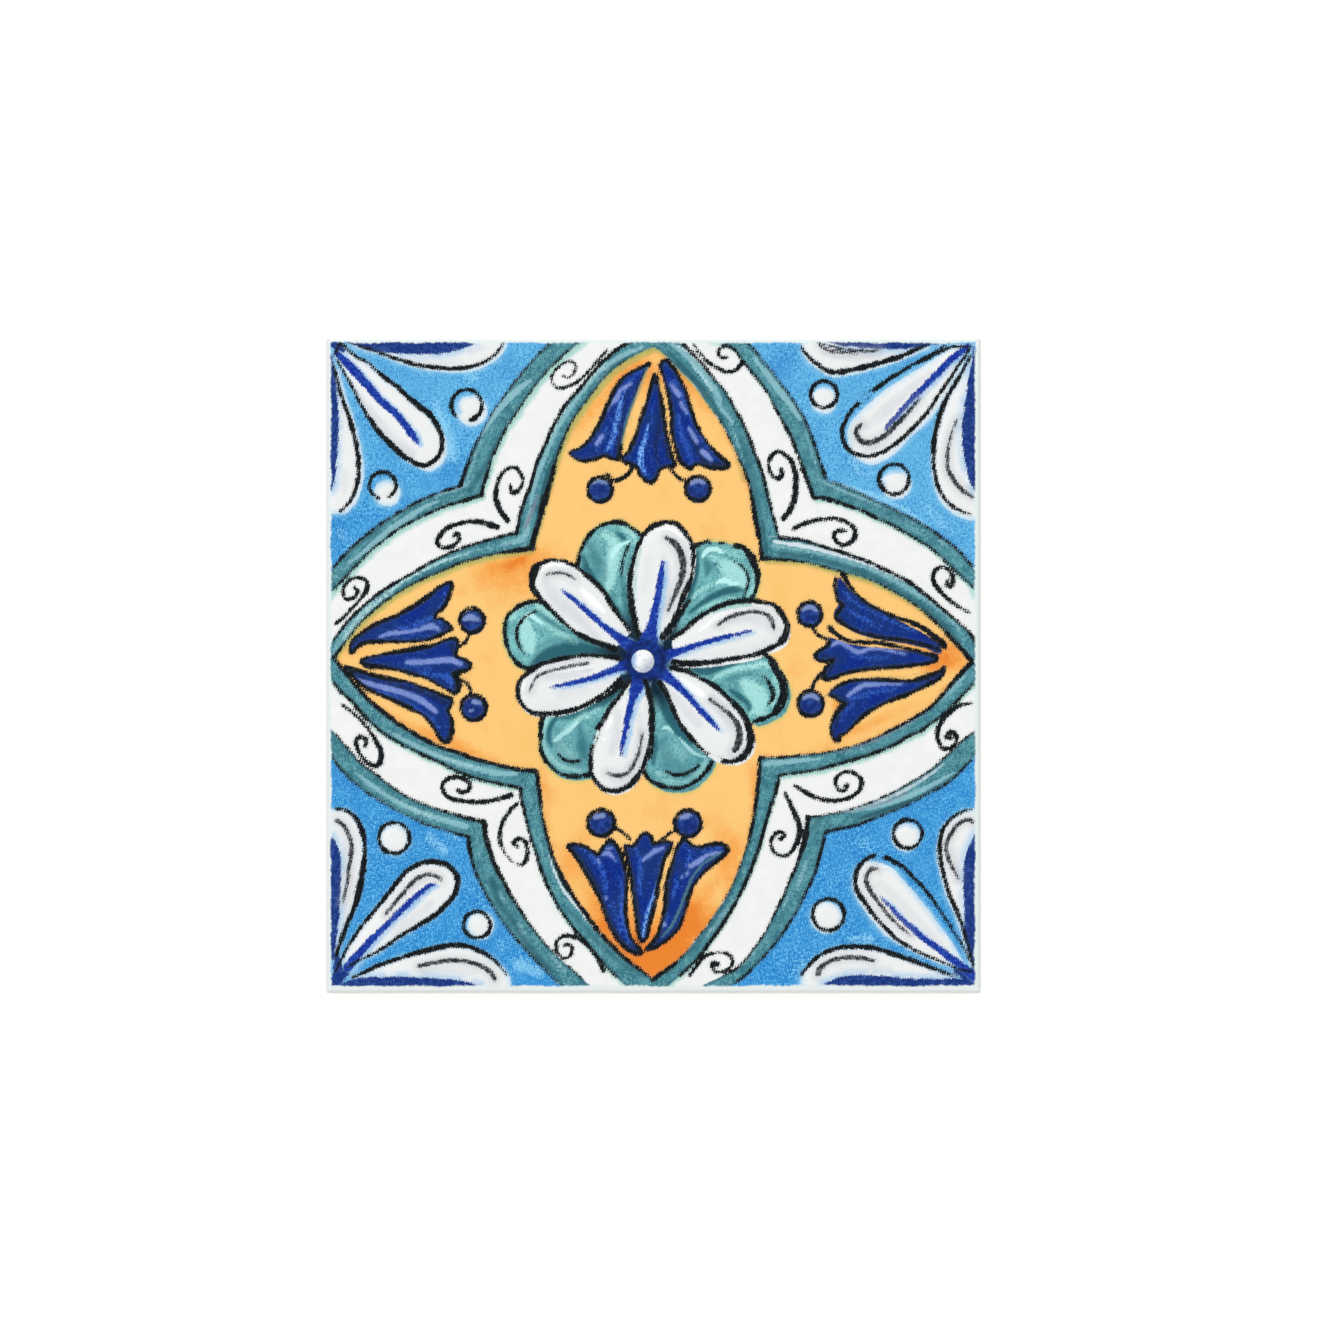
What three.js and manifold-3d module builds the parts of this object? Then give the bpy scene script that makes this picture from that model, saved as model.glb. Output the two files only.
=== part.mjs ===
// A glazed majolica wall tile, 200 x 200 mm, lying face up. Millimetres, +Z up,
// the origin in the middle of the flat back.
// The tile is one fired piece: a square slab with a rounded glazed edge, on whose
// face the ornament stands up a little: two ribbons, a flower, tulips, corner petals and dots.
import * as THREE from "three";
import { ParametricGeometry } from "three/addons/geometries/ParametricGeometry.js";
import { mergeVertices } from "three/addons/utils/BufferGeometryUtils.js";
import Module from "manifold-3d";

// Driving dimensions.
const SIDE = 200; // both sides of the square
const BODY = 8; // back to the flat of the face
const EDGE_ROUND = 2; // width and drop of the rounded edge of the face
const BACK_CHAMFER = 0.8; // small chamfer round the back
const CORNER_R = 0.8; // plan radius of the four corners
const RIBBON_H = 0.7; // height of the ribbons over the face
const RIBBON_STEP = 4.5; // length of the straight runs along the ribbons' curves
const TULIP_BEVEL = 0.35; // slope at the tulips' edges
const PETAL_H = 0.95; // height of the white petals in the middle
const TEAL_H = 0.7; // height of the teal petals behind them
const CORNER_H = 0.9; // height of the diagonal corner petals
const EDGE_PETAL_H = 0.6; // height of the half petals along the edges
const TULIP_H = 0.7; // height of the tulip petals
const DOT_H = 0.9; // height of the dots
const HUB_H = 1.1; // height of the flower's hub
const MARGIN = 1.8; // the ornament stops this far inside the tile's edge
const SINK = 1.5; // how far each raised shape reaches down into the slab

// Inner edge of the ribbon round the middle field, clockwise from the corner at upper left.
const STAR_INNER = [[-36.7, 35.8], [-36.7, 37.6], [-34.9, 44.2], [-33.2, 50.3], [-31.4, 56.4], [-29.7, 62.4], [-27.5, 68.5], [-24.8, 74.5], [-20.2, 80.9], [-15.4, 87.3], [-10.2, 92], [-4.1, 95.5], [0.2, 97.3], [2.9, 95.3], [5.5, 92.5], [8.6, 89.3], [11.8, 86.2], [14.9, 82], [17.5, 78.4], [20.2, 74.7], [22.3, 71.1], [24.4, 66.9], [26.2, 62.7], [28, 58.5], [29.3, 54.4], [30.1, 50.2], [30.9, 45.5], [31.7, 41.3], [32.5, 37.7], [33, 32.7], [38.5, 32.4], [44.6, 31.8], [50.7, 30.6], [56.8, 28.8], [62.9, 27.3], [68.9, 24.8], [75, 21.5], [81.1, 17.6], [87.2, 12.1], [90.3, 8.9], [93.3, 5.6], [95.7, 2.9], [97.1, 1.2], [95.7, 0], [91.8, -4.2], [88.7, -7.9], [86.3, -10.6], [83.9, -12.9], [78.9, -16.1], [73.8, -18.8], [68.9, -21.2], [64.1, -23.3], [59.1, -24.8], [54, -26.1], [49.2, -26.8], [44.3, -27.3], [39.3, -27.8], [34.2, -27.9], [32.4, -27.9], [32, -35.2], [31.2, -41.5], [30.7, -45.7], [29.9, -49.3], [29.1, -53], [28, -56.1], [26.7, -59.8], [25.4, -63.4], [24.1, -66.5], [22.3, -70.2], [20.2, -73.3], [18.1, -76.5], [16, -79.6], [13.9, -82.1], [11.8, -84.8], [9.7, -87.4], [6.5, -90.6], [3.2, -93], [-0.2, -95.5], [-4, -92.6], [-8.1, -89.5], [-12.3, -85.6], [-16, -81.7], [-19.1, -77.5], [-22.3, -73.3], [-24.9, -69.4], [-27, -66], [-28.9, -62.4], [-30.4, -58.7], [-31.7, -54.5], [-32.8, -50.9], [-33.8, -46.2], [-34.3, -41.5], [-35, -36.8], [-35.6, -32.1], [-39.6, -31.7], [-44.6, -30.8], [-49.5, -29.5], [-54.5, -28.3], [-59.5, -26.3], [-64.4, -24.8], [-69.3, -22.6], [-74.3, -19.7], [-77.8, -17.5], [-81.7, -14.5], [-85.7, -11.3], [-89.1, -7.8], [-91.6, -4.7], [-94.1, -1.7], [-96.1, 0.8], [-97.3, 2.7], [-95.4, 5.2], [-92.4, 9.1], [-89.3, 13], [-83.3, 18.5], [-77.2, 22.7], [-71.1, 26.1], [-65, 28.6], [-58.9, 31.3], [-52.8, 33], [-46.7, 34.4], [-40.6, 35.3], [-36.7, 35.8]];
// Outer edge of the same ribbon: four chains, one round each corner of the tile, each run out to the printed edge.
const STAR_OUTER = {
  UL: [[-101.3, 3.1], [-97.6, 7.9], [-95.4, 10.6], [-92.4, 14.3], [-89.3, 17.3], [-86.3, 20], [-83.3, 22.4], [-77.2, 26.2], [-71.1, 29.7], [-65, 33], [-58.9, 35.7], [-52.8, 37.6], [-46.7, 39.3], [-43.7, 40.2], [-41.6, 40.3], [-40.9, 45.3], [-40, 48.2], [-38.6, 52], [-37.4, 55], [-36.3, 59.1], [-35, 63], [-32.8, 67.9], [-31.2, 71.6], [-29.6, 74.7], [-27.5, 78.4], [-25.4, 81], [-22.3, 84.6], [-19.7, 87.8], [-17, 90.9], [-14.4, 93.5], [-11.8, 95.9], [-9.2, 97.7], [-7.2, 98.8], [-1.8, 101.7]],
  UR: [[5.1, 102.4], [9.2, 97.9], [11.8, 95.1], [14.4, 92.5], [16.5, 89.9], [19.1, 86.7], [21.7, 83.6], [23.8, 79.9], [25.9, 76.3], [28, 72.1], [29.9, 67.4], [31.2, 63.8], [32.7, 60.1], [33.8, 55.9], [34.9, 51.8], [35.9, 47.6], [37, 43.9], [38.1, 39.2], [41.2, 38.8], [44.2, 38.6], [46.7, 38], [50.7, 36.7], [54.1, 35.5], [57.1, 34.6], [60.1, 33.7], [64, 32.3], [68.9, 30.1], [73.9, 27.6], [78.9, 24.9], [81.4, 22.7], [83.8, 21], [86.3, 18.8], [88.7, 16.8], [91.3, 14.5], [93.7, 12.6], [96.2, 10.1], [97.7, 7.7], [100.8, 2.5]],
  LR: [[101.3, -1.4], [97.1, -5.8], [94.2, -8.8], [91.2, -11.8], [87.5, -15.5], [83.8, -18], [81.4, -19.9], [78.9, -20.9], [76.4, -22.1], [73.9, -23.6], [71.4, -24.8], [66.5, -26.8], [64, -27.6], [59.1, -29.1], [54.1, -30.5], [49.2, -31.8], [44.2, -32.5], [38.4, -33.3], [37.4, -37.3], [36, -41.9], [34.6, -46.7], [33.3, -50.9], [32, -55.8], [30.6, -59.7], [29.1, -63.6], [26.9, -68.2], [24.9, -72.1], [22.3, -76.7], [19.6, -80.6], [17, -84.4], [14.4, -88], [11.8, -90.9], [8.1, -94.2], [3.5, -98.3]],
  LL: [[-7, -99], [-11.3, -94.7], [-14.5, -91.6], [-17, -88.5], [-19.7, -85.3], [-23.3, -81.2], [-26.5, -77], [-29.1, -73.3], [-31.2, -68.9], [-33.8, -63.4], [-35.8, -57.3], [-37.4, -52.3], [-38.8, -46.7], [-39.9, -42.1], [-40.4, -39.7], [-40.3, -37.3], [-45.6, -36.2], [-50.3, -35.2], [-54.9, -33.9], [-59.6, -32.2], [-64.4, -29.8], [-71.8, -26.4], [-77.2, -23.6], [-81.7, -20.9], [-84.7, -18.5], [-87.2, -16.1], [-89.6, -13.3], [-92.1, -10.6], [-95.1, -7.9], [-97.3, -5.2], [-101.1, -0.4]],
};
// Edge of each outer ribbon on its corner side, from rim to rim.
const OUTER_CORNER = {
  UL: [[-101.2, 25.4], [-97.3, 30.1], [-95.1, 32.8], [-92.4, 35.7], [-88.7, 38.9], [-84.5, 42.3], [-80.2, 45.3], [-75.9, 47.8], [-71.6, 50.2], [-67.3, 52.1], [-63.1, 53.5], [-58.8, 54.8], [-57.5, 58.9], [-56.3, 62.3], [-55.4, 64.8], [-54.1, 67.8], [-52.6, 70.4], [-50.7, 74.2], [-48.6, 78], [-46.4, 81], [-43.9, 84.4], [-41.7, 87.4], [-39.6, 89.9], [-37.3, 92.6], [-34.7, 95.5], [-31.7, 98.2], [-27.2, 102.3]],
  UR: [[24.8, 103.1], [28.8, 98.5], [30.6, 96.4], [32.6, 94.1], [35, 91.1], [36.8, 88.8], [39, 85.8], [41.2, 82.7], [43.3, 79.6], [45.5, 76.2], [47.3, 72.2], [48.6, 68.8], [49.9, 64.8], [51.2, 60.9], [52.4, 57.4], [55.6, 55.8], [58.6, 54.5], [62.1, 53], [64.7, 51.7], [68.2, 50.1], [71.7, 48.5], [76.1, 46.4], [80.5, 44], [84.8, 41.4], [87.5, 39.4], [90.7, 37], [93.7, 34.2], [97.2, 30.3], [101.2, 25.7]],
  LR: [[101.2, -24.1], [97, -28.5], [92.9, -32.7], [89.1, -35.9], [84.5, -38.5], [79.8, -41], [75.2, -43.3], [70.5, -45.2], [65.8, -47], [61.2, -48.7], [56.5, -49.6], [52.4, -50.5], [51.9, -53.5], [50.9, -56.8], [49.5, -61.9], [48.1, -65.6], [46.3, -69.3], [44.4, -73.5], [42.1, -77.2], [39.3, -81.5], [36, -85.8], [32.7, -89.4], [30.1, -92.1], [27.5, -94.5], [24.8, -96.7], [20, -100.4]],
  LL: [[-25.5, -100.5], [-29.7, -96.1], [-32.2, -93.3], [-35, -90.6], [-37.9, -87.6], [-40.9, -84.2], [-43.7, -80.9], [-46.1, -77.7], [-48.4, -73.9], [-50.7, -70.2], [-52.6, -66.5], [-54.5, -62.3], [-55.4, -58.6], [-56.2, -54.5], [-56.3, -52], [-60.5, -51], [-64.2, -49.8], [-68.9, -48.4], [-73.6, -46.4], [-78.2, -44], [-81.9, -41.9], [-85.7, -39.6], [-88.9, -37.3], [-92.2, -34.5], [-95, -31.7], [-97.9, -27.9], [-101.5, -23]],
};
// Edge of each outer ribbon on its white side, from rim to rim.
const OUTER_BAND = {
  UL: [[-101.2, 19], [-97.1, 23.4], [-94.1, 26.7], [-91.6, 29.4], [-88.6, 32.4], [-85.7, 35.5], [-82.3, 38], [-79.3, 40.6], [-75.9, 42.7], [-71.6, 44.8], [-67.3, 47], [-63.1, 48.7], [-58.8, 49.9], [-55.4, 51.1], [-52.2, 52], [-52.1, 54.2], [-50.9, 57.6], [-49.8, 61], [-49, 64], [-47.3, 67.4], [-45.6, 71.2], [-43.4, 74.6], [-40.8, 78.5], [-38.2, 82.3], [-35.4, 86.1], [-32.8, 89.3], [-30.2, 92], [-27, 95], [-24.4, 97.1], [-22.7, 98.5], [-17.9, 102.3]],
  UR: [[15.3, 100.6], [20.9, 98.2], [24.4, 96.7], [26.6, 93.6], [29.1, 90.5], [32.4, 86.4], [35, 82.7], [36.8, 79.2], [38.5, 75.8], [40.3, 72.7], [42, 69.2], [43.8, 64.8], [45.1, 61.4], [46.4, 57.5], [47.7, 54], [48.8, 51.2], [51.2, 51.2], [54.2, 50.5], [56.9, 49.6], [60.4, 48.3], [63.9, 47], [67.4, 45.3], [71.7, 43.3], [76.1, 40.9], [80.5, 38.3], [84.2, 36.1], [88.7, 32], [92.7, 28.2], [97.2, 23.9], [101.6, 19.8]],
  LR: [[102.5, -16.2], [97.7, -19.9], [93.7, -23], [90.7, -25.8], [87.8, -28.5], [85.9, -30.5], [82.2, -33.2], [77.5, -35.9], [72.8, -38.5], [68.2, -40.5], [63.5, -42.4], [58.8, -43.9], [54.2, -44.9], [49.5, -45.8], [47, -46.1], [46.7, -48.9], [46.1, -52.6], [44.9, -56.8], [43.5, -60.9], [41.6, -65.2], [39.6, -70], [37.4, -74.2], [35.2, -78.8], [32.9, -82.9], [30.1, -86.7], [27.5, -90], [24.9, -92.4], [21.2, -94.2], [15.8, -97]],
  LL: [[-17, -99.6], [-21.5, -95.5], [-23.9, -93.2], [-27, -90.5], [-30.2, -87.4], [-32.8, -84.8], [-35.4, -81.5], [-37.1, -79.4], [-39.1, -76.5], [-41.4, -73], [-43.7, -69.3], [-45.6, -65.6], [-47.5, -62.3], [-48.9, -59.1], [-50.3, -54.9], [-51.2, -51.2], [-51.6, -47.4], [-54, -46.9], [-57.3, -46.2], [-61.5, -44.8], [-65.2, -43.8], [-68.9, -42.4], [-73.6, -40.5], [-77.3, -38.5], [-81.5, -35.5], [-85.2, -32.4], [-88.9, -29.7], [-91.6, -26.7], [-94.1, -23.9], [-96.8, -20.7], [-100.7, -16]],
};
// The six white petals, each from the hub out round its tip and back.
const WHITE_PETALS = [
  [[-4.8, 11.2], [-6.5, 16.2], [-7.3, 21.8], [-7, 27.4], [-6.2, 31.9], [-5.1, 35.8], [-3.4, 39.2], [-1.7, 41.5], [1.1, 43.1], [4, 43.7], [6.8, 43.4], [8.7, 41.7], [10.7, 39.2], [12.1, 35.8], [12.1, 31.9], [11.5, 27.4], [10.1, 23.5], [8.4, 19.6], [6.8, 15.1], [4.5, 10.6], [2.8, 8.4]],
  [[5.6, 8.4], [9.6, 11.2], [13.5, 14.5], [18, 17.3], [22.5, 19], [27, 19.8], [30.4, 19.8], [34.9, 19], [37.7, 17.9], [40, 15.1], [41.1, 11.7], [40.2, 8.4], [38.3, 6.7], [35.2, 5.3], [32.1, 3.9], [28.2, 2.9], [23.7, 2.2], [19.7, 1.5], [15.2, 1.1], [9.6, 1], [6.2, 1.4]],
  [[5.6, -0.6], [9.6, -1.4], [13.5, -3.4], [16.9, -5.1], [20.2, -7.3], [23.7, -10.7], [26.5, -14], [28.7, -18], [30.1, -21.9], [29.6, -25.2], [27.6, -27.8], [24.8, -28.9], [21.9, -29.1], [20, -28.6], [18, -27.8], [14.9, -25.5], [12.4, -23], [9.6, -19.6], [7.3, -16.3], [5.6, -12.4], [4, -8.5], [2, -5.1]],
  [[-7.3, -4.5], [-10.1, -9], [-12.9, -12.4], [-15.2, -16.3], [-16.9, -19.1], [-18, -22.4], [-18.9, -25.8], [-19.1, -28.6], [-18.9, -32.5], [-17.4, -35.3], [-15.2, -37.3], [-12.4, -38.2], [-9.6, -37.6], [-6.8, -35.9], [-4.5, -33.1], [-2.8, -29.7], [-1.7, -25.8], [-0.9, -21.3], [-0.9, -16.8], [-0.9, -11.8], [-1.7, -7.3], [-2.5, -4.5]],
  [[-10.7, 2.5], [-15.2, 2.9], [-19.7, 3.3], [-24.2, 2.9], [-28.2, 2.2], [-31.5, 1.4], [-34.9, 0.2], [-37.7, -1.7], [-40.2, -3.9], [-41.4, -6.8], [-41.1, -9.5], [-40, -11.8], [-37.7, -13.8], [-34.9, -14.6], [-31, -14.5], [-27, -14], [-23.1, -12.9], [-18.6, -10.7], [-15.2, -8.5], [-12.4, -6.2], [-10.1, -3.9]],
  [[-7.3, 10.6], [-9.6, 14], [-12.4, 17.9], [-14.6, 21.8], [-17.4, 25.2], [-20.9, 28], [-23.1, 29.9], [-25.9, 31.4], [-29.3, 32.2], [-32.7, 31.9], [-35.5, 30.5], [-37.2, 28], [-36.9, 24.6], [-35.5, 21.8], [-33.2, 19], [-30.4, 16.2], [-27.6, 13.4], [-24.2, 10.6], [-20.3, 8.4], [-15.8, 6.7], [-11.8, 5.6]],
];
// The visible ends of the six teal petals between them, in order round the flower.
const TEAL_PETALS = [
  [[-23.1, 30.8], [-22.5, 34.2], [-21.4, 37], [-19.1, 40.3], [-16.3, 42.6], [-12.9, 43.7], [-10.1, 43.7], [-7.3, 42.6], [-5.1, 40.9], [-3.4, 39.2]],
  [[11.7, 35.8], [14.4, 37.3], [16.3, 37.8], [18.9, 37.7], [21.8, 37.4], [24.8, 36.7], [27, 36.1], [29.3, 34.7], [31, 31.9], [32, 28.5], [31.5, 24.6], [30.7, 21.8], [29.3, 20.2]],
  [[32.7, 4.2], [34.9, 2.8], [37.2, 0.5], [38.8, -2.3], [40.2, -5.1], [40.5, -8.5], [39.4, -11.8], [37.7, -14], [36, -14.8], [33.8, -16], [30.4, -16.8]],
  [[18.3, -27.8], [16.9, -30.8], [14.6, -33.6], [11.8, -35.9], [8.4, -37], [4, -37], [1.1, -35.9], [-1.7, -34.2], [-2.8, -32]],
  [[-33.5, -14.8], [-34.3, -18], [-34.3, -21.9], [-34.3, -25.2], [-33.2, -28.1], [-31, -30.8], [-28.2, -32.8], [-24.2, -33.6], [-20.9, -33.3], [-19.1, -33]],
  [[-33.5, 19.6], [-37.2, 19.6], [-40, 18.8], [-42.8, 16.8], [-44.7, 14.5], [-45.3, 11.2], [-45.1, 7.8], [-43.9, 4.5], [-41.7, 1.1], [-38.8, -0.6], [-36.9, -0.6]],
];
// Three petals of each of the four tulips.
const TULIP_PETALS = [
  [[-1.6, 91.9], [-4.5, 90.6], [-7.1, 89.3], [-9.2, 87.8], [-11.3, 85.2], [-12.8, 82], [-14.4, 78.4], [-16, 74.7], [-18.1, 71.1], [-19.7, 68.7], [-22.3, 66.4], [-25.4, 65.1], [-23.9, 63.2], [-21.2, 62.5], [-18.1, 62.8], [-14.7, 64], [-12.3, 63], [-10.5, 63.2], [-10, 66.4], [-9.2, 69.5], [-8.1, 73.2], [-6.6, 78.4], [-5, 83.1], [-3.4, 87.3], [-1.6, 90.9]],
  [[0.4, 88.6], [-0.5, 86.2], [-1.3, 83.1], [-2.1, 79.9], [-3.2, 77.3], [-4.2, 74.2], [-5, 71.1], [-6, 68.5], [-7.6, 65.3], [-9.7, 63], [-7.1, 61.4], [-5, 60.4], [-4, 58], [-1.3, 55.9], [0.8, 57], [1.8, 59.6], [3.9, 60.6], [5.8, 60.6], [6.3, 61.7], [5.5, 64.3], [5, 66.9], [3.9, 70.5], [3.4, 74.2], [2.9, 78.4], [2.1, 82.6], [1.3, 86.2]],
  [[2.1, 91.7], [2.9, 88.3], [3.9, 84.6], [5, 80.5], [5.5, 76.3], [5.5, 72.1], [6, 69], [7.1, 65.8], [8.1, 62.7], [9.7, 60.9], [11.3, 59.8], [12.3, 61.2], [13.9, 61.4], [17, 60.4], [19.6, 60.1], [21.7, 60.2], [23, 61.4], [21.2, 63], [18.6, 65.3], [16, 68.5], [13.9, 71.6], [12.3, 75.2], [11, 79.4], [10, 83.6], [8.6, 86.2], [7.1, 89.3], [5.5, 91.4], [3.9, 93]],
  [[-92.4, 4.2], [-92.1, 7.2], [-90.1, 9.2], [-86.7, 11.6], [-82.7, 13.6], [-78.8, 15.1], [-74.8, 17.3], [-71.3, 19.2], [-68.3, 21.5], [-65.4, 23.9], [-62.4, 25.4], [-61.4, 24.9], [-61.9, 22], [-62.9, 19.5], [-64.4, 17.5], [-66.4, 15.5], [-66.4, 14.5], [-63.9, 14.1], [-61.9, 12.3], [-61.3, 11.1], [-63.4, 10.1], [-65.9, 8.9], [-68.9, 7.9], [-72.8, 7.4], [-76.8, 7.4], [-80.7, 7.4], [-84.7, 7.4], [-88.2, 6.9], [-90.1, 5.9], [-91.4, 4.2]],
  [[-88.9, 1.8], [-86.7, 2.7], [-81.7, 3.7], [-76.8, 4.5], [-71.8, 5.5], [-66.9, 6.4], [-63.4, 7.9], [-60.9, 8.4], [-59.5, 7.2], [-59.9, 4.7], [-60.2, 3.2], [-58, 2.2], [-55.7, 0.8], [-56.2, -1], [-58.4, -1.7], [-60.4, -2.4], [-59.5, -4.2], [-59.2, -6.6], [-60.2, -8.4], [-62.4, -7.4], [-64.9, -6.1], [-67.9, -4.4], [-70.8, -3.2], [-73.8, -2.4], [-76.8, -1.5], [-80.7, -0.7], [-84.7, -0.1], [-87.7, 0]],
  [[-94.1, -0.2], [-90.6, -1.2], [-86.7, -2.4], [-82.7, -3.4], [-78.8, -4.2], [-74.8, -4.9], [-71.3, -6.1], [-67.9, -7.4], [-64.9, -8.6], [-62.4, -9.8], [-61.3, -10.8], [-61.9, -12.5], [-62.6, -13.5], [-61.7, -15.5], [-61.2, -18.5], [-61.7, -21.4], [-62.9, -23.2], [-64.6, -22.4], [-65.9, -20.4], [-67.9, -17.5], [-70.3, -15], [-73.8, -13], [-77.3, -11.5], [-80.7, -9.8], [-84.2, -8.4], [-87.7, -6.6], [-90.1, -4.7], [-92.1, -2.7]],
  [[56.6, 26.4], [58.1, 24.4], [60.1, 22.5], [63, 20], [67, 17], [71, 14.3], [74.9, 11.8], [78.9, 9.9], [81.9, 8.6], [84.8, 7.2], [87.1, 5.7], [87.1, 3.7], [85.3, 4.2], [82.8, 5.5], [79.4, 6.2], [75.4, 6.9], [71.4, 7.7], [67.5, 8.4], [64, 9.2], [61, 10.4], [58.6, 11.8], [56.1, 13.6], [55.1, 15.5], [55.6, 17.5], [57.1, 19], [56.3, 21], [55.9, 23.4]],
  [[53.1, 8.9], [55.6, 8.2], [59.1, 7], [63, 6.2], [67, 5.7], [71, 5.5], [74.9, 4.9], [78.9, 4.5], [82.8, 4], [86.3, 3.5], [86.5, 2.2], [85.8, 1.2], [83.8, 0.8], [79.9, 0.3], [75.9, -0.2], [72, -0.5], [68, -0.7], [64, -1.2], [60.1, -1.9], [57.1, -2.7], [55.1, -3.6], [53.1, -4.2], [51.9, -3.4], [52.1, -1.2], [53.1, 0.3], [55.1, 2], [53.1, 1.5], [50.7, 1.5], [49.2, 2.7], [50.2, 4.5], [52.1, 5.7], [53.6, 7]],
  [[53.6, -8.8], [54.1, -7.6], [56.6, -5.9], [59.6, -4.7], [63, -4.2], [67, -4.2], [71, -4.2], [74.9, -4.4], [78.9, -4.4], [81.9, -3.6], [84.8, -2.7], [87.3, -1.5], [88.5, -0.2], [88.3, -1.7], [87.3, -3.6], [84.3, -5.4], [80.8, -7.1], [76.9, -8.8], [72.9, -10.3], [68.9, -12.1], [65.5, -14], [63, -16], [60.6, -18.5], [58.6, -20.4], [56.6, -21.2], [56.6, -22.9], [55.1, -22.4], [54.1, -20.4], [54.1, -18], [55.1, -15.5], [56.6, -13], [58.3, -11.3], [57.1, -11.1], [55.1, -9.6]],
  [[-26.2, -54.8], [-23.9, -54.2], [-20.7, -55.1], [-18.1, -56.6], [-16.8, -57.4], [-15.5, -55.3], [-13.4, -53], [-11.8, -54], [-10.2, -56.6], [-9.2, -59.8], [-8.4, -63.4], [-8.1, -67.6], [-8.4, -71.8], [-8.4, -75.4], [-7.9, -79.1], [-7.1, -82.2], [-5.5, -84.8], [-4, -86.4], [-3.7, -87.4], [-5, -87.7], [-7.6, -86.6], [-10.2, -84.2], [-12.3, -81.2], [-13.9, -78], [-14.9, -74.8], [-16.3, -71.2], [-18.1, -67.6], [-20.2, -63.9], [-22.3, -60.3], [-24.4, -57.1]],
  [[-8.7, -54.5], [-6, -54.8], [-4.5, -52.4], [-2.6, -50.9], [-0.8, -51.9], [0.2, -54], [2.9, -53.5], [5.5, -53.8], [5.2, -55.6], [3.9, -57.7], [2.9, -60.3], [2.3, -63.4], [1.6, -66.5], [0.8, -70.7], [-0.3, -74.8], [-1.3, -79.1], [-2.1, -82.7], [-3.2, -83.8], [-4.2, -83.2], [-5, -79.6], [-5.5, -75.4], [-6, -71.2], [-6.6, -67.1], [-7.1, -63.4], [-7.9, -59.8], [-8.6, -56.6]],
  [[-2.1, -86.2], [-0.3, -84.2], [1.3, -81.7], [2.3, -78.5], [3.1, -74.8], [3.7, -70.7], [3.9, -66.5], [5, -62.4], [6, -58.7], [7.1, -55.6], [8.6, -53.2], [10, -53], [11.8, -54.5], [14.4, -55.1], [17.5, -54.2], [20.7, -54.2], [22.5, -55.6], [22, -57.1], [19.6, -59.2], [17, -61.3], [14.4, -63.9], [12.3, -66.5], [11, -69.7], [10, -73.3], [8.9, -77], [7.3, -80.1], [5.5, -82.2], [2.9, -84.2], [0.2, -85.8]],
];
// The four diagonal corner petals, from the tile's corner out and back.
const CORNER_PETALS = [
  [[-97, 94.4], [-95.6, 98], [-93, 96.3], [-90.4, 94.2], [-86.6, 92], [-82.3, 88.2], [-78, 85], [-74.2, 81.4], [-70.4, 78.4], [-67.3, 75.5], [-65.2, 72.1], [-64.4, 68.7], [-64.8, 65.2], [-66.5, 62.7], [-69.1, 61.2], [-71.2, 61.2], [-73.8, 62.5], [-76.7, 64.4], [-80.2, 67.8], [-83.6, 71.2], [-86.6, 75.5], [-89.1, 79.7], [-91.7, 84.8], [-94.2, 89.5], [-96.4, 93.3]],
  [[96.6, 97], [91.5, 97.3], [86.6, 95.3], [83.1, 93.5], [78.3, 91.4], [73.9, 88.8], [70, 86.2], [66.3, 83.3], [63, 80.5], [60.4, 77.9], [58.6, 74.8], [57.5, 72.2], [57.5, 69.6], [58.6, 67], [60.8, 64.8], [63.9, 64], [66.5, 64], [69.6, 65.1], [72.6, 66.8], [75.6, 69.2], [78.7, 72.2], [81.7, 75.3], [84.4, 78.8], [87, 82.7], [89.6, 86.7], [92.3, 90.5], [94.9, 94.4], [96.2, 96.6]],
  [[-96.9, -93], [-94.5, -88.3], [-92.2, -84.2], [-89.4, -80], [-85.7, -75.3], [-81.5, -70.2], [-78.2, -66.1], [-75, -62.3], [-71.7, -60.5], [-68.9, -59.7], [-65.2, -59.8], [-62.4, -60.9], [-60.3, -63.3], [-59.6, -65.6], [-60.3, -68.8], [-61.9, -71.4], [-64.7, -74.2], [-67.5, -76.5], [-71.7, -79], [-76.3, -81.8], [-80.5, -84.6], [-84.3, -87.2], [-88.9, -89.2], [-93.1, -91.6]],
  [[97.1, -93], [93.8, -92.5], [90.1, -91.1], [85.9, -89.2], [81.2, -87.4], [77, -85.1], [73.8, -82.7], [71, -80], [68.2, -77.2], [65.4, -73.5], [63, -70.2], [61.6, -67.5], [61.4, -65.1], [61.9, -62.3], [63.5, -60], [65.4, -58.4], [67.7, -57.8], [70.3, -58.2], [72.8, -59.3], [75.6, -61], [78.4, -63.5], [81.2, -66.5], [84.5, -70.5], [86.8, -73.7], [89.1, -77.2], [91.5, -80.9], [93.8, -84.6], [96.1, -88.8], [97.5, -91.6]],
];
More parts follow.
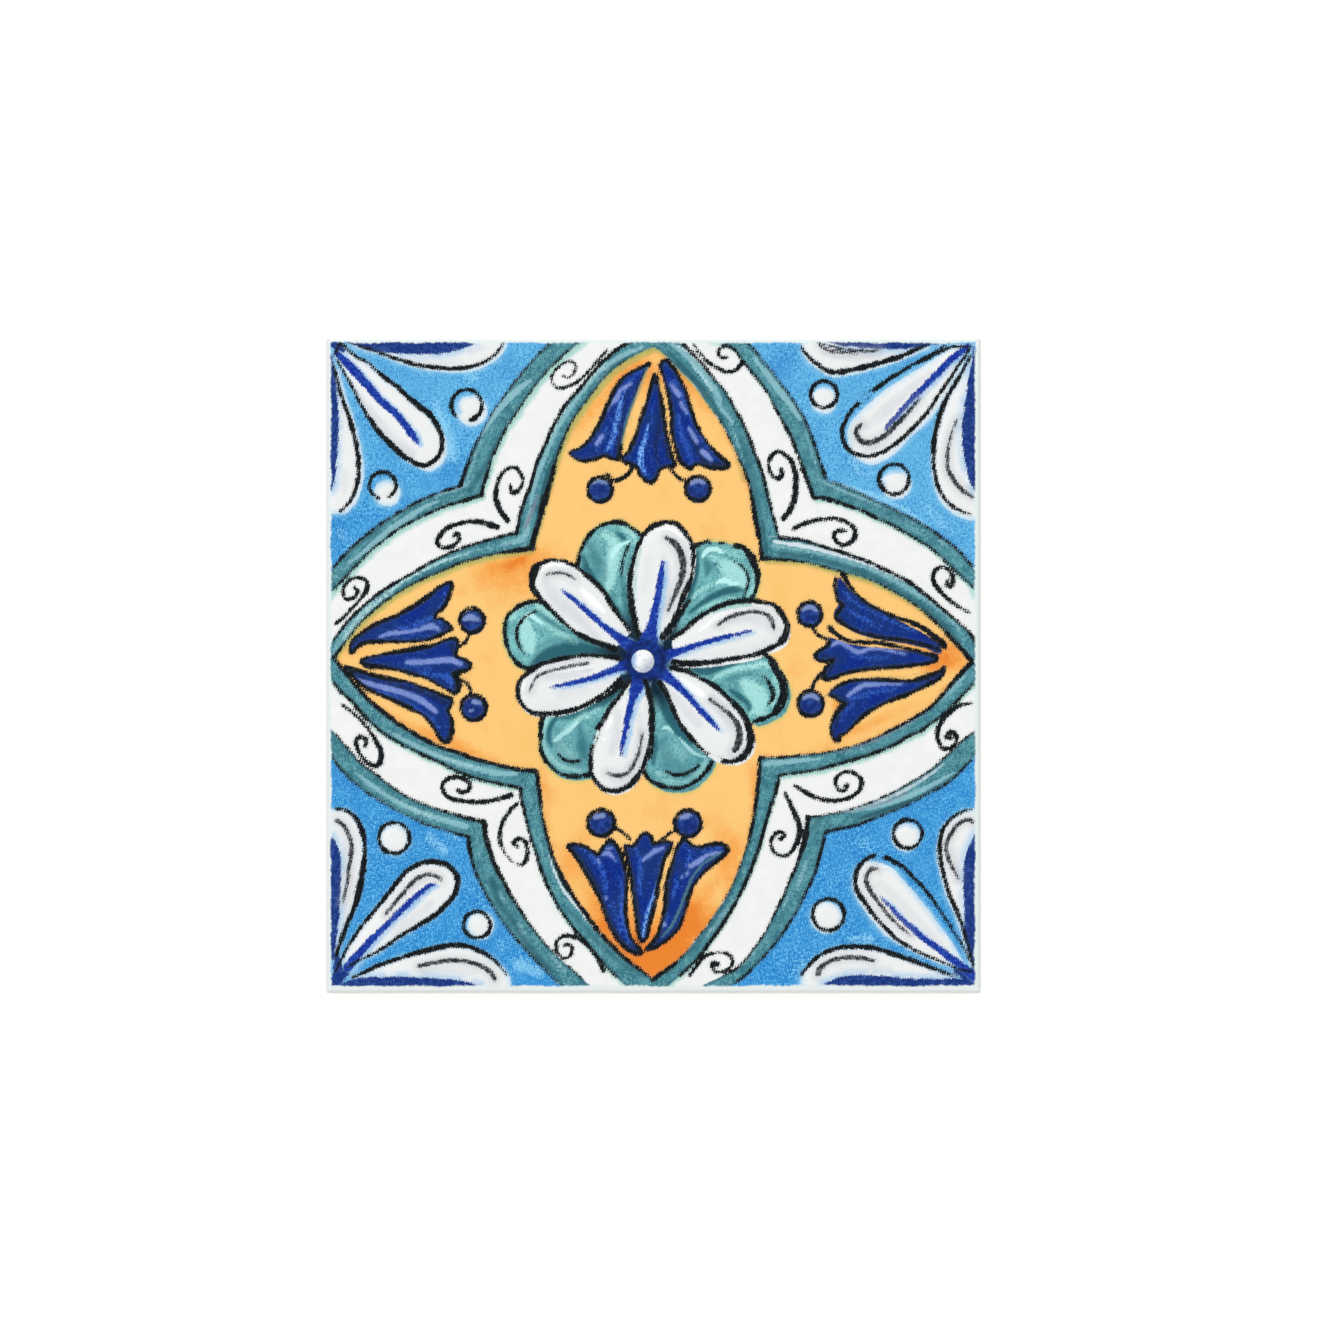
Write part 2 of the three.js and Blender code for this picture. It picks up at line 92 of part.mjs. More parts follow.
// The eight half petals that run along the tile's edges.
const EDGE_PETALS = [
  [[-93, 98.8], [-88.7, 97.2], [-84.5, 95.9], [-80.2, 94.2], [-75.9, 92.7], [-71.6, 91.6], [-67.3, 91], [-63.1, 90.5], [-58.8, 90.7], [-54.6, 91.4], [-51.1, 92.9], [-48.1, 95], [-46.4, 97.2], [-45.8, 98.5], [-45.8, 100.3], [-93, 100.3]],
  [[-97.3, 91.2], [-96.2, 86.5], [-95.1, 82.7], [-93.8, 78.8], [-92.5, 75.5], [-91.7, 72.1], [-90.6, 67.8], [-90, 63.5], [-89.8, 59.3], [-90.2, 55.9], [-91.3, 52.5], [-92.5, 49.9], [-95.3, 47.2], [-100, 47.2], [-100, 91.2]],
  [[45.1, 97], [46.8, 94.4], [49.5, 92.2], [52.1, 90.3], [55.1, 89.4], [58.6, 89.8], [63, 90.7], [67.4, 91.8], [71.7, 93.1], [76.1, 94.6], [80.5, 96.6], [84, 97.9], [84, 100.3], [45.1, 100.3]],
  [[96.6, 94.6], [94.5, 90.5], [92.3, 86.6], [89.6, 82.2], [87.9, 78.3], [86.6, 74.4], [85.7, 70.5], [85.3, 66.6], [85.3, 62.7], [85.7, 58.8], [86.6, 54.8], [88.3, 51.4], [91, 48.8], [93.6, 47.3], [96.4, 46.2], [100.3, 46.2], [100.3, 94.6]],
  [[-96.9, -43.5], [-94.1, -43.8], [-91.3, -45.6], [-89.4, -48.4], [-88.2, -52.1], [-87.9, -56.3], [-88.2, -60.5], [-88.9, -65.1], [-89.9, -69.8], [-91.3, -73.9], [-93.1, -78.1], [-94.5, -81.8], [-95.9, -86], [-96.5, -88.3], [-100, -88.3], [-100, -43.5]],
  [[-91.8, -94.8], [-88.5, -93.4], [-84.8, -91.6], [-81, -90.2], [-76.9, -88.8], [-72.2, -87.4], [-67.5, -86.2], [-63.3, -85.3], [-59.6, -85], [-55.9, -85.5], [-52.1, -87.2], [-48.9, -89.2], [-46.5, -91.6], [-44.7, -94.1], [-44.7, -99.4], [-91.8, -99.4]],
  [[97.1, -43.5], [93.8, -44.5], [90.5, -46.6], [88.4, -49.4], [87.3, -53], [87.2, -57.2], [87.7, -61], [88.9, -65.6], [90.5, -70.7], [92.4, -74.8], [93.8, -78.6], [95.2, -83.2], [96.6, -87.9], [97.3, -91.1], [100.3, -91.1], [100.3, -43.5]],
  [[45.1, -94.1], [46.7, -91.8], [49.5, -89], [52.8, -86.9], [56.5, -85.8], [60.2, -85.5], [64.4, -85.5], [68.6, -86.2], [72.8, -87.6], [77.5, -89.2], [82.2, -90.9], [86.8, -92.7], [90.5, -94.1], [92.4, -94.4], [92.4, -99.4], [45.1, -99.4]],
];
// Raised round dots: x, y, radius.
const DOTS = [
  [-56.9, 79.5, 4.7],
  [-82.5, 55.1, 4],
  [51.9, 82.7, 4],
  [73.3, 56.9, 4.6],
  [-78.9, -52.4, 4.7],
  [-53.8, -78.8, 4.1],
  [77.4, -51.1, 4.4],
  [53.3, -75.7, 4.8],
  [-16.3, 53.7, 3.7],
  [13.5, 54, 3.7],
  [-55.3, 13.8, 3.7],
  [-54.8, -12.7, 3.8],
  [47.6, 15.8, 3.7],
  [47.9, -11.4, 3.9],
  [-16, -47.8, 4],
  [10.5, -47.9, 4],
];
const HUB = [-1.6, 1.7, 6.3];

const wasm = await Module();
wasm.setup();

// One closed three.js geometry as a solid.
function solid(geometry) {
  const bare = new THREE.BufferGeometry();
  const flat = geometry.index ? geometry.toNonIndexed() : geometry;
  bare.setAttribute("position", flat.getAttribute("position"));
  const merged = mergeVertices(bare, 1e-4);
  return new wasm.Manifold(
    new wasm.Mesh({
      numProp: 3,
      vertProperties: new Float32Array(merged.attributes.position.array),
      triVerts: new Uint32Array(merged.index.array),
    }),
  );
}

// The slab: a prism with small round corners, cut to the rounded edge of the face and to the chamfer round the back.
function slab() {
  const h = SIDE / 2, r = CORNER_R;
  const plan = new THREE.Shape();
  plan.moveTo(-h + r, -h);
  plan.lineTo(h - r, -h);
  plan.absarc(h - r, -h + r, r, -Math.PI / 2, 0);
  plan.lineTo(h, h - r);
  plan.absarc(h - r, h - r, r, 0, Math.PI / 2);
  plan.lineTo(-h + r, h);
  plan.absarc(-h + r, h - r, r, Math.PI / 2, Math.PI);
  plan.lineTo(-h, -h + r);
  plan.absarc(-h + r, -h + r, r, Math.PI, Math.PI * 1.5);
  const prism = new THREE.ExtrudeGeometry(plan, { depth: BODY, bevelEnabled: false, curveSegments: 4 });
  const square = new THREE.Shape([
    new THREE.Vector2(-h, -h),
    new THREE.Vector2(h, -h),
    new THREE.Vector2(h, h),
    new THREE.Vector2(-h, h),
  ]);
  // Bevelled at both ends, each reaches well past the slab at the end that isn't wanted.
  const bevelled = (size, segments, depth) =>
    new THREE.ExtrudeGeometry(square, {
      depth,
      bevelEnabled: true,
      bevelThickness: size,
      bevelSize: size,
      bevelOffset: -size,
      bevelSegments: segments,
    });
  const face = bevelled(EDGE_ROUND, 4, 30);
  face.translate(0, 0, BODY - EDGE_ROUND - 30);
  const back = bevelled(BACK_CHAMFER, 1, 30);
  back.translate(0, 0, BACK_CHAMFER);
  return solid(prism).intersect(solid(face)).intersect(solid(back));
}

const smooth = (points, closed, spacing) => {
  const c = new THREE.CatmullRomCurve3(points.map(([x, y]) => new THREE.Vector3(x, y, 0)), closed, "centripetal");
  const n = Math.max(4, Math.round(c.getLength() / spacing));
  const out = c.getSpacedPoints(n).map((p) => new THREE.Vector2(p.x, p.y));
  if (closed) out.pop();
  return out;
};

// A flat raised shape with a sloping edge: the outline is the foot of the slope.
function raised(outline, height, bevel) {
  const shape = new THREE.Shape(outline);
  const g = new THREE.ExtrudeGeometry(shape, {
    depth: SINK + height - bevel,
    bevelEnabled: true,
    bevelThickness: bevel,
    bevelSize: bevel,
    bevelOffset: -bevel,
    bevelSegments: 1,
    steps: 1,
  });
  g.translate(0, 0, BODY - SINK);
  return solid(g);
}

// A domed petal: sections from the foot to the tip, each an arch of five points over two sunk ones.
const ARCH = [-1, -0.62, 0, 0.62, 1];
function petal(points, height, stations) {
  const foot = new THREE.Vector2((points[0][0] + points.at(-1)[0]) / 2, (points[0][1] + points.at(-1)[1]) / 2);
  let tip = 0, far = 0;
  points.forEach(([x, y], i) => {
    const d = Math.hypot(x - foot.x, y - foot.y);
    if (d > far) [far, tip] = [d, i];
  });
  const side = (list) => new THREE.CatmullRomCurve3(list.map(([x, y]) => new THREE.Vector3(x, y, 0)), false, "centripetal");
  const a = side(points.slice(0, tip + 1)), b = side(points.slice(tip).reverse());
  const around = ARCH.length + 2, rows = stations + 2;
  const section = (reverse) => (u, v, out) => {
    const row = Math.round(v * rows);
    // The first and last rows draw in to a point each, which closes the ends.
    const k = Math.min(Math.max(row - 1, 0), stations);
    const t = Math.min(0.996, Math.max(0.004, Math.sin((k / stations) * Math.PI * 0.5)));
    const p = a.getPointAt(t), q = b.getPointAt(t);
    if (row === 0 || row === rows) {
      out.set((p.x + q.x) / 2, (p.y + q.y) / 2, BODY - SINK / 2);
      return;
    }
    let i = Math.round((reverse ? 1 - u : u) * around) % around;
    const end = k === 0 || k === stations;
    const rise = end ? 0 : height * Math.min(1, Math.sqrt(Math.sin(Math.PI * (0.08 + 0.9 * t))) * 1.02);
    if (i < ARCH.length) {
      const m = (ARCH[i] + 1) / 2;
      out.set(p.x + (q.x - p.x) * m, p.y + (q.y - p.y) * m, BODY - 0.02 + rise * (1 - ARCH[i] ** 2));
    } else {
      const low = i === ARCH.length ? q : p;
      out.set(low.x, low.y, BODY - SINK);
    }
  };
  const made = solid(new ParametricGeometry(section(false), around, rows));
  return made.volume() > 0 ? made : solid(new ParametricGeometry(section(true), around, rows));
}

// A round dot: a turned cap whose foot is sunk into the face.
function dot([x, y, r], height) {
  const profile = [new THREE.Vector2(0, BODY - SINK), new THREE.Vector2(r, BODY - SINK), new THREE.Vector2(r, BODY)];
  for (const t of [0.36, 0.7]) profile.push(new THREE.Vector2(r * Math.cos((t * Math.PI) / 2), BODY + height * Math.sin((t * Math.PI) / 2)));
  profile.push(new THREE.Vector2(0, BODY + height));
  const g = new THREE.LatheGeometry(profile, 14);
  g.rotateX(Math.PI / 2);
  g.translate(x, y, 0);
  return solid(g);
}

const trim = (() => {
  const half = SIDE / 2 - MARGIN;
  const g = new THREE.BoxGeometry(2 * half, 2 * half, 40);
  return solid(g);
})();

const parts = [];
const starInner = smooth(STAR_INNER, true, RIBBON_STEP);

const far = 130; // past the tile's edge
// Which way each corner of the tile lies.
const cornerOf = { UL: [-1, 1], UR: [1, 1], LR: [1, -1], LL: [-1, -1] };
// The region outside a chain, towards its corner of the tile, as a prism.
function outside(chain, corner, height) {
  const line = smooth(chain, false, RIBBON_STEP);
  const c = cornerOf[corner];
  const first = line[0], last = line.at(-1);
  const reach = (p) =>
    Math.abs(p.x) > Math.abs(p.y) ? new THREE.Vector2(c[0] * far, p.y) : new THREE.Vector2(p.x, c[1] * far);
  const outline = [...line, reach(last), new THREE.Vector2(c[0] * far, c[1] * far), reach(first)];
  return prism(outline, height);
}
function prism(outline, height) {
  const g = new THREE.ExtrudeGeometry(new THREE.Shape(outline), {
    depth: SINK + height,
    bevelEnabled: false,
  });
  g.translate(0, 0, BODY - SINK);
  return solid(g);
}

const square = () => {
  const h = SIDE / 2 - MARGIN;
  return [new THREE.Vector2(-h, -h), new THREE.Vector2(h, -h), new THREE.Vector2(h, h), new THREE.Vector2(-h, h)];
};
let innerRibbon = prism(square(), RIBBON_H).subtract(prism(starInner, RIBBON_H + 1));
for (const k of Object.keys(STAR_OUTER)) innerRibbon = innerRibbon.subtract(outside(STAR_OUTER[k], k, RIBBON_H + 1));
parts.push(innerRibbon);
for (const k of Object.keys(OUTER_BAND)) {
  const ribbon = outside(OUTER_BAND[k], k, RIBBON_H).subtract(outside(OUTER_CORNER[k], k, RIBBON_H + 1));
  parts.push(ribbon);
}

const hubXY = [HUB[0], HUB[1]];
for (const p of TEAL_PETALS) parts.push(petal([hubXY.map((h, i) => h + (p[0][i] - h) * 0.3), ...p, hubXY.map((h, i) => h + (p.at(-1)[i] - h) * 0.3)], TEAL_H, 9));
for (const p of WHITE_PETALS) parts.push(petal(p, PETAL_H, 10));
for (const p of CORNER_PETALS) parts.push(petal(p, CORNER_H, 10));
for (const p of TULIP_PETALS) parts.push(raised(smooth(p, true, 3.4), TULIP_H, TULIP_BEVEL));
for (const p of EDGE_PETALS) parts.push(prism([...smooth(p.slice(0, -2), false, 4.5), ...p.slice(-2).map(([x, y]) => new THREE.Vector2(x, y))], EDGE_PETAL_H));
for (const d of DOTS) parts.push(dot(d, DOT_H));
parts.push(dot(HUB, HUB_H));

let body = slab();
for (const p of parts) body = body.add(p.intersect(trim));

const out = body.getMesh();
const geometry = new THREE.BufferGeometry();
geometry.setAttribute("position", new THREE.BufferAttribute(new Float32Array(out.vertProperties), 3));
geometry.setIndex(new THREE.BufferAttribute(new Uint32Array(out.triVerts), 1));
geometry.computeVertexNormals();

const tile = new THREE.Mesh(
  geometry,
  new THREE.MeshStandardMaterial({ color: 0xeef0f0, roughness: 0.18, metalness: 0 }),
);
tile.name = "tile";

const root = new THREE.Group();
root.add(tile);
export default root;
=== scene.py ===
"""A glazed majolica wall tile seen from straight above. Lengths are in mm unless a line says otherwise.

Every outline is a smooth curve through a few given points. The face is one dense mesh with real relief. Each
vertex carries its distance to the outlines, and the material turns those distances into the painted layers.
"""

import math

import bpy
import numpy as np
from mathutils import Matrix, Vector


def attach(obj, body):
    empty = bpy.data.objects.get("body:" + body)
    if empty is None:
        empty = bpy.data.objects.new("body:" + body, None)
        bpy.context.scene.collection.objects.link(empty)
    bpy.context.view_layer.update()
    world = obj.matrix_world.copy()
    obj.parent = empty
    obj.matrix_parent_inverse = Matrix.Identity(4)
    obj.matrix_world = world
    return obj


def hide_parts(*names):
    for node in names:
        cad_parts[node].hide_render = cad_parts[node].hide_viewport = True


# ribbon round the middle field, its inner edge
LI = {
    "top_l": [(-36.68, 35.76), (-36.68, 37.58), (-34.86, 44.24), (-33.18, 50.3), (-31.35, 56.36), (-29.68, 62.42), (-27.55, 68.48), (-24.81, 74.55), (-20.24, 80.91), (-15.37, 87.27), (-10.2, 91.97), (-4.11, 95.45), (0.15, 97.27)],
    "top_r": [(0.15, 97.27), (2.89, 95.33), (5.48, 92.48), (8.65, 89.33), (11.78, 86.21), (14.92, 82.03), (17.5, 78.39), (20.18, 74.73), (22.25, 71.09), (24.35, 66.91), (26.21, 62.73), (28.04, 58.55), (29.35, 54.39), (30.14, 50.21), (30.9, 45.52), (31.69, 41.33), (32.48, 37.7), (33.03, 32.73)],
    "right_t": [(33.03, 32.73), (38.51, 32.42), (44.6, 31.82), (50.68, 30.61), (56.77, 28.79), (62.86, 27.27), (68.95, 24.85), (75.04, 21.52), (81.13, 17.58), (87.21, 12.12), (90.26, 8.94), (93.3, 5.61), (95.74, 2.88), (97.11, 1.21)],
    "right_b": [(97.11, 1.21), (95.74, 0), (91.78, -4.24), (88.74, -7.88), (86.3, -10.61), (83.87, -12.88), (78.87, -16.06), (73.82, -18.79), (68.95, -21.21), (64.08, -23.33), (59.09, -24.85), (54.03, -26.06), (49.16, -26.82), (44.29, -27.27), (39.27, -27.82), (34.25, -27.88), (32.42, -27.88)],
    "bot_r": [(32.42, -27.88), (31.96, -35.15), (31.17, -41.48), (30.65, -45.67), (29.86, -49.3), (29.07, -52.97), (28.04, -56.06), (26.73, -59.76), (25.42, -63.39), (24.11, -66.52), (22.25, -70.18), (20.18, -73.3), (18.08, -76.45), (15.98, -79.58), (13.85, -82.12), (11.78, -84.79), (9.68, -87.39), (6.54, -90.61), (3.2, -93.03), (-0.15, -95.45)],
    "bot_l": [(-0.15, -95.45), (-3.96, -92.61), (-8.13, -89.48), (-12.33, -85.58), (-16.01, -81.67), (-19.15, -77.48), (-22.28, -73.3), (-24.9, -69.39), (-27, -66), (-28.86, -62.36), (-30.41, -58.7), (-31.72, -54.52), (-32.79, -50.88), (-33.82, -46.18), (-34.34, -41.48), (-34.98, -36.79), (-35.62, -32.12)],
    "left_b": [(-35.62, -32.12), (-39.63, -31.67), (-44.6, -30.79), (-49.53, -29.55), (-54.49, -28.3), (-59.45, -26.33), (-64.38, -24.85), (-69.35, -22.64), (-74.31, -19.7), (-77.78, -17.45), (-81.74, -14.52), (-85.69, -11.3), (-89.13, -7.85), (-91.63, -4.67), (-94.09, -1.7), (-96.07, 0.76), (-97.26, 2.73)],
    "left_t": [(-97.26, 2.73), (-95.43, 5.15), (-92.39, 9.09), (-89.35, 13.03), (-83.26, 18.48), (-77.17, 22.73), (-71.08, 26.06), (-64.99, 28.61), (-58.9, 31.33), (-52.82, 33.03), (-46.73, 34.39), (-40.64, 35.3), (-36.68, 35.76)],
}
# the same ribbon's outer edge
LO = {
    "top_l": [(-41.55, 40.3), (-40.88, 45.27), (-40.03, 48.24), (-38.63, 51.97), (-37.44, 55), (-36.32, 59.09), (-35.01, 63.03), (-32.79, 67.94), (-31.2, 71.61), (-29.62, 74.73), (-27.55, 78.39), (-25.45, 81), (-22.28, 84.64), (-19.67, 87.79), (-17.05, 90.91), (-14.43, 93.52), (-11.81, 95.88), (-9.19, 97.7), (-7.15, 98.79)],
    "top_r": [(9.16, 97.94), (11.78, 95.09), (14.4, 92.48), (16.5, 89.88), (19.12, 86.73), (21.74, 83.64), (23.84, 79.94), (25.94, 76.3), (28.04, 72.12), (29.86, 67.42), (31.2, 63.76), (32.72, 60.12), (33.79, 55.94), (34.86, 51.76), (35.89, 47.61), (36.96, 43.94), (38.05, 39.24)],
    "right_t": [(38.05, 39.24), (41.25, 38.79), (44.23, 38.61), (46.73, 37.97), (50.68, 36.73), (54.12, 35.52), (57.08, 34.61), (60.06, 33.7), (64.02, 32.3), (68.95, 30.09), (73.94, 27.64), (78.87, 24.91), (81.37, 22.73), (83.84, 20.97), (86.3, 18.79), (88.74, 16.79), (91.26, 14.55), (93.73, 12.61), (96.23, 10.12), (97.69, 7.67)],
    "right_b": [(97.11, -5.76), (94.22, -8.79), (91.17, -11.82), (87.52, -15.45), (83.84, -17.97), (81.37, -19.94), (78.87, -20.91), (76.41, -22.12), (73.94, -23.64), (71.45, -24.85), (66.51, -26.82), (64.02, -27.58), (59.09, -29.06), (54.12, -30.52), (49.16, -31.76), (44.23, -32.48), (38.36, -33.33)],
    "bot_r": [(38.36, -33.33), (37.41, -37.27), (36.01, -41.94), (34.55, -46.67), (33.33, -50.91), (31.96, -55.76), (30.59, -59.7), (29.07, -63.64), (26.94, -68.18), (24.9, -72.12), (22.25, -76.67), (19.63, -80.61), (17.02, -84.39), (14.4, -88.03), (11.78, -90.91), (8.07, -94.24)],
    "bot_l": [(-11.29, -94.7), (-14.46, -91.58), (-17.05, -88.45), (-19.67, -85.3), (-23.35, -81.15), (-26.48, -76.97), (-29.1, -73.3), (-31.2, -68.88), (-33.82, -63.39), (-35.77, -57.27), (-37.35, -52.27), (-38.84, -46.67), (-39.88, -42.12), (-40.4, -39.7), (-40.33, -37.27)],
    "left_b": [(-40.33, -37.27), (-45.6, -36.15), (-50.26, -35.21), (-54.95, -33.94), (-59.57, -32.18), (-64.38, -29.82), (-71.81, -26.36), (-77.17, -23.64), (-81.74, -20.91), (-84.69, -18.48), (-87.21, -16.06), (-89.65, -13.33), (-92.09, -10.61), (-95.13, -7.88), (-97.32, -5.15)],
    "left_t": [(-97.56, 7.88), (-95.43, 10.61), (-92.39, 14.3), (-89.35, 17.27), (-86.3, 20), (-83.26, 22.42), (-77.17, 26.15), (-71.08, 29.7), (-64.99, 33.03), (-58.9, 35.67), (-52.82, 37.64), (-46.73, 39.3), (-43.68, 40.15), (-41.55, 40.3)],
}
# outer ribbons, corner side
OO = {
    "tl_h": [(-97.32, 30.09), (-95.13, 32.79), (-92.39, 35.67), (-88.74, 38.94), (-84.47, 42.27), (-80.21, 45.27), (-75.89, 47.82), (-71.63, 50.15), (-67.34, 52.06), (-63.07, 53.55), (-58.81, 54.85)],
    "tl_v": [(-58.81, 54.85), (-57.53, 58.88), (-56.26, 62.27), (-55.4, 64.85), (-54.12, 67.79), (-52.6, 70.36), (-50.68, 74.18), (-48.55, 78), (-46.42, 80.97), (-43.87, 84.39), (-41.74, 87.36), (-39.57, 89.91), (-37.29, 92.58), (-34.7, 95.45), (-31.72, 98.18)],
    "tr_v": [(28.77, 98.48), (30.59, 96.36), (32.57, 94.09), (34.98, 91.06), (36.77, 88.79), (38.96, 85.76), (41.16, 82.73), (43.35, 79.64), (45.51, 76.15), (47.28, 72.24), (48.55, 68.79), (49.89, 64.85), (51.2, 60.94), (52.36, 57.42)],
    "tr_h": [(52.36, 56.82), (55.56, 55.76), (58.6, 54.55), (62.13, 53.03), (64.75, 51.7), (68.25, 50.06), (71.69, 48.55), (76.1, 46.36), (80.46, 44), (84.84, 41.36), (87.52, 39.39), (90.75, 36.97), (93.73, 34.24), (97.2, 30.3)],
    "br_h": [(96.96, -28.48), (92.88, -32.67), (89.13, -35.91), (84.47, -38.48), (79.82, -41), (75.16, -43.33), (70.47, -45.15), (65.84, -47.03), (61.19, -48.67), (56.53, -49.58), (52.36, -50.45)],
    "br_v": [(52.36, -50.45), (51.87, -53.55), (50.93, -56.79), (49.53, -61.88), (48.13, -65.61), (46.27, -69.3), (44.41, -73.48), (42.07, -77.18), (39.27, -81.52), (36.01, -85.76), (32.72, -89.39), (30.14, -92.12), (27.52, -94.55), (24.81, -96.67)],
    "bl_h": [(-97.87, -27.88), (-95.01, -31.73), (-92.21, -34.55), (-88.95, -37.27), (-85.69, -39.61), (-81.95, -41.94), (-78.23, -44.03), (-73.58, -46.36), (-68.95, -48.42), (-64.23, -49.82), (-60.52, -50.97), (-56.32, -51.97)],
    "bl_v": [(-56.32, -51.97), (-56.16, -54.55), (-55.4, -58.64), (-54.46, -62.33), (-52.6, -66.52), (-50.75, -70.24), (-48.4, -73.94), (-46.12, -77.67), (-43.74, -80.91), (-40.94, -84.24), (-37.9, -87.58), (-35.01, -90.61), (-32.24, -93.33), (-29.68, -96.06)],
}
# outer ribbons, white side
OI = {
    "tl_h": [(-97.08, 23.42), (-94.09, 26.67), (-91.63, 29.39), (-88.65, 32.42), (-85.69, 35.45), (-82.34, 38.03), (-79.3, 40.61), (-75.89, 42.73), (-71.63, 44.85), (-67.34, 46.97), (-63.07, 48.67), (-58.81, 49.94), (-55.4, 51.06), (-52.21, 51.97)],
    "tl_v": [(-52.21, 51.97), (-52.05, 54.24), (-50.9, 57.58), (-49.83, 61), (-48.98, 63.97), (-47.28, 67.36), (-45.57, 71.21), (-43.44, 74.61), (-40.79, 78.48), (-38.2, 82.27), (-35.4, 86.12), (-32.79, 89.33), (-30.17, 91.97), (-27, 95), (-24.38, 97.12), (-22.68, 98.48)],
    "tr_v": [(20.85, 98.18), (24.35, 96.67), (26.64, 93.64), (29.07, 90.45), (32.42, 86.36), (35.04, 82.73), (36.77, 79.21), (38.51, 75.76), (40.27, 72.73), (42.04, 69.21), (43.77, 64.85), (45.08, 61.39), (46.39, 57.45), (47.7, 54), (48.8, 51.21)],
    "tr_h": [(48.8, 51.21), (51.2, 51.21), (54.25, 50.52), (56.89, 49.64), (60.37, 48.33), (63.87, 47.03), (67.37, 45.3), (71.69, 43.33), (76.1, 40.94), (80.46, 38.33), (84.17, 36.06), (88.74, 31.97), (92.69, 28.18), (97.2, 23.94)],
    "br_h": [(97.69, -19.94), (93.73, -23.03), (90.75, -25.85), (87.79, -28.48), (85.88, -30.45), (82.16, -33.18), (77.47, -35.91), (72.85, -38.48), (68.19, -40.55), (63.47, -42.42), (58.84, -43.94), (54.19, -44.94), (49.53, -45.76), (47.03, -46.06)],
    "br_v": [(47.03, -46.06), (46.73, -48.88), (46.12, -52.61), (44.87, -56.79), (43.47, -60.91), (41.61, -65.15), (39.57, -70), (37.44, -74.24), (35.16, -78.79), (32.88, -82.88), (30.14, -86.67), (27.52, -90), (24.9, -92.36), (21.22, -94.24)],
    "bl_h": [(-96.83, -20.67), (-94.09, -23.94), (-91.63, -26.67), (-88.89, -29.7), (-85.21, -32.42), (-81.49, -35.45), (-77.29, -38.45), (-73.58, -40.55), (-68.89, -42.42), (-65.18, -43.79), (-61.46, -44.85), (-57.26, -46.21), (-54.03, -46.91), (-51.6, -47.42)],
    "bl_v": [(-51.6, -47.42), (-51.2, -51.21), (-50.26, -54.94), (-48.86, -59.09), (-47.46, -62.33), (-45.6, -65.61), (-43.74, -69.3), (-41.4, -73.03), (-39.12, -76.52), (-37.14, -79.39), (-35.37, -81.52), (-32.79, -84.85), (-30.17, -87.39), (-27, -90.45), (-23.9, -93.15), (-21.46, -95.45)],
}
